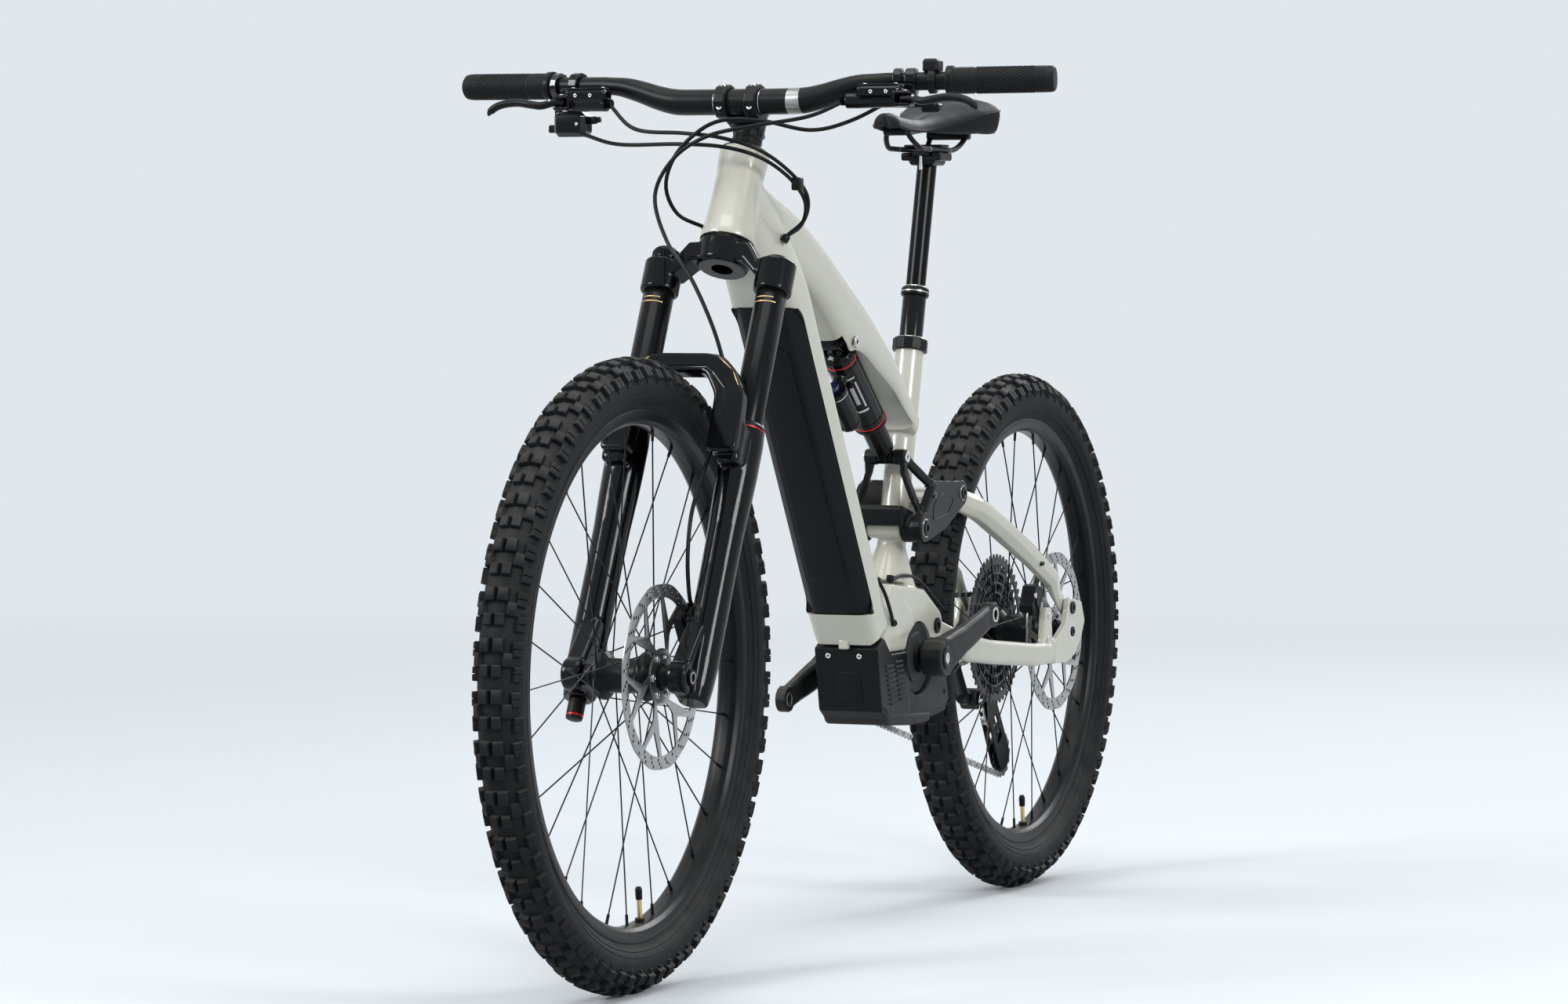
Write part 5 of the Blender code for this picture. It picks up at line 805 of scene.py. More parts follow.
def rim(which):
    size = tyreSizes[which]
    bead, half, low = size["bead"], 0.0175, size["bead"] - tyreSizes["rimDepth"]
    side = [(bead + 0.0018, half - 0.0012), (bead + 0.0012, half), (bead - 0.004, half)]
    side += [(low + 0.006, half - 0.0015), (low + 0.0012, half * 0.62), (low, half * 0.25)]
    profile = side + [(r, -x) for r, x in reversed(side)]
    profile += [(bead - 0.003, 0.006 - half), (bead - 0.005, 0), (bead - 0.003, half - 0.006)]
    hoop = spun(which + "Hoop", "rim", profile, 144, True, 0.0008, 40)
    valveAngle = radians(-90 + 180 / tyreSizes["spokes"])
    out = Vector((0, cos(valveAngle), sin(valveAngle)))
    tube = [(0, 0.004), (0.0030, 0.004), (0.0030, -0.030), (0.0024, -0.031), (0.0024, -0.034), (0, -0.034)]
    top = [(0, -0.026), (0.0040, -0.026), (0.0043, -0.038), (0.0028, -0.0415), (0, -0.0415)]
    collar = [(0, 0.001), (0.0062, 0.001), (0.0058, -0.004), (0, -0.004)]
    valve = []
    for word, look, profile, steps, ease in (
        ("Stem", "brass", tube, 20, 0.0003),
        ("Cap", "plastic", top, 20, 0.0004),
        ("Nut", "rim", collar, 24, 0.0004),
    ):
        profile = [(r, low + reach) for r, reach in profile]
        valve.append(turned(which + word, look, profile, (0, 0, 0), out, steps, False, ease))
    whole = gathered(which + "RimHoop", [hoop, *valve])
    whole.data.transform(Matrix.Translation(at(0, size["axle"])))
    fit(whole, which + "_wheel", which + "_rim")


hubSizes = {
    "front": {
        "spokeX": (0.024, -0.030),
        "profile": [
            (0, 0.0547), (0.0125, 0.0547), (0.0125, 0.0407), (0.026, 0.0407),
            (0.026, 0.0367), (0.022, 0.0347), (0.029, 0.028), (0.029, 0.021),
            (0.0205, 0.016), (0.0205, -0.022), (0.029, -0.027), (0.029, -0.034),
            (0.016, -0.040), (0.0125, -0.046), (0.0125, -0.0547), (0, -0.0547),
        ],
    },
    "rear": {
        "spokeX": (0.034, -0.021),
        "profile": [
            (0, 0.0737), (0.0125, 0.0737), (0.0125, 0.0557), (0.026, 0.0557), (0.026, 0.0517),
            (0.020, 0.0487), (0.029, 0.038), (0.029, 0.031), (0.0205, 0.026),
            (0.0205, -0.012), (0.029, -0.018), (0.029, -0.025), (0.0158, -0.027),
            (0.0158, -0.0665), (0.0115, -0.067), (0.0115, -0.0737), (0, -0.0737),
        ],
    },
}


def hub(which):
    size, wheel = hubSizes[which], tyreSizes[which]
    shell = spun(which + "Shell", "satin", size["profile"], 64, False, 0.0012)
    rimEnd, count = wheel["bead"] - tyreSizes["rimDepth"], tyreSizes["spokes"]
    base = []
    for k in range(4):  # four crossed spokes, then copied round
        angle = 2 * pi * k / count
        flange = size["spokeX"][k % 2]
        lead = 1 if k % 4 < 2 else -1
        hubAngle = angle + lead * radians(72)
        start = Vector((flange + lead * 0.0022, 0.026 * cos(hubAngle), 0.026 * sin(hubAngle)))
        end = Vector((flange * 0.06, rimEnd * cos(angle), rimEnd * sin(angle)))
        way = (end - start).normalized()
        points = [start - way * 0.003, start + way * 0.02, end]
        base.append(pipe(which + "Spoke", "satin", points, 0.00095, 6))
        points = end - way * 0.013, end + way * 0.002
        base.append(rod(which + "Nipple", "satin", *points, 0.0019, 0.0021, 0.0003, 8))
        elbow = Vector((flange - lead * 0.001, start.y, start.z))
        points = elbow, elbow + Vector((lead * 0.0052, 0, 0))
        base.append(rod(which + "Elbow", "bright", *points, 0.0021, None, 0.0005, 8))
    spokes = gathered(which + "SpokeSet", base)
    spokes = grown(spokes, roundTheAxle, 50, Copies=count // 4, Finish=looks["satin"])
    rings = [
        spun(which + "Seal", "plastic", hoopProfile(0.0105, 0.0150, x, x + 0.0012), 40, True, 0.0003)
        for x in (size["profile"][-2][1] + 0.010, size["profile"][1][1] - 0.0112)
    ]
    whole = gathered(which + "HubAndSpokes", [shell, spokes, *rings], 40)
    whole.data.transform(Matrix.Translation(at(0, wheel["axle"])))
    fit(whole, which + "_wheel", which + "_hub")


rotorSizes = {
    "front": 0.042, "rear": 0.057, "radius": 0.110, "band": 0.0165, "arms": 6, "foot": 0.034, "slant": 28
}


def rotor(which):
    x, radius, band = rotorSizes[which], rotorSizes["radius"], rotorSizes["band"]
    holes = [circle((0, 0), 0.0165, 36)]
    rim, foot = radius - band, rotorSizes["foot"]

    def corner(reach, turn, gap):
        # angle of a slanted arm's edge; gap is half of the arm's width
        return 60 * turn + rotorSizes["slant"] * (reach - foot) / (rim - foot) + degrees(gap / reach)

    for k in range(rotorSizes["arms"]):  # the arms fork towards the band
        window = arc((0, 0), foot, corner(foot, k, 0.0036), corner(foot, k + 1, -0.0036), 3)
        window.append(polar(0.054, radians(corner(0.054, k + 1, -0.0034))))
        window += arc((0, 0), rim, corner(rim, k + 0.5, -0.0030), corner(rim, k, 0.0036), 4)
        holes.append(rounded(window, 0.0035, 3))
        fork = [polar(0.066, radians(corner(0.066, k + 1, -0.0034)))]
        fork += arc((0, 0), rim, corner(rim, k + 1, -0.0036), corner(rim, k + 0.5, 0.0036), 4)
        holes.append(rounded(fork, 0.0030, 3))
        holes.append(arc(polar(0.024, radians(60 * k)), 0.0043, 0, 330, 11))
    for k in range(30):  # slanted rows of holes in the braking band
        for j, (reach, lead) in enumerate(((0.0975, 0), (0.1020, 2.4), (0.1062, 4.8))):
            if k % 5 == 4 and j == 1:
                continue
            angle = radians(12 * k + lead)
            holes.append(circle(polar(reach, angle), 0.0021, 10))
    edge = []
    for k in range(180):  # shallow waves round the rim of the disc
        angle = 2 * pi * k / 180
        reach = radius - 0.0008 - 0.0006 * cos(12 * angle)
        edge.append(polar(reach, angle))
    disc = plate(which + "Disc", "rotor", edge, 0.0019, holes, 0.0002)
    disc.data.transform(sideways)
    disc.data.materials.append(looks["hose"])
    for face in disc.data.polygons:  # the walls of the holes and windows take the dark hose finish: painted shade inside the holes
        if abs(face.normal.x) < 0.5 and face.center.length < radius - 0.003:
            face.material_index = 1
    spots = [polar(0.024, radians(60 * k)) for k in range(6)]
    heads = [bolt(which + "DiscBolt", spot, 0.0009, 1, 0.0042, "bright", 0.0018) for spot in spots]
    whole = gathered(which + "RotorDisc", [disc, *heads])
    whole.data.transform(Matrix.Translation(at(x, tyreSizes[which]["axle"])))
    fit(whole, which + "_wheel", which + "_rotor")


cassetteSizes = {
    "teeth": (50, 45, 40, 36, 32, 28, 24, 20, 16, 12),
    "pitch": 0.0127,
    "first": -0.0303,
    "step": -0.0037,
    "thick": 0.0018,
}


def cogRadius(teeth):
    return cassetteSizes["pitch"] * teeth / (2 * pi)


def cogOutline(teeth, tip=0.0036, root=0.0030):
    radius = cogRadius(teeth)
    tooth = [(0, tip * 0.9), (0.12, tip), (0.27, 0), (0.40, -root), (0.60, -root), (0.73, 0), (0.88, tip)]
    outline = []
    for k in range(teeth):
        outline += [polar(radius + reach, 2 * pi * (k + share) / teeth) for share, reach in tooth]
    return outline


def cassette():
    pieces = []
    for i, teeth in enumerate(cassetteSizes["teeth"]):
        x = cassetteSizes["first"] + cassetteSizes["step"] * i
        holes = [circle((0, 0), 0.0162, 28)]
        for row in range(6):  # rows of openings shared by all the cogs
            low = 0.0255 + 0.0136 * row
            high = low + 0.0108
            if high > cogRadius(teeth) - 0.0055:
                break
            count = 8 + 3 * row
            half = 180 / count - degrees(0.0019 / low)
            for k in range(count):
                middle = 360 * (k + row / 2) / count
                inner = arc((0, 0), low, middle - half, middle + half, 2)
                outer = arc((0, 0), high, middle + half, middle - half, 2)
                holes.append(rounded(inner + outer, 0.0022, 2))
        cog = plate(f"cog{teeth}", "cogs", cogOutline(teeth), cassetteSizes["thick"], holes, 0.0002)
        cog.data.transform(Matrix.Translation((x, 0, 0)) @ sideways)
        pieces.append(cog)
    profile = hoopProfile(0.0164, 0.0210, -0.0305, -0.0640)
    pieces.append(spun("cogCarrier", "plastic", profile, 40, True, 0.0005))
    profile = [(0.0162, -0.0640), (0.0190, -0.0640), (0.0185, -0.0662), (0.0162, -0.0662)]
    pieces.append(spun("lockRing", "bright", profile, 40, True, 0.0004))
    whole = gathered("cassetteCogs", pieces)
    whole.data.transform(Matrix.Translation(at(0, rearAxle)))
    fit(whole, "cassette", "cassette")


for which in ("front", "rear"):
    tyre(which)
    rim(which)
    hub(which)
    rotor(which)
cassette()
print("wheels made")


# Frame
headFoot = (-0.34611, 0.88088)
tubeTop, tubeLow = (-0.24201, 0.80398), (0.003, 0.411)
tubeWay = away(tubeTop, tubeLow)
seatLean = radians(14.1)
seatWay = Vector((0, sin(seatLean), cos(seatLean)))


def seatLine(height):
    return (0.155 + (height - 0.347) * 0.25118, height)


def seatRod(name, look, low, high, radius, *shape):
    return rod(name, look, at(0, seatLine(low)), at(0, seatLine(high)), radius, *shape)


def tubeAt(share, deep=0.0):
    # along the down tube's front line, moved in towards its rear face
    return beside(between(tubeTop, tubeLow, share), -tubeWay[1] * deep, tubeWay[0] * deep)


def fromCrank(points):
    return [beside(crankAxle, back, rise) for back, rise in points]


frameSizes = {
    "voxel": 0.0018,
    "shell": 0.041,
    "tunnel": 0.0255,
    "topTube": [  # y, top, bottom, half width
        (-0.28511, 0.95788, 0.89988, 0.024),
        (-0.18011, 0.92188, 0.84988, 0.026),
        (-0.110, 0.886, 0.816, 0.030),
        (-0.054, 0.853, 0.778, 0.0325),
        (-0.011, 0.829, 0.748, 0.033),
        (0.040, 0.799, 0.738, 0.033),
        (0.095, 0.763, 0.712, 0.032),
        (0.141, 0.731, 0.690, 0.031),
        (0.185, 0.696, 0.658, 0.028),
        (0.225, 0.664, 0.632, 0.026),
    ],
    "shellOutline": [
        (-0.155, 0.023), (-0.125, 0.033), (-0.100, 0.011), (-0.035, 0.011), (0.030, 0.011), (0.0609, 0.0139)
    ],
    "motorSpace": [
        (-0.126, -0.048), (-0.136, 0.008), (-0.111, 0.039), (-0.035, 0.0592),
        (0.038, 0.049), (0.048, 0.003), (0.051, -0.058), (-0.086, -0.063),
    ],
}


def tubeRing(front, rear, half, power=5.0):
    span, middle = at(0, rear) - at(0, front), at(0, between(front, rear, 0.5))
    return oval(middle, (1, 0, 0), span.normalized(), half, span.length / 2, power)


def mainFrame():
    sizes = frameSizes
    rings = [tubeRing(steerPoint(0, 0.602), steerPoint(0, 0.690), 0.026, 3.0)]
    rings.append(tubeRing(beside(headFoot, 0.0511, -0.0389), beside(headFoot, 0.1411, 0.0041), 0.036, 3.6))
    rings += [tubeRing(tubeAt(k / 6), tubeAt(k / 6, 0.062), 0.045) for k in range(7)]
    rings.append(tubeRing(beside(crankAxle, -0.155, 0.024), beside(crankAxle, -0.100, 0.053), 0.0441))
    pieces = [skin("downTube", "paint", blended(rings, 5))]
    head = [
        (0, 0.582), (0.034, 0.582), (0.0342, 0.590), (0.0318, 0.606), (0.0296, 0.640),
        (0.0290, 0.672), (0.0303, 0.690), (0.0308, 0.706), (0, 0.706),
    ]
    pieces.append(onSteerer("headTube", "paint", head, 64))
    rings = [
        oval((0, y, (top + low) / 2), (1, 0, 0), (0, 0.25, 0.97), half, (top - low) / 2, 3.4)
        for y, top, low, half in sizes["topTube"]
    ]
    pieces.append(skin("topTube", "paint", blended(rings, 5)))
    pieces.append(seatRod("seatTube", "paint", 0.432, 0.757, 0.0187, None, 0.001, 48))
    pieces.append(seatRod("seatTubeFoot", "paint", 0.440, 0.492, 0.037, 0.0185, 0.001, 48))
    outline = fromCrank(sizes["shellOutline"]) + arc(mainPivot, 0.0245, -60, 60, 8)
    outline += fromCrank([(0.025, 0.088), (-0.085, 0.100)])
    pieces.append(sidePlate("motorShell", "paint", outline, -sizes["shell"], sizes["shell"], (), 0.005))
    pieces.append(across("rockerMount", "paint", rockerPivot, -0.024, 0.024, 0.0145))
    post = [
        beside(rockerPivot, -0.004, -0.014), seatLine(0.496), seatLine(0.532), beside(rockerPivot, 0, 0.014)
    ]
    pieces.append(sidePlate("mountPost", "paint", post, -0.014, 0.014))
    for side in (-1, 1):
        low, high = sidePair(side, 0.0128, 0.0290)
        pieces.append(across(f"shockBoss{side}", "paint", shockTop, low, high, 0.0125))
        rib = fromCrank([(-0.070, 0.030), (-0.020, 0.036), (-0.012, 0.052), (-0.052, 0.078)])
        low, high = sidePair(side, 0.039, 0.0425)
        pieces.append(sidePlate(f"shellRib{side}", "paint", rounded(rib, 0.008), low, high, (), 0.0012))
    inner = sizes["shell"] - 0.0047
    cover = [
        beside(tubeTop, -0.06, 0), (-0.2200, tubeTop[1]), (0.0250, tubeLow[1]), beside(tubeLow, -0.06, 0)
    ]
    cover = rounded(cover, 0.020, 6)
    tunnel = [
        (-0.040, 0.717), (-0.040, 0.815), (0.040, 0.787),
        (0.141, 0.719), (0.190, 0.685), (0.205, 0.650), (0.205, 0.597),
    ]
    swing = arc(mainPivot, 0.0225, 90, 270, 10)
    swing += [beside(mainPivot, 0.07, -0.05), beside(mainPivot, 0.07, 0.08)]
    cuts = [
        sidePlate("coverPocket", "paint", cover, -0.06, 0.06),
        sidePlate("shockTunnel", "paint", tunnel, -sizes["tunnel"], sizes["tunnel"]),
        sidePlate("motorSpace", "paint", fromCrank(sizes["motorSpace"]), -inner, inner),
        sidePlate("swingSpace", "paint", swing, -inner, inner),
        across("motorBore", "paint", crankAxle, -0.06, 0.06, 0.0472, None, 0, 64),
        across("pivotBore", "paint", mainPivot, -0.06, 0.06, 0.0080),
        across("rockerBore", "paint", rockerPivot, -0.04, 0.04, 0.0068),
    ]
    body = fused("frameBody", "paint", pieces, sizes["voxel"], 9, 0.55, cuts)
    extras = []
    # tab where the down tube's foot laps the motor shell
    low, high = at(-0.0065, beside(crankAxle, -0.1595, 0.0185)), at(0.0065, beside(crankAxle, -0.150, 0.0310))
    extras.append(block("footTab", "paint", low, high, 0.002))
    for side in (-1, 1):
        extras.append(bolt(f"shockBolt{side}", shockTop, side * 0.0326, side, 0.0078, "bright"))
        extras.append(bolt(f"mainPivotBolt{side}", mainPivot, side * 0.0405, side, 0.0105, "satin", 0.003))
    upper, lower = steer(0, 0, 0.7055), steer(0, 0, 0.5825)
    profile = [(0.015, 0), (0.0308, 0), (0.0300, 0.0018), (0.015, 0.0018)]
    extras.append(turned("upperCup", "plastic", profile, upper, up, 48, True, 0.0004))
    profile = hoopProfile(0.015, 0.0338, 0.0012, 0)
    extras.append(turned("lowerCup", "plastic", profile, lower, up, 48, True, 0.0003))
    whole = gathered("frameShell", [body, *extras], 50)
    fit(whole, "frame", "main_frame", "main_pivot_axle")


def batteryCover():
    slope = tubeWay[0] / tubeWay[1]
    low, top, corner, ease = tubeLow[1] + 0.0004, tubeTop[1] - 0.0004, 0.026, 0.0022
    heights = [low, low + 0.0004, low + 0.0012, low + ease]
    heights += [low + corner * (1 - cos(radians(a))) for a in (32, 45, 57, 68, 79, 90)]
    middle = [low + corner + (top - low - 2 * corner) * k / 24 for k in range(1, 24)]
    heights = heights + middle + [top + low - h for h in reversed(heights)]
    rings = []
    for z in heights:
        gap = min(z - low, top - z)
        front = tubeTop[0] + (z - tubeTop[1]) * slope
        rear = -0.2200 + (z - tubeTop[1]) * slope
        if gap < corner:
            rear -= corner - sqrt(max(0, corner**2 - (corner - gap) ** 2))
        inset = max(0, ease - sqrt(max(0, ease**2 - (ease - min(gap, ease)) ** 2)))
        half, front = 0.0447 - inset, front + inset * 1.1
        rear = max(rear, front + 0.012)
        side = [(half, rear - 0.0002), (half, rear - 0.002), (half, front + 0.021)]
        side += [(half - 0.0006, front + 0.0188), (half - 0.0018, front + 0.0168)]
        side += [(half - 0.0132, front + 0.0032), (half - 0.0148, front + 0.0018)]
        side.append((half - 0.024, front + 0.00048))
        side += [(0, front)] + [(-x, y) for x, y in reversed(side)]
        rings.append([Vector((x, y, z)) for x, y in side])
    shell = skin("coverShell", "cover", rings, 40)
    matrix = Matrix((
        (1, 0, 0, 0),
        (0, tubeWay[0], tubeWay[1], 0),
        (0, tubeWay[1], -tubeWay[0], 0),
        (0, 0, 0, 1),
    ))
    length = sqrt((tubeLow[0] - tubeTop[0]) ** 2 + (tubeLow[1] - tubeTop[1]) ** 2)
    panel = [(-0.0215, 0.062), (0.0215, 0.062), (0.0255, length - 0.050), (-0.0255, length - 0.050)]
    border = [(-0.0225, 0.061), (0.0225, 0.061), (0.0265, length - 0.049), (-0.0265, length - 0.049)]
    panel, border = rounded(panel, 0.014, 6), rounded(border, 0.0145, 6)
    over, flush = Matrix.Translation(at(0, tubeAt(0, -0.0004))), Matrix.Translation(at(0, tubeTop))
    raised = plate("coverPanel", "cover", panel, 0.0030, (), 0.0012, over @ matrix)
    groove = plate("coverGroove", "hose", border, 0.0012, (), 0.0004, flush @ matrix)
    whole = gathered("batteryLid", [shell, raised, groove], 40)
    fit(whole, "frame", "battery_cover")


def driveUnit():
    core = fromCrank(frameSizes["motorSpace"])
    pieces = [sidePlate("motorCore", "plastic", core, -0.0338, 0.0338, (), 0.004)]
    for side in (-1, 1):
        profile = [
            (0, 0.030), (0.0466, 0.030), (0.0466, 0.0372), (0.0440, 0.0385),
            (0.0300, 0.0385), (0.0290, 0.0378), (0, 0.0378),
        ]
        middle, out = at(0, crankAxle), (side, 0, 0)
        pieces.append(turned(f"motorDisc{side}", "skid", profile, middle, out, 72, False, 0.0004))
        cap = fromCrank([
            (-0.040, 0.006), (-0.026, 0.030), (0.004, 0.034), (0.012, 0.020),
            (0.012, -0.020), (0.002, -0.032), (-0.024, -0.030), (-0.038, -0.012),
        ])
        low, high = sidePair(side, 0.036, 0.0415)
        pieces.append(sidePlate(f"motorCap{side}", "skid", rounded(cap, 0.006), low, high, (), 0.0012))
        pieces.append(sideRing(f"axleCollar{side}", "plastic", crankAxle, side, 0.030, 0.047, 0.0108, 0.0198))
        for k in range(3):
            spot = beside(crankAxle, *polar(0.0435, radians(120 + 55 * k)))
            pieces.append(bolt(f"motorScrew{side}{k}", spot, side * 0.0380, side, 0.0024, "satin", 0.0012))
    whole = gathered("motorUnit", pieces)
    fit(whole, "frame", "drive_unit")


def motorCover():
    pieces = [castFrom("motor_cover", "plastic", 0.0012, 16, 0.5)]
    for side in (-1, 1):
        # louvres: a dark hose plate gives painted shade in the slots, and the ribs in lighter skid grey are a
        # painted highlight on their edges
        slotShade = fromCrank([(-0.124, 0.002), (-0.058, 0.006), (-0.034, -0.059), (-0.104, -0.063)])
        slotShade, (near, far) = rounded(slotShade, 0.004), sidePair(side, 0.0425, 0.0438)
        pieces.append(sidePlate(f"louvreRecess{side}", "hose", slotShade, near, far, (), 0.0003))
        for column in range(2):
            for k in range(9):
                back, rise = -0.122 + 0.031 * column + 0.0022 * k, -0.006 - 0.0062 * k + 0.004 * column
                low = beside(crankAxle, back, rise)
                near, far = sidePair(side, 0.0432, 0.0460)
                high = beside(low, 0.025, 0.0024)
                pieces.append(block(f"louvre{side}{column}{k}", "skid", at(near, low), at(far, high), 0.0007))
    front = fromCrank([(-0.1505, 0.0192), (-0.135, -0.062)])
    way = Vector((0, *away(*front)))
    out = Vector((0, way.z, -way.y))
    if out.y > 0:
        out = -out
    for side in (-1, 1):
        spot = at(side * 0.0215 - 0.003, between(*front, 0.12)) + out * 0.0008
        pieces.append(socketHead(f"coverScrew{side}", 0.0036, 0.002, 0.0015, 0.0005, spot, out))
    badge = rounded([(-0.020, -0.022), (0.020, -0.022), (0.017, 0.018), (-0.017, 0.018)], 0.006)
    panel = plate("coverBoss", "plastic", badge, 0.0016, (), 0.0006)
    panel.data.transform(facing(at(0, between(*front, 0.60)) + out * 0.0004, out))
    whole = gathered("motorHousing", [*pieces, panel], 45)
    fit(whole, "frame", "motor_cover")


def skidPlate():
    outline = fromCrank([
        (-0.0347, -0.082), (0.015, -0.085), (0.104, -0.0764),
        (0.098, -0.058), (0.050, -0.0577), (-0.0347, -0.0608),
    ])
    pieces = [sidePlate("skidBody", "skid", rounded(outline, 0.006), -0.040, 0.040, (), 0.003)]
    for side in (-1, 1):
        for k in range(2):
            spot = Vector((side * 0.025, 0.170 + 0.085 * k, 0.2622 + 0.004 * k))
            name = f"skidScrew{side}{k}"
            pieces.append(socketHead(name, 0.0042, 0.002, 0.0017, 0.0004, spot, (0, 0, -1), 20, "satin"))
    fit(gathered("skidGuard", pieces), "frame", "skid_plate")
    tray = fromCrank([
        (-0.131, -0.056), (-0.112, -0.0815), (-0.030, -0.0868), (0.030, -0.0868),
        (0.040, -0.074), (-0.030, -0.0705), (-0.103, -0.0660), (-0.120, -0.052),
    ])
    fit(sidePlate("skidTray", "skid", rounded(tray, 0.005), -0.0450, 0.0450, (), 0.0045), "frame")
    wing = arc(crankAxle, 0.0495, -128, 6, 20) + fromCrank([
        (0.072, 0.000), (0.094, -0.020), (0.106, -0.0600),
        (0.096, -0.0700), (0.000, -0.0780), (-0.040, -0.0770),
    ])
    wings = []
    for side in (-1, 1):
        low, high = sidePair(side, 0.0345, 0.0425)
        wings.append(sidePlate(f"skidWing{side}", "skid", wing, low, high, (), 0.002))
        for y, z in ((0.074, -0.018), (0.090, -0.050)):
            spot = beside(crankAxle, y, z)
            wings.append(bolt(f"wingScrew{side}{z}", spot, side * 0.0423, side, 0.0030, "satin", 0.0014))
    fit(gathered("skidWings", wings), "frame")


mainFrame()
batteryCover()
driveUnit()
motorCover()
skidPlate()
print("frame made")


# Fork
forkSizes = {"legX": 0.0745, "ahead": 0.006, "stanchion": 0.019, "legTop": 0.333}


def frontPlate(name, look, outline, low, high, holes=(), ease=0.0008):
    # outline of (side, height) seen along the steering axis's front, from ahead = low to high
    middle = steeringFoot + forward * ((low + high) / 2)
    matrix = Matrix((
        (1, 0, 0, middle.x),
        (0, up.y, forward.y, middle.y),
        (0, up.z, forward.z, middle.z),
        (0, 0, 0, 1),
    ))
    return plate(name, look, outline, high - low, holes, ease, matrix)


def legRod(name, look, side, low, high, radius, *shape):
    # a rod on a leg's line, from one height to another
    ahead = forkSizes["ahead"]
    return rod(name, look, steer(side, ahead, low), steer(side, ahead, high), radius, *shape)


def mirroredOutline(half):
    return half + [(-x, h) for x, h in reversed(half) if abs(x) > 1e-6]


def forkUpper():
    legX, ahead, radius = forkSizes["legX"], forkSizes["ahead"], forkSizes["stanchion"]
    middle = [(0, 0.548), (0.0295, 0.548), (0.0322, 0.553), (0.0328, 0.570), (0.0335, 0.5812), (0, 0.5812)]
    pieces = [onSteerer("crownHub", "forkGloss", middle, 64)]
    arms = [
        (0, 0.551), (0.034, 0.551), (0.052, 0.533), (0.0845, 0.530),
        (0.0845, 0.552), (0.0555, 0.553), (0.040, 0.575), (0, 0.577),
    ]
    pieces.append(frontPlate("crownArms", "forkGloss", mirroredOutline(arms), -0.012, 0.024, (), 0.004))
    for side in (-legX, legX):
        pieces.append(legRod(f"crownClamp{side}", "forkGloss", side, 0.5122, 0.5538, 0.0238, None, 0.002, 56))
    hole = rod("steererHole", "plastic", steer(0, 0, 0.52), steer(0, 0, 0.60), 0.0135)
    crown = fused("crown", "forkGloss", pieces, 0.0011, 9, 0.5, [hole])
    race = [(0.015, 0.5806), (0.0300, 0.5806), (0.0330, 0.5818), (0.015, 0.5818)]
    extras = [onSteerer("crownRace", "plastic", race, 48, True)]
    for side in (-legX, legX):
        extras.append(legRod(f"stanchion{side}", "stanchion", side, 0.184, 0.535, radius, None, 0.0008, 64))
        for k, height in enumerate((0.500, 0.494)):
            marks = hoopProfile(0.01905, 0.01915, height, height + 0.0012)
            band = turned(f"stanchionMark{side}{k}", "gold", marks, steer(side, ahead, 0), up, 64, True)
            bm = bmesh.new()
            bm.from_mesh(band.data)
            hidden = []
            for face in bm.faces:  # only a short dash on the front stays
                off = face.calc_center_median() - steer(side, ahead, height)
                if abs(off.x) > 0.0105 + 0.003 * k or off.y > 0:
                    hidden.append(face)
            bmesh.ops.delete(bm, geom=hidden, context="FACES")
            bm.to_mesh(band.data)
            bm.free()
            extras.append(band)
    extras.append(legRod("airCap", "plastic", legX, 0.5535, 0.5590, 0.0165, 0.0150, 0.0012, 48))
    extras.append(legRod("airCapTop", "forkGloss", legX, 0.5590, 0.5612, 0.0095, 0.0085, 0.0008, 32))
    whole = gathered("forkCrownTubes", [crown, *extras], 50)
    fit(whole, "steering_assembly", "fork_upper")


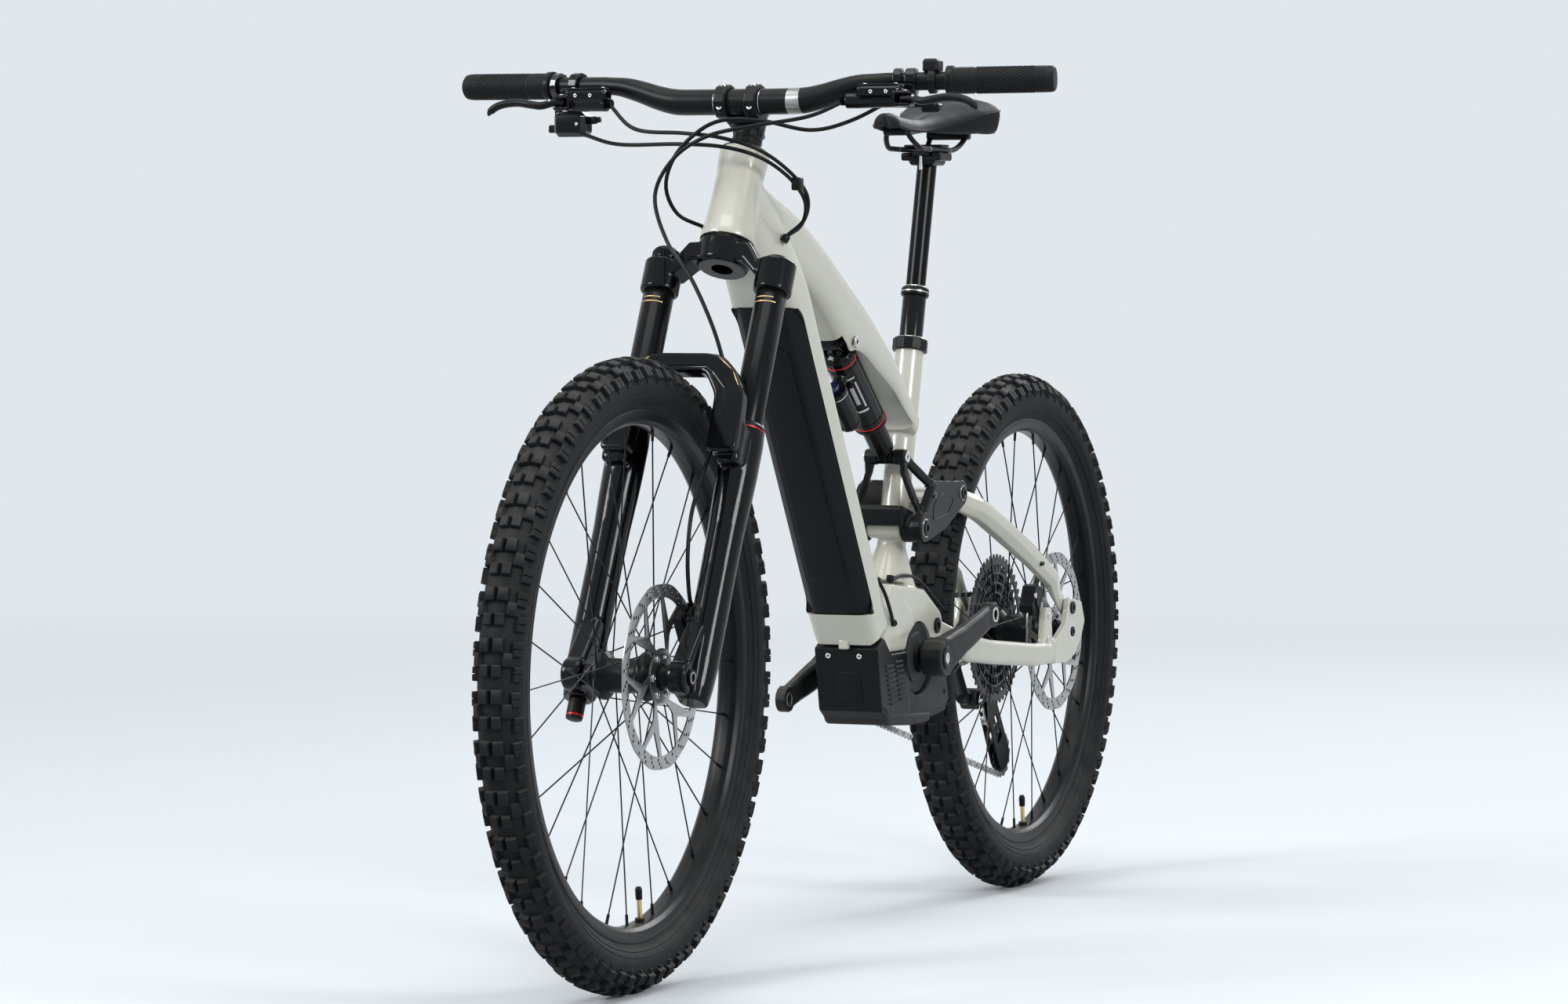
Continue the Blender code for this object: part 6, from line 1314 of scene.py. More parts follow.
def forkLowers():
    legX, ahead, top = forkSizes["legX"], forkSizes["ahead"], forkSizes["legTop"]
    pieces = []
    for side in (-1, 1):
        x = side * legX
        profile = [
            (0, top), (0.0225, top), (0.0235, top - 0.005), (0.0246, top - 0.020),
            (0.0246, top - 0.060), (0.0236, top - 0.095), (0.0222, top - 0.130),
            (0.0216, 0.150), (0.0218, 0.030), (0.0200, -0.002), (0.0178, -0.020), (0, -0.020),
        ]
        pieces.append(turned(f"leg{side}", "forkGloss", profile, steer(x, ahead, 0), up, 64))
        low, high = sidePair(side, 0.0553, 0.0805)
        lip = arc((0.037, 0), 0.020, 60, -120, 12)
        foot = [(-0.010, 0.055), (0.025, 0.078), *lip, (-0.004, -0.019), (-0.014, 0)]
        foot = [steerPoint(*spot) for spot in foot]
        pieces.append(sidePlate(f"foot{side}", "forkGloss", foot, low, high, (), 0.004))
        start, end = (x - 0.015, -0.046, top - 0.060), (x + 0.015, -0.004, top - 0.005)
        pieces.append(block(f"archFoot{side}", "forkGloss", start, end, 0.006, steering))
    start, end = (0.0520, 0.000, 0.070), (legX, 0.034, 0.112)
    pieces.append(block("caliperBoss", "forkGloss", start, end, 0.003, steering))
    outer = [
        (0.0885, 0.283), (0.0875, 0.325), (0.0845, 0.363),
        (0.0700, 0.388), (0.0505, 0.408), (0.030, 0.411), (0, 0.411),
    ]
    inner = [(0.030, 0.386), (0.048, 0.357), (0.050, 0.283)]
    loop = [(-x, h) for x, h in outer[:-1]] + outer[::-1] + inner[::-1] + [(-x, h) for x, h in inner]
    loop = rounded(loop, 0.008, 3)
    pieces.append(frontPlate("arch", "forkGloss", loop, 0.034, 0.056, (), 0.003))
    cuts = []
    for side in (-legX, legX):
        cuts.append(legRod(f"legBore{side}", "plastic", side, 0.020, top + 0.02, 0.0196, None, 0, 48))
    cuts.append(across("axleBore", "plastic", frontAxle, -0.12, 0.12, 0.0078, None, 0, 32))
    pocket = [
        (0.030, 0.394), (0.042, 0.386), (0.060, 0.366), (0.066, 0.330),
        (0.0585, 0.330), (0.052, 0.362), (0.034, 0.3895),
    ]
    pocket = rounded([(-0.030, 0.394), *pocket, *[(-x, h) for x, h in pocket[:0:-1]]], 0.002)
    cuts.append(frontPlate("archPocket", "plastic", pocket, 0.0545, 0.07))
    body = fused("lowerCasting", "forkGloss", pieces, 0.0014, 9, 0.6, cuts)
    extras = []
    for side in (-1, 1):
        x = side * legX
        seal = [
            (0.0194, top - 0.004), (0.0232, top - 0.004), (0.0232, top + 0.001),
            (0.0205, top + 0.0045), (0.0194, top + 0.0045),
        ]
        extras.append(turned(f"wiper{side}", "hose", seal, steer(x, ahead, 0), up, 56, True, 0.0005))
        trim = hoopProfile(0.02325, 0.0236, top - 0.0042, top - 0.0030)
        extras.append(turned(f"redTrim{side}", "red", trim, steer(x, ahead, 0), up, 56, True))
        dashes = ((0.050, 0.4085), (0.068, 0.3935)), ((0.0725, 0.3885), (0.0815, 0.3720))
        for k, (a, b) in enumerate(dashes):
            start = steer(side * (a[0] - 0.004), 0.0562, a[1] - 0.004)
            end = steer(side * (b[0] - 0.004), 0.0562, b[1] - 0.004)
            extras.append(rod(f"archLine{side}{k}", "gold", start, end, 0.0006, None, 0.0001, 8))
        extras.append(bolt(f"footBolt{side}", frontAxle, side * 0.0804, side, 0.0100, "satin", 0.0030))
        extras.append(sideRing(f"axleRing{side}", "bright", frontAxle, side, 0.0806, 0.0836, 0.0056, 0.0072))
    for k, height in enumerate((0.046, 0.028)):
        spot = steer(-legX + 0.004, 0.0290, height)
        extras.append(socketHead(f"pinchBolt{k}", 0.0042, 0.003, 0.0018, 0.0006, spot, forward))
    start, end = (0.0425, 0.0420, 0.3360), (0.0600, 0.0570, 0.3440)
    extras.append(block("hoseGuide", "satin", start, end, 0.0015, steering))
    whole = gathered("forkCasting", [body, *extras], 50)
    fit(whole, "fork_lowers", "fork_lowers", "front_axle")


def forkKnobs():
    legX, ahead = forkSizes["legX"], forkSizes["ahead"]
    profile = [
        (0, 0.018), (0.0125, 0.018), (0.0155, 0.0155), (0.0168, 0.013),
        (0.0168, 0.003), (0.015, 0.0006), (0, 0.0006),
    ]
    base = turned("damperBody", "forkGloss", profile, steer(-legX, ahead, 0.5540), up, 64, False, 0.0006)
    spots = []
    for k in range(24):
        angle = radians(15 * k)
        side, further = Vector((cos(angle), 0, 0)) * 0.0166, forward * (sin(angle) * 0.0166)
        spots.append((steer(-legX, ahead, 0.5622) + side + further, up))
    notch = rod("knobRib", "forkGloss", (0, 0, -0.0040), (0, 0, 0.0040), 0.00085, None, 0.0002, 8)
    ring = copiesAt("damperRibs", "forkGloss", notch, spots)
    start, end = steer(-legX, ahead + 0.004, 0.5721), steer(-legX, ahead + 0.011, 0.5721)
    arrow = rod("knobMark", "mark", start, end, 0.0006, None, 0.0001, 8)
    fit(gathered("damperDial", [base, ring, arrow]), "damper_knob", "damper_knob")
    foot = steer(-legX, ahead, -0.0203)
    stub = [(0, 0), (0.0104, 0), (0.0104, -0.0185), (0.0098, -0.0190), (0, -0.0190)]
    band = [(0, -0.0190), (0.0100, -0.0190), (0.0105, -0.0194), (0.0105, -0.0214), (0, -0.0214)]
    end = [(0, -0.0214), (0.0102, -0.0214), (0.0100, -0.0240), (0.0085, -0.0248), (0, -0.0248)]
    pieces = []
    for name, look, profile, ease in (
        ("reboundBody", "plastic", stub, 0.0005),
        ("reboundRing", "red", band, 0.0),
        ("reboundEnd", "plastic", end, 0.0),
    ):
        pieces.append(turned(name, look, profile, foot, up, 40, False, ease))
    fit(gathered("reboundDial", pieces), "rebound_knob", "rebound_knob")


def caliperPiece(node, body, centre):
    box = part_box(node)
    low, high = Vector(box[0]), Vector(box[1])
    x = rotorSizes["front" if node.startswith("front") else "rear"]
    start, end = (x - 0.0017, low.y - 0.01, low.z - 0.01), (x + 0.0017, high.y + 0.01, high.z + 0.01)
    slot = block(f"{node}Slot", "plastic", start, end)
    extras = [castFrom(node, "satin", 0.0008, 4, 0.7, cuts=[slot])]
    for k, (dy, dz) in enumerate(((-0.011, 0.008), (0.011, -0.006))):
        spot = beside(centre, dy, dz)
        extras.append(bolt(f"{node}Bolt{k}", spot, high.x - 0.0002, 1, 0.0040, "bright", 0.0020))
    near, far = high.x - 0.001, high.x + 0.0022
    extras.append(across(f"{node}Piston", "plastic", centre, near, far, 0.0095, None, 0.0008))
    for way in (-1, 1):  # a pad on each side of the disc
        near, far = sorted((x + way * 0.0013, x + way * 0.0036))
        start, end = at(near, beside(centre, -0.009, -0.004)), at(far, beside(centre, 0.009, 0.006))
        extras.append(block(f"{node}Pad{way}", "steel", start, end, 0.0003))
    fit(gathered(node + "Body", extras, 40), body, node)


forkUpper()
forkLowers()
forkKnobs()
caliperPiece("front_caliper", "fork_lowers", steerPoint(-0.0175, 0.091))
caliperPiece("rear_caliper", "swingarm", beside(rearAxle, -0.0903, 0.0463))
print("fork made")


# Cockpit
barMiddle = Vector((0, -0.30566, 1.05507))
barKink = barMiddle + Vector((0.170, 0.0087, 0.022))
barEnd = barMiddle + Vector((0.390, 0.0462, 0.0245))
barRadii = ((0, 0.0159), (0.085, 0.0159), (0.105, 0.01495), (0.150, 0.0128), (0.170, 0.0111), (0.40, 0.0111))
leverX = 0.228


def barAt(x):
    share = (abs(x) - barKink.x) / (barEnd.x - barKink.x)
    spot = barKink.lerp(barEnd, share)
    return Vector((x, spot.y, spot.z))


def barWay(side):
    way = (barEnd - barKink).normalized()
    return Vector((way.x * side, way.y, way.z))


def barRadius(x):
    for (a, first), (b, last) in zip(barRadii, barRadii[1:]):
        if abs(x) <= b:
            return first + (last - first) * (abs(x) - a) / (b - a)
    return barRadii[-1][1]


def handlebar():
    rise = [
        (0, 0, 0), (0.055, 0, 0), (0.085, 0.0003, 0.0008),
        (0.110, 0.0020, 0.0062), (0.135, 0.0046, 0.0140), (0.160, 0.0076, 0.0200),
        (0.185, 0.0113, 0.0220), (0.205, 0.0147, 0.0224),
    ]
    left = [barMiddle + Vector(p) for p in rise] + [barEnd]
    points = [Vector((-p.x, p.y, p.z)) for p in left[:0:-1]] + left
    route = smoothRoute(points, 0.008)
    tube = pipe("barTube", "satin", route, [barRadius(p.x) for p in route], 40)
    bands = []
    fine = smoothRoute(points, 0.0004)
    for name, look, low, high in (
        ("bandInner", "steel", 0.0290, 0.0305),
        ("bandOuter", "steel", -0.0305, -0.0290),
        ("bandMark", "rotor", 0.066, 0.083),
    ):
        part = [p for p in fine if low <= p.x <= high]
        bands.append(pipe(name, look, part, [barRadius(p.x) + 0.00015 for p in part], 40))
    fit(gathered("barWithBands", [tube, *bands], 40), "steering_assembly", "handlebar")


def stem():
    extras = [castFrom("stem", "satin", 0.0010, 6, 0.6)]
    height = 0.7563
    for side in (-0.020, 0.020):
        for rise in (-0.0165, 0.0165):
            level = height + rise * 0.86
            spot = steer(side, 0.0535, level)
            extras.append(socketHead(f"stemBolt{side}{rise}", 0.0036, 0.003, 0.0016, 0.0006, spot, forward))
            start, end = steer(side, 0.030, level), steer(side, 0.0525, level)
            extras.append(rod(f"stemBoss{side}{rise}", "satin", start, end, 0.0050, None, 0.0008, 24))
    cap = [
        (0, 0.7803), (0.0165, 0.7803), (0.0180, 0.7815), (0.0175, 0.7845),
        (0.0060, 0.7850), (0.0055, 0.7838), (0, 0.7838),
    ]
    cap = onSteerer("topCap", "satin", cap, 56, False, 0.0003)
    extras += [cap, socketHead("topCapBolt", 0.0045, 0.0024, 0.0020, 0.0005, steer(0, 0, 0.7846), up)]
    for k, rise in enumerate((0.7385, 0.7700)):
        spot = steer(0.0128, -0.0185, rise)
        extras.append(socketHead(f"pinch{k}", 0.0032, 0.003, 0.0014, 0.0005, spot, (1, 0.4, 0), 20))
    for k, rise in enumerate((0.7150, 0.7225)):
        ring = hoopProfile(0.0186, 0.0190, rise, rise + 0.0004)
        extras.append(onSteerer(f"spacerSeam{k}", "hose", ring, 48, True))
    fit(gathered("stemBody", extras, 40), "steering_assembly", "stem")


def grips():
    for word, side in (("left", 1), ("right", -1)):
        origin, way = barAt(side * 0.2620), barWay(side)
        profile = [
            (0, 0), (0.0178, 0), (0.0180, 0.0010), (0.0180, 0.0080), (0.0172, 0.0092), (0.0158, 0.0100)
        ]
        total = 0.1325
        for first, count in ((0.0125, 6), (total - 0.0230, 4)):
            for k in range(count):
                start = first + 0.0035 * k
                profile += [(0.0158, start), (0.0164, start + 0.0006)]
                profile += [(0.0164, start + 0.0020), (0.0158, start + 0.0026)]
            if count == 6:
                profile += [(0.0155, 0.0350), (0.0155, total - 0.024)]
        profile += [(0.0162, total - 0.0070), (0.0155, total - 0.0020), (0.0135, total), (0, total)]
        base = turned(f"gripCore{word}", "grip", profile, origin, way, 56, False, 0, 30)
        matrix = facing(origin, way)
        spots = []
        for row in range(19):
            for k in range(22):
                angle = 2 * pi * (k + 0.5 * (row % 2)) / 22
                out = Vector((cos(angle), sin(angle), 0))
                local = out * 0.0155 + Vector((0, 0, 0.0380 + 0.0038 * row))
                spots.append((matrix @ local, matrix.to_3x3() @ out))
        start, end = (-0.0015, -0.0013, -0.0006), (0.0015, 0.0013, 0.0009)
        pad = block("gripPad", "grip", start, end, 0.0004, Matrix.Rotation(radians(45), 4, "Z"), 1)
        pads = copiesAt(f"gripPads{word}", "grip", pad, spots)
        collar = hoopProfile(0.0178, 0.0183, 0.0015, 0.0075)
        collar = turned(f"gripScrewRing{word}", "satin", collar, origin, way, 48, True, 0.0002)
        fit(gathered(f"{word}GripRubber", [base, pads, collar], 35), "steering_assembly", f"grip_{word}")


def leverPivot(side):
    middle = barAt(side * leverX)
    return Vector((middle.x, middle.y - 0.046, middle.z - 0.022))


leverLine = [
    (-0.004, 0.0000, 0.0000), (0.010, -0.0035, 0.0000), (0.024, -0.0085, -0.0035),
    (0.038, -0.0095, -0.0020), (0.056, -0.0080, 0.0005), (0.074, -0.0085, -0.0010),
    (0.086, -0.0095, -0.0050), (0.093, -0.0100, -0.0105), (0.0955, -0.0100, -0.0150),
]


def brakes():
    for word, side in (("left", 1), ("right", -1)):
        pivot = leverPivot(side)
        extras = [castFrom(f"brake_master_{word}", "forkGloss", 0.0008, 4, 0.7)]
        low, high = sidePair(side, 0.169, 0.219)
        start, end = (low, pivot.y - 0.0055, pivot.z + 0.0160), (high, pivot.y + 0.0135, pivot.z + 0.0180)
        extras.append(block(f"lid{word}", "satin", start, end, 0.0008))
        for k, x in enumerate((0.174, 0.214)):
            spot = Vector((side * x, pivot.y + 0.004, pivot.z + 0.0184))
            name = f"lidScrew{word}{k}"
            extras.append(socketHead(name, 0.0022, 0.0012, 0.0009, 0.0003, spot, (0, 0, 1), 20))
        for k, x in enumerate((0.186, 0.206)):
            spot = Vector((side * x, pivot.y - 0.0082, pivot.z + 0.0085))
            name = f"sideScrew{word}{k}"
            extras.append(socketHead(name, 0.0024, 0.0016, 0.0010, 0.0004, spot, (0, -1, 0), 20))
        start, end = pivot + Vector((0, 0, 0.0092)), pivot + Vector((0, 0, 0.0104))
        extras.append(rod(f"pivotPin{word}", "bright", start, end, 0.0034, None, 0.0004, 20))
        inner = Vector((side * (0.150 if side > 0 else 0.168), pivot.y + 0.004, pivot.z - 0.002))
        boot = [(0, 0)]
        for k in range(5):
            boot += [(0.0046, 0.0014 * k), (0.0058, 0.0014 * k + 0.0007)]
        boot += [(0.0040, 0.0078), (0, 0.0078)]
        extras.append(turned(f"boot{word}", "hose", boot, inner, (-side, 0, 0), 28))
        fit(gathered(f"{word}BrakeMaster", extras, 40), "steering_assembly", f"brake_master_{word}")
        route = smoothRoute([pivot + Vector((side * x, y, z)) for x, y, z in leverLine], 0.002)
        end = len(route) - 1
        radii = [
            0.0046 * min(1.0, 0.3 + 0.7 * (end - k) / 4) * (1 + 0.10 * sin(pi * k / end))
            for k in range(end + 1)
        ]
        blade = pipe(f"blade{word}", "satin", route, radii, 24)
        for vertex in blade.data.vertices:  # a blade is broader than it is thick
            nearest = min(route, key=lambda p: abs(p.x - vertex.co.x))
            vertex.co.y += (vertex.co.y - nearest.y) * 0.25
        start, end = (pivot + Vector((side * 0.013, y, 0.0028)) for y in (-0.0070, -0.0100))
        reach = rod(f"reachScrew{word}", "bright", start, end, 0.0016, None, 0.0002, 16)
        fit(gathered(f"{word}LeverBlade", [blade, reach]), f"brake_lever_{word}", f"brake_lever_{word}")


def barControls():
    pod = castFrom("shifter_pod", "pod", 0.0008, 5, 0.7)
    middle = barAt(-0.255) + Vector((0.016, 0.006, -0.047))
    low, high = middle + Vector((-0.0165, -0.0166, -0.0110)), middle + Vector((0.0165, -0.0150, 0.0110))
    cap = block("podCap", "plastic", low, high, 0.0007)
    start, end = middle + Vector((0.0120, -0.0164, 0.0)), middle + Vector((0.0120, -0.0174, 0.0))
    screw = rod("podScrew", "bright", start, end, 0.0022, None, 0.0003, 20)
    profile = [(0, 0), (0.0048, 0), (0.0048, 0.010), (0.0036, 0.012), (0.0036, 0.016), (0, 0.016)]
    foot = middle + Vector((0.0205, 0.002, 0.004))
    barrel = turned("podBarrel", "plastic", profile, foot, (1, 0, 0.1), 28, False, 0.0004)
    fit(gathered("shifterCase", [pod, cap, screw, barrel], 40), "steering_assembly", "shifter_pod")
    for node, body, name, look in (
        ("shift_paddle", "shift_paddle", "shiftPaddle", "satin"),
        ("dropper_lever", "dropper_lever", "dropperPaddle", "satin"),
        ("remote_unit", "steering_assembly", "modeRemote", "plastic"),
        ("remote_button", "remote_button", "modeButton", "grip"),
    ):
        piece = castFrom(node, look, 0.0006, 4, 0.7, name)
        if node == "remote_unit":
            y, z = barAt(0.2445).yz
            start, end = (0.2365, y + 0.002, z + 0.0268), (0.2500, y + 0.0036, z + 0.0274)
            lamp = block("remoteLamp", "mark", start, end, 0.0002)
            piece = gathered(name + "Case", [piece, lamp], 50)
        fit(piece, body, node)


handlebar()
stem()
grips()
brakes()
barControls()
print("cockpit made")


# Hoses and cables
hoseSizes = {"radius": 0.0025, "step": 0.024, "fine": 0.008}
frontHoseRoute = [
    (0.1480, -0.329, 1.0537), (0.110, -0.352, 1.035), (0.050, -0.372, 1.024),
    (-0.010, -0.380, 1.012), (-0.055, -0.382, 0.985), (-0.078, -0.386, 0.940),
    (-0.055, -0.402, 0.885), (-0.010, -0.425, 0.835), (0.030, -0.443, 0.765),
    (0.046, -0.449, 0.700), (0.0445, -0.478, 0.655), (0.044, -0.520, 0.605), (0.044, -0.552, 0.560),
    (0.046, -0.567, 0.510), (0.0475, -0.566, 0.468), (0.0475, -0.5590, 0.4535),
]
rearHoseRoute = [
    (-0.1655, -0.329, 1.0535), (-0.120, -0.352, 1.022), (-0.050, -0.364, 1.016),
    (0, -0.364, 1.010), (0.042, -0.342, 0.995), (0.066, -0.302, 0.968),
    (0.072, -0.265, 0.940), (0.060, -0.246, 0.912), (0.040, -0.254, 0.892),
]
shiftHoseRoute = [
    (-0.215, -0.300, 1.018), (-0.150, -0.335, 1.004), (-0.060, -0.356, 1.003),
    (0, -0.356, 0.999), (0.040, -0.334, 0.986), (0.063, -0.297, 0.961),
    (0.068, -0.262, 0.933), (0.055, -0.242, 0.906), (0.036, -0.244, 0.892),
]
dropperHoseRoute = [
    (0.1962, -0.290, 1.057), (0.150, -0.317, 1.030), (0.105, -0.334, 1.019),
    (0.050, -0.352, 1.030), (0, -0.362, 1.031), (-0.032, -0.3715, 1.014), (-0.060, -0.371, 0.985),
    (-0.075, -0.360, 0.950), (-0.068, -0.340, 0.918), (-0.042, -0.318, 0.902),
]
swingarmHoseRoute = [
    (0.030, 0.112, 0.4487), (0.031, 0.150, 0.4550),
    (0.033, 0.200, 0.4480), (0.036, 0.245, 0.424), (0.040, 0.275, 0.404),
]


def hose(name, points, node=None, extras=(), step=None):
    # a free hose between two bodies: a fixed tube along a smooth route from start to end
    tube = pipe(name, "hose", smoothRoute(points, hoseSizes["fine"]), hoseSizes["radius"], 12)
    path = smoothRoute(points, step or hoseSizes["step"])
    length = sum((b - a).length for a, b in zip(path, path[1:]))
    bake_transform(tube)
    for extra in extras:
        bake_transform(extra)
    if node:
        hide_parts(node)
    return f"{name} {length * 1000:.0f}"


def hoses():
    route, legs = frontHoseRoute, "fork_lowers"
    made = [hose("frontBrakeHose", route, "front_brake_hose")]
    clip = block("hoseClip", "plastic", (0.063, -0.296, 0.947), (0.075, -0.282, 0.963), 0.0025)
    made.append(hose("rearBrakeHose", rearHoseRoute, "rear_hose_pair", [clip]))
    made.append(hose("shifterHose", shiftHoseRoute))
    made.append(hose("dropperCable", dropperHoseRoute, "dropper_hose"))
    route = swingarmHoseRoute
    made.append(hose("swingarmCable", route, "swingarm_hose", (), 0.012))
    cable = [(0.0395, 0.046, 0.456), (0.0450, 0.058, 0.436), (0.0462, 0.073, 0.414), (0.0425, 0.094, 0.395)]
    ports = [pipe("motorCable", "hose", smoothRoute(cable, 0.005), 0.0024, 12)]
    profile = [(0, -0.0030), (0.0046, -0.0030), (0.0046, 0.0002), (0.0032, 0.0022), (0, 0.0022)]
    for spot, way in (((0.0400, 0.0475, 0.4535), (1, 0.3, -0.8)), ((0.0425, 0.093, 0.396), (-1, 0.6, -0.7))):
        ports.append(turned("cablePort", "hose", profile, spot, way, 24))
    profile = [(0, -0.0080), (0.0052, -0.0080), (0.0052, -0.0012), (0.0038, 0.0012), (0, 0.0012)]
    for spot, way in (
        (rearHoseRoute[-1], (0.4, 0.2, 0.8)),
        (shiftHoseRoute[-1], (0.4, 0.2, 0.8)),
        (dropperHoseRoute[-1], (-0.6, 0.2, 0.7)),
        (swingarmHoseRoute[0], (0, -0.3, -1)),
    ):
        ports.append(turned("hosePort", "hose", profile, spot, way, 24))
    fit(gathered("framePorts", ports), "frame")
    return made


print("hoses made, lengths in mm:", ", ".join(hoses()))


# Seat
saddleSizes = {
    "noseY": 0.15453, "length": 0.271, "top": 1.083, "railLow": 1.0105, "halfWidth": 0.0725,
    "noseHalf": 0.019,
}


def saddleSection(share):
    # half width, top height and side depth at a share of the length from the nose
    flare = max(0.0, (share - 0.36) / 0.64)
    spread = flare * flare * (3 - 2 * flare)
    nose = min(1.0, (share + 0.02) / 0.09) ** 0.5
    tail = min(1.0, (1.02 - share) / 0.09) ** 0.5
    widening = (saddleSizes["halfWidth"] - saddleSizes["noseHalf"] - 0.006) * spread
    half = (saddleSizes["noseHalf"] + 0.006 * share + widening) * nose * tail
    top = saddleSizes["top"] - 0.026 - 0.010 * sin(pi * min(1.0, share / 0.8)) + 0.026 * share**2.2
    return half, top - 0.010 * (1 - nose), 0.019 + 0.030 * spread * tail


def saddle():
    rings, floor, count = [], saddleSizes["railLow"] + 0.0250, 72
    for k in range(count + 1):
        share = k / count
        half, top, depth = saddleSection(share)
        y, low = saddleSizes["noseY"] + saddleSizes["length"] * share, top - depth
        belly = max(floor, low)
        under = max(belly, min(top - 0.012, low + 0.006))
        section = [
            (0.0, 0.0010), (0.12, 0.0010), (0.24, 0.0008), (0.36, 0.0002),
            (0.48, -0.0007), (0.60, -0.0019), (0.71, -0.0035), (0.81, -0.0058),
            (0.89, -0.0085), (0.95, -0.0118), (0.985, -0.0155),
        ]
        edge = [(x * half, top + drop) for x, drop in section]
        shoulder = max(low + 0.002, top - 0.020)
        edge += [(half, shoulder), (0.97 * half, (low + shoulder) / 2), (0.90 * half, low)]
        edge += [(0.72 * half, (low + under) / 2 + 0.0005), (0.50 * half, under), (0.25 * half, under)]
        ring = []
        for side in (1, -1):
            points = edge if side > 0 else edge[:0:-1]
            for x, z in points:
                spot = Vector((side * x, y, z))
                if z > top - 0.018:
                    # pressure channel, flank creases and the slight waves of a stretched cover
                    along = max(0, sin(pi * min(1, max(0, (share - 0.12) / 0.80)))) ** 0.5
                    channel = 0.0052 * max(0, 1 - (x / 0.0125) ** 2) ** 2 * along
                    crease = 0.0014 * max(0, 1 - ((x / max(half, 0.001) - 0.66) / 0.05) ** 2)
                    crease = crease * max(0, min(1, (share - 0.30) * 4)) * min(1, (1.0 - share) * 8)
                    wave = 0.0005 * noise.noise(spot * 60) + 0.0003 * noise.noise(spot * 150)
                    spot.z += wave - channel - crease
                ring.append(spot)
            if side > 0:
                ring.append(Vector((0, y, under)))
        rings.append(ring)
    pad = skin("saddleCushion", "saddle", rings, 60)
    smooth = pad.modifiers.new("Crown", "SUBSURF")
    smooth.levels = smooth.render_levels = 1
    pad = solidFrom(pad, 60)
    fit(pad, "seatpost_and_saddle", "saddle_pad")
    # sewn edge
    seam = []
    for side in (1, -1):
        line = []
        for k in range(3, count - 2):
            share = k / count
            half, top, _ = saddleSection(share)
            y = saddleSizes["noseY"] + saddleSizes["length"] * share
            line.append(Vector((side * (half * 0.985 + 0.0002), y, top - 0.0155)))
        seam.append(pipe(f"saddleSeam{side}", "hose", line, 0.0007, 8))
        spots = [(p + Vector((side * 0.0006, 0, 0.0016)), (0, 1, 0)) for p in line[1:-1]]
        stitch = rod("stitch", "mark", (0, 0, -0.0011), (0, 0, 0.0011), 0.0003, None, 0.0001, 6)
        seam.append(copiesAt(f"saddleStitches{side}", "satin", stitch, spots))
    fit(gathered("saddlePiping", seam), "seatpost_and_saddle")


def seatHardware():
    clamp = castFrom("seat_clamp", "satin", 0.0007, 5, 0.7)
    top = at(0, seatLine(0.757))
    spot = top - seatWay * 0.006 + Vector((0, 0.025, 0))
    start, end = spot + Vector((-0.0122, 0.0002, 0)), spot + Vector((-0.0098, 0.0002, 0))
    screw = rod("clampScrew", "bright", start, end, 0.0034, None, 0.0005, 24)
    profile = [(0.0160, 0.0035), (0.0205, 0.0035), (0.0200, 0.0046), (0.0160, 0.0046)]
    lip = turned("clampLip", "bright", profile, top, seatWay, 56, True, 0.0002)
    fit(gathered("seatCollar", [clamp, screw, lip], 40), "frame", "seat_clamp")
    low, high = at(0, seatLine(0.580)), at(0, seatLine(0.828))
    end = (high - low).length
    tube = [(0.0133, 0), (0.0155, 0), (0.0155, end - 0.011), (0.0135, end - 0.011)]
    collar = [(0.0133, end - 0.0115), (0.0180, end - 0.0115), (0.0185, end - 0.0100), (0.0185, end - 0.0040)]
    collar += [(0.0178, end - 0.0012), (0.0160, end), (0.0133, end)]
    wiper = [(0.0132, end - 0.0008), (0.0158, end - 0.0008), (0.0152, end + 0.0012), (0.0132, end + 0.0012)]
    band = hoopProfile(0.01845, 0.0188, end - 0.0075, end - 0.0062)
    pieces = []
    for name, look, profile, steps, ease in (
        ("dropperTube", "forkGloss", tube, 64, 0.0004),
        ("dropperCollar", "satin", collar, 64, 0.0004),
        ("dropperWiper", "bright", wiper, 56, 0.0003),
        ("dropperBand", "bright", band, 64, 0.0),
    ):
        pieces.append(turned(name, look, profile, low, seatWay, steps, True, ease))
    fit(gathered("dropperOuterTube", pieces, 40), "frame", "dropper_outer")
    head = castFrom("seatpost", "satin", 0.0009, 4, 0.6, "postHead")
    bm = bmesh.new()
    bm.from_mesh(head.data)
    whole = bm.verts[:] + bm.edges[:] + bm.faces[:]
    bmesh.ops.bisect_plane(bm, geom=whole, plane_co=(0, 0, 0.982), plane_no=(0, 0, 1), clear_inner=True)
    bmesh.ops.holes_fill(bm, edges=[e for e in bm.edges if len(e.link_faces) == 1])
    bm.to_mesh(head.data)
    bm.free()
    post = seatRod("postTube", "stanchion", 0.753, 0.992, 0.0130, None, 0.0004, 64)
    y = seatLine(0.998)[0]
    extras = [head, post]
    for k, shift in enumerate((-0.020, 0.018)):
        row = y - 0.004 + shift
        start, end = (0, row, 0.9840), (0, row, 1.0065)
        extras.append(rod(f"postBolt{k}", "bright", start, end, 0.0024, None, 0.0003, 16))
        start, end = (-0.012, row, 1.0050), (0.012, row, 1.0050)
        extras.append(rod(f"postBarrel{k}", "satin", start, end, 0.0036, None, 0.0005, 24))
    start, end = (-0.0265, y - 0.019, 1.0135), (0.0265, y + 0.011, 1.0172)
    extras.append(block("railYoke", "satin", start, end, 0.0014))
    fit(gathered("dropperPost", extras, 40), "seatpost_and_saddle", "seatpost")


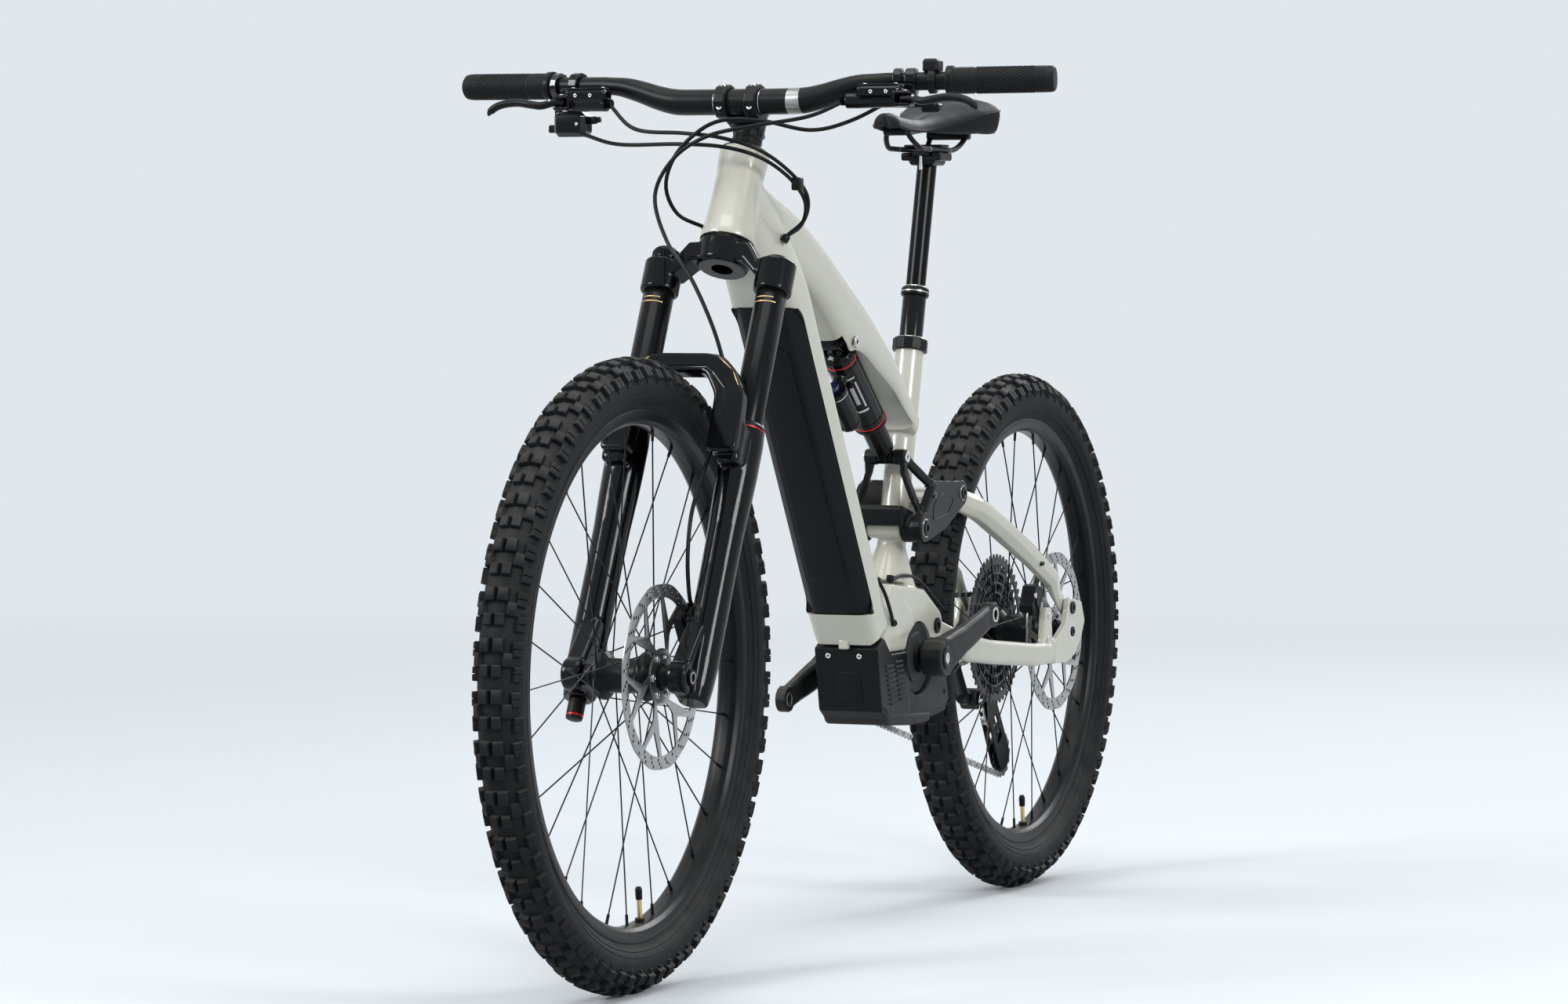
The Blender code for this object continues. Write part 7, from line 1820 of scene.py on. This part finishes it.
def rails():
    nose, low, x = saddleSizes["noseY"], saddleSizes["railLow"], 0.022
    pieces = []
    for side in (1, -1):
        points = [
            (0.012, nose + 0.052, low + 0.0250), (0.014, nose + 0.055, low + 0.0215),
            (0.018, nose + 0.062, low + 0.0115), (x, nose + 0.080, low + 0.0015),
            (x, nose + 0.100, low), (x, nose + 0.150, low), (x, nose + 0.195, low),
            (x + 0.001, nose + 0.222, low + 0.0070), (x + 0.004, nose + 0.240, low + 0.0200),
        ]
        route = smoothRoute([(side * a, b, c) for a, b, c in points], 0.004)
        pieces.append(pipe(f"rail{side}", "satin", route, 0.0035, 20))
        marks = [p for p in route if nose + 0.110 < p.y < nose + 0.190]
        for mark in (marks[0], marks[-2]):
            pieces.append(pipe(f"railMark{side}", "mark", [mark, mark + Vector((0, 0.001, 0))], 0.00356, 20))
    start, end = (-0.0165, nose + 0.045, low + 0.0165), (0.0165, nose + 0.065, low + 0.0262)
    pieces.append(block("noseMount", "plastic", start, end, 0.003))
    start, end = (-0.0300, nose + 0.233, low + 0.0150), (0.0300, nose + 0.248, low + 0.0262)
    pieces.append(block("tailMount", "plastic", start, end, 0.003))
    fit(gathered("saddleRailPair", pieces, 40), "seatpost_and_saddle", "saddle_rails")


seatHardware()
rails()
saddle()
print("seat made")


# Rear end and shock
def swingarm():
    extras = [castFrom("swingarm", "paint", 0.0015, 10, 0.6)]
    for side in (-1, 1):
        extras.append(sideRing(f"axleFace{side}", "bright", rearAxle, side, 0.0828, 0.0842, 0.0070, 0.0120))
        extras.append(bolt(f"axleEnd{side}", rearAxle, side * 0.0835, side, 0.0068, "satin", 0.0020))
        extras.append(bolt(f"stayBolt{side}", stayPivot, side * 0.0836, side, 0.0088, "satin", 0.0026))
    for k, (y, z) in enumerate(((-0.082, -0.006), (-0.079, 0.026))):
        extras.append(bolt(f"lugScrew{k}", beside(rearAxle, y, z), 0.0779, 1, 0.0042, "bright", 0.0022))
    fit(gathered("swingarmFrame", extras, 50), "swingarm", "swingarm", "rear_axle")


def seatstays():
    extras = [castFrom("seatstays", "paint", 0.0012, 10, 0.6)]
    for side in (-1, 1):
        spot, x = beside(rearAxle, -0.110, 0.0985), side * 0.0795
        low, high = at(x - 0.002, beside(spot, -0.006, -0.003)), at(x + 0.002, beside(spot, 0.006, 0.003))
        extras.append(block(f"stayGuide{side}", "plastic", low, high, 0.0012))
    fit(gathered("seatstayPair", extras, 50), "seatstays", "seatstays")


def rocker():
    extras = [castFrom("rocker_link", "satin", 0.0011, 5, 0.7)]
    for side in (-1, 1):
        for name, spot, radius, reach, rim in (
            ("rocker", rockerPivot, 0.0105, 0.0108, 0.0122),
            ("eye", rockerEye, 0.0085, 0.0088, 0.0100),
        ):
            extras.append(bolt(f"{name}Bolt{side}", spot, side * 0.0550, side, radius, "satin", 0.0030))
            extras.append(sideRing(f"{name}Ring{side}", "bright", spot, side, 0.0548, 0.0562, reach, rim))
        extras.append(bolt(f"shockEyeBolt{side}", shockEye, side * 0.0280, side, 0.0070, "bright", 0.0026))
        pocket = [(0.024, 0.008), (0.082, 0.016), (0.104, 0.036), (0.060, 0.044), (0.030, 0.032)]
        pocket = rounded([beside(rockerPivot, *spot) for spot in pocket], 0.009, 4)
        inner = [between(p, beside(rockerPivot, 0.062, 0.028), 0.08) for p in pocket]
        low, high = sidePair(side, 0.0549, 0.0556)
        extras.append(sidePlate(f"rockerPocket{side}", "satin", pocket, low, high, [inner[::-1]], 0.0003))
    extras.append(bolt("smallBlueBolt", beside(rockerPivot, 0.030, 0.042), 0.0549, 1, 0.0040, "blue", 0.0024))
    fit(gathered("rockerFrame", extras, 45), "rocker_link", "rocker_link", "rocker_axle")


def shock():
    top = at(0, shockTop)
    way = (at(0, shockEye) - top).normalized()
    out = Vector((0, way.z, -way.y))
    extras = [castFrom("shock_body", "forkGloss", 0.0009, 5, 0.7)]
    for name, low, high, grow, look in (
        ("redSealUpper", 0.0300, 0.0320, 0.0003, "red"),
        ("redSealLower", 0.1560, 0.1580, 0.0002, "red"),
        ("canGrooveA", 0.0380, 0.0388, 0.0002, "hose"),
        ("canGrooveB", 0.1480, 0.1486, 0.0002, "hose"),
        ("canCollar", 0.1600, 0.1655, 0.0004, "satin"),
    ):
        radius = 0.0220 + grow
        ring = hoopProfile(radius - 0.0012, radius, low, high)
        extras.append(turned(name, look, ring, top, way, 64, True, 0.0002))
    reservoir = top + out * 0.043
    for name, low, high, look in (
        ("reservoirRing", 0.0500, 0.0512, "bright"),
        ("reservoirFoot", 0.1065, 0.1075, "hose"),
    ):
        extras.append(turned(name, look, hoopProfile(0.0150, 0.0157, low, high), reservoir, way, 48, True))
    dial = [(0, 0), (0.0075, 0), (0.0080, -0.002), (0.0080, -0.007), (0.0068, -0.0085), (0, -0.0085)]
    foot = reservoir + way * 0.0445
    extras.append(turned("compressionDial", "blue", dial, foot, way, 32, False, 0.0004))
    # plain label bars round the can, facing forward and left: from, to, first angle, last angle
    bars = (
        (0.062, 0.112, 132, 138, "mark"),
        (0.064, 0.110, 102, 128, "satin"),
        (0.070, 0.104, 108, 122, "mark"),
        (0.116, 0.120, 98, 140, "mark"),
        (0.052, 0.055, 98, 140, "mark"),
    )
    side, other = Vector((1, 0, 0)), way.cross(Vector((1, 0, 0)))
    for k, (low, high, first, last, look) in enumerate(bars):
        bm = bmesh.new()
        rows = []
        for h in (low, high):
            angles = [radians(first + (last - first) * i / 6) for i in range(7)]
            outs = [(side * -cos(a) + other * sin(a)) * (0.0222 + 0.00003 * k) for a in angles]
            rows.append([bm.verts.new(top + way * h + out) for out in outs])
        for i in range(6):
            bm.faces.new((rows[0][i], rows[0][i + 1], rows[1][i + 1], rows[1][i]))
        extras.append(fromBm(f"canLabel{k}", bm, look))
    fit(gathered("shockCan", extras, 45), "shock_body", "shock_body")
    shaft = castFrom("shock_shaft", "stanchion", 0.0008, 5, 0.7)
    fit(gathered("shockRod", [shaft], 45), "shock_shaft", "shock_shaft")


swingarm()
seatstays()
rocker()
shock()
print("rear end made")


# Crank, chain and derailleur
driveSizes = {"chainline": -0.0525, "pitch": cassetteSizes["pitch"], "arm": 0.1677, "rise": 16.6}
toothCounts = {"ring": 36, "cog": 24, "guide": 12, "tension": 14}


def pitchRadius(teeth):
    return driveSizes["pitch"] / (2 * sin(pi / teeth))


def chainLoop():
    centres, turns = (crankAxle, rearAxle, guidePulley, tensionPulley), (-1, -1, 1, -1)
    wheels = [
        (spot, pitchRadius(toothCounts[word]), turn)
        for spot, word, turn in zip(centres, toothCounts, turns)
    ]
    signed = [turn * radius for _, radius, turn in wheels]
    heading = []
    for i in range(4):
        a, b = wheels[i][0], wheels[(i + 1) % 4][0]
        span = sqrt((b[0] - a[0]) ** 2 + (b[1] - a[1]) ** 2)
        heading.append(atan2(b[1] - a[1], b[0] - a[0]) + asin((signed[i] - signed[(i + 1) % 4]) / span))
    loop, arcs = [], []
    for i, (centre, _, turn) in enumerate(wheels):
        arriving, leaving = heading[i - 1] - pi / 2, heading[i] - pi / 2
        swept = (leaving - arriving) % (2 * pi)
        if turn < 0:
            swept -= 2 * pi
        steps = max(2, ceil(abs(swept) / radians(3)))
        arcs.append((len(loop), len(loop) + steps))
        for k in range(steps + 1):
            angle = arriving + swept * k / steps
            loop.append(beside(centre, signed[i] * cos(angle), signed[i] * sin(angle)))
    return loop, arcs


def chain():
    loop, arcs = chainLoop()
    runs = [0.0]
    for a, b in zip(loop, loop[1:] + loop[:1]):
        runs.append(runs[-1] + (Vector(b) - Vector(a)).length)
    total = runs[-1]
    count = 2 * round(total / driveSizes["pitch"] / 2)
    step, spots, run, goal = total / count, [], 0.0, 0.0
    for a, b in zip(loop, loop[1:] + loop[:1]):
        a, b = Vector(a), Vector(b)
        span = (b - a).length
        while goal < run + span and len(spots) < count:
            spots.append(a + (b - a) * ((goal - run) / max(span, 1e-9)))
            goal += step
        run += span
    x = driveSizes["chainline"]
    pairs = [(spots[i], spots[(i + 1) % count]) for i in range(count)]

    def link(name, off, thick, tall):
        half = driveSizes["pitch"] / 2
        outline = arc((half, 0), tall, -75, 75, 4) + [(0, tall * 0.62)]
        outline += arc((-half, 0), tall, 105, 255, 4) + [(0, -tall * 0.62)]
        sides = []
        for side in (-1, 1):
            matrix = Matrix(((0, 0, 1, side * off), (0, 1, 0, 0), (1, 0, 0, 0), (0, 0, 0, 1)))
            sides.append(plate(f"{name}{side}", "steel", outline, thick, (), 0, matrix))
        return gathered(name, sides)

    def stretch(name, low, high):
        chosen = [i for i in range(count) if low <= (i + 0.5) * step < high]
        whole = []
        for word, off, odd in (("inner", 0.0016, 0), ("outer", 0.0026, 1)):
            placed = []
            for i in chosen:
                if i % 2 == odd:
                    a, b = pairs[i]
                    placed.append((Vector((x, (a.x + b.x) / 2, (a.y + b.y) / 2)), (0, b.x - a.x, b.y - a.y)))
            if placed:
                shape = link(f"{name}{word}Shape", off, 0.0008, 0.0043)
                whole.append(copiesAt(f"{name}{word}", "chain", shape, placed))
        pins = [(Vector((x, spots[i].x, spots[i].y)), (1, 0, 0)) for i in chosen]
        pin = rod(name + "Pin", "steel", (0, 0, -0.0033), (0, 0, 0.0033), 0.0018, None, 0, 8)
        roller = rod(name + "Roller", "steel", (0, 0, -0.0011), (0, 0, 0.0011), 0.0037, None, 0, 10)
        whole.append(copiesAt(name + "Pins", "steel", pin, pins))
        whole.append(copiesAt(name + "Rollers", "steel", roller, pins))
        return gathered(name, whole)

    cassetteEnd, guideStart, tensionEnd = arcs[1][1], arcs[2][0], arcs[3][1]
    upper = stretch("rollerChain", 0, runs[cassetteEnd])
    at(x, beside(rearAxle, -0.10, 0))
    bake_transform(upper)
    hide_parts("chain")
    guide = stretch("chainToGuide", runs[cassetteEnd], runs[guideStart])
    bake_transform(guide)
    fit(stretch("chainInCage", runs[guideStart], runs[tensionEnd]), "derailleur_cage")
    halfway, middle = (runs[tensionEnd] + total) / 2, at(x, between(loop[tensionEnd], loop[0], 0.5))
    rear = stretch("chainLowerRear", runs[tensionEnd], halfway)
    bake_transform(rear)
    ahead = stretch("chainLowerFront", halfway, total)
    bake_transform(ahead)


def pulley(which, centre, teeth):
    outline = [beside(centre, y, z) for y, z in cogOutline(teeth, 0.0020, 0.0026)]
    outline = [between(centre, p, 0.94) for p in outline]
    x = driveSizes["chainline"]
    holes = [circle(centre, 0.0036, 20)]
    for k in range(6):
        spot = beside(centre, *polar(pitchRadius(teeth) * 0.58, 2 * pi * k / 6))
        holes.append(circle(spot, 0.0026, 14))
    wheel = sidePlate(f"{which}Teeth", "plastic", outline, x - 0.0010, x + 0.0010, holes, 0.0002)
    hubRing = ringAcross(f"{which}Bushing", "steel", centre, x - 0.0028, x + 0.0028, 0.0033, 0.0058)
    fit(gathered(f"{which}Wheel", [wheel, hubRing]), f"{which}_pulley", f"{which}_pulley")


def derailleur():
    x = driveSizes["chainline"]
    extras = [castFrom("derailleur_body", "forged", 0.0008, 5, 0.7)]
    hanger = beside(rearAxle, 0.008, -0.044)
    extras.append(bolt("hangerBolt", hanger, -0.1000, -1, 0.0075, "satin", 0.0026))
    extras.append(bolt("cageBolt", cagePivot, -0.0860, -1, 0.0090, "satin", 0.0026))
    for k, shift in enumerate((-0.006, 0.008)):
        start = at(-0.0990, beside(hanger, 0.002, shift - 0.004))
        end = at(-0.0860, beside(cagePivot, -0.020, shift + 0.006))
        extras.append(rod(f"linkBar{k}", "satin", start, end, 0.0038, None, 0.0008, 16))
        for j, spot in enumerate((start, end)):
            pin = Vector((0.0046, 0, 0))
            extras.append(rod(f"linkPin{k}{j}", "bright", spot - pin, spot + pin, 0.0022, None, 0.0003, 16))
    profile = [(0, 0), (0.0040, 0), (0.0040, 0.008), (0.0030, 0.010), (0, 0.010)]
    spot = at(-0.0900, beside(cagePivot, -0.034, 0.004))
    extras.append(turned("adjuster", "satin", profile, spot, (0, -1, 0.2), 20, False, 0.0003))
    fit(gathered("derailleurBody", extras, 40), "swingarm", "derailleur_body")
    cageWay = Vector(away(guidePulley, tensionPulley))
    reach = (Vector(tensionPulley) - Vector(guidePulley)).length
    windows = []
    for first, last, wide in ((0.24, 0.46, 0.0085), (0.52, 0.72, 0.0095)):
        corners = []
        for share, off in ((first, -wide), (last, -wide), (last, wide), (first, wide)):
            shift = cageWay * (reach * share) + Vector((-cageWay.y, cageWay.x)) * off
            corners.append(beside(guidePulley, *shift))
        windows.append(sidePlate(f"cageWindow{first}", "satin", rounded(corners, 0.003), x - 0.02, x + 0.02))
    extras = [castFrom("derailleur_cage", "satin", 0.0006, 3, 0.6, cuts=windows)]
    for k, centre in enumerate((guidePulley, tensionPulley)):
        extras.append(bolt(f"pulleyBolt{k}", centre, x - 0.0066, -1, 0.0040, "bright", 0.0018))
    fit(gathered("derailleurCage", extras, 40), "derailleur_cage", "derailleur_cage")
    pulley("guide", guidePulley, toothCounts["guide"])
    pulley("tension", tensionPulley, toothCounts["tension"])


def cranks():
    rise = radians(driveSizes["rise"])
    for word, side in (("left", 1), ("right", -1)):
        tip = beside(crankAxle, side * cos(rise) * driveSizes["arm"], side * sin(rise) * driveSizes["arm"])
        arm = castFrom(f"crank_{word}", "forged", 0.0011, 7, 0.6)
        along = Vector((0, *away(crankAxle, tip)))
        crosswise = along.cross(Vector((1, 0, 0)))
        middle, reach = at(0, crankAxle), driveSizes["arm"]
        for vertex in arm.data.vertices:  # the arm is broadest half way
            share = min(1.0, max(0.0, (vertex.co - middle).dot(along) / reach))
            vertex.co += crosswise * ((vertex.co - middle).dot(crosswise) * 0.42 * sin(pi * share) ** 0.7)
        extras = [arm]
        extras.append(sideRing(f"pedalRing{word}", "bright", tip, side, 0.0868, 0.0881, 0.0071, 0.0100))
        extras.append(sideRing(f"pedalRingIn{word}", "steel", tip, side, 0.0730, 0.0738, 0.0071, 0.0095))
        cap = [
            (0, 0.0805), (0.0150, 0.0805), (0.0150, 0.0822), (0.0135, 0.0830),
            (0.0085, 0.0830), (0.0075, 0.0815), (0, 0.0815),
        ]
        extras.append(turned(f"crankCap{word}", "satin", cap, middle, (side, 0, 0), 48, False, 0.0003))
        key = [
            (0, 0.0812), (0.0072, 0.0812), (0.0072, 0.0824), (0.0045, 0.0826), (0.0045, 0.0818), (0, 0.0818)
        ]
        extras.append(turned(f"crankBolt{word}", "bright", key, middle, (side, 0, 0), 24))
        fit(gathered(f"{word}Crank", extras, 45), "cranks", f"crank_{word}")
    x, radius = driveSizes["chainline"], pitchRadius(toothCounts["ring"])
    outline = [beside(crankAxle, y, z) for y, z in cogOutline(toothCounts["ring"], 0.0024, 0.0032)]
    outline = [between(crankAxle, p, 0.975) for p in outline]
    holes = []
    for k in range(5):
        middle = 360 * k / 5 + 20
        window = arc(crankAxle, 0.036, middle - 22, middle + 22, 4)
        window += arc(crankAxle, radius - 0.018, middle + 25, middle - 25, 6)
        holes.append(rounded(window, 0.003, 2))
    holes.append(circle(crankAxle, 0.0103, 40))
    ring = sidePlate("ringTeeth", "satin", outline, x - 0.0012, x + 0.0012, holes, 0.0003)
    bolts = [ring]
    for k in range(5):
        angle = radians(360 * k / 5 + 56)
        spot = beside(crankAxle, *polar(0.046, angle))
        bolts.append(across(f"ringBolt{k}", "bright", spot, x - 0.0024, x + 0.0024, 0.0042, None, 0.0005, 20))
    fit(gathered("chainringPlate", bolts), "cranks", "chainring")


cranks()
chain()
derailleur()
paint("battery_pack", "plastic")
print("drive made")
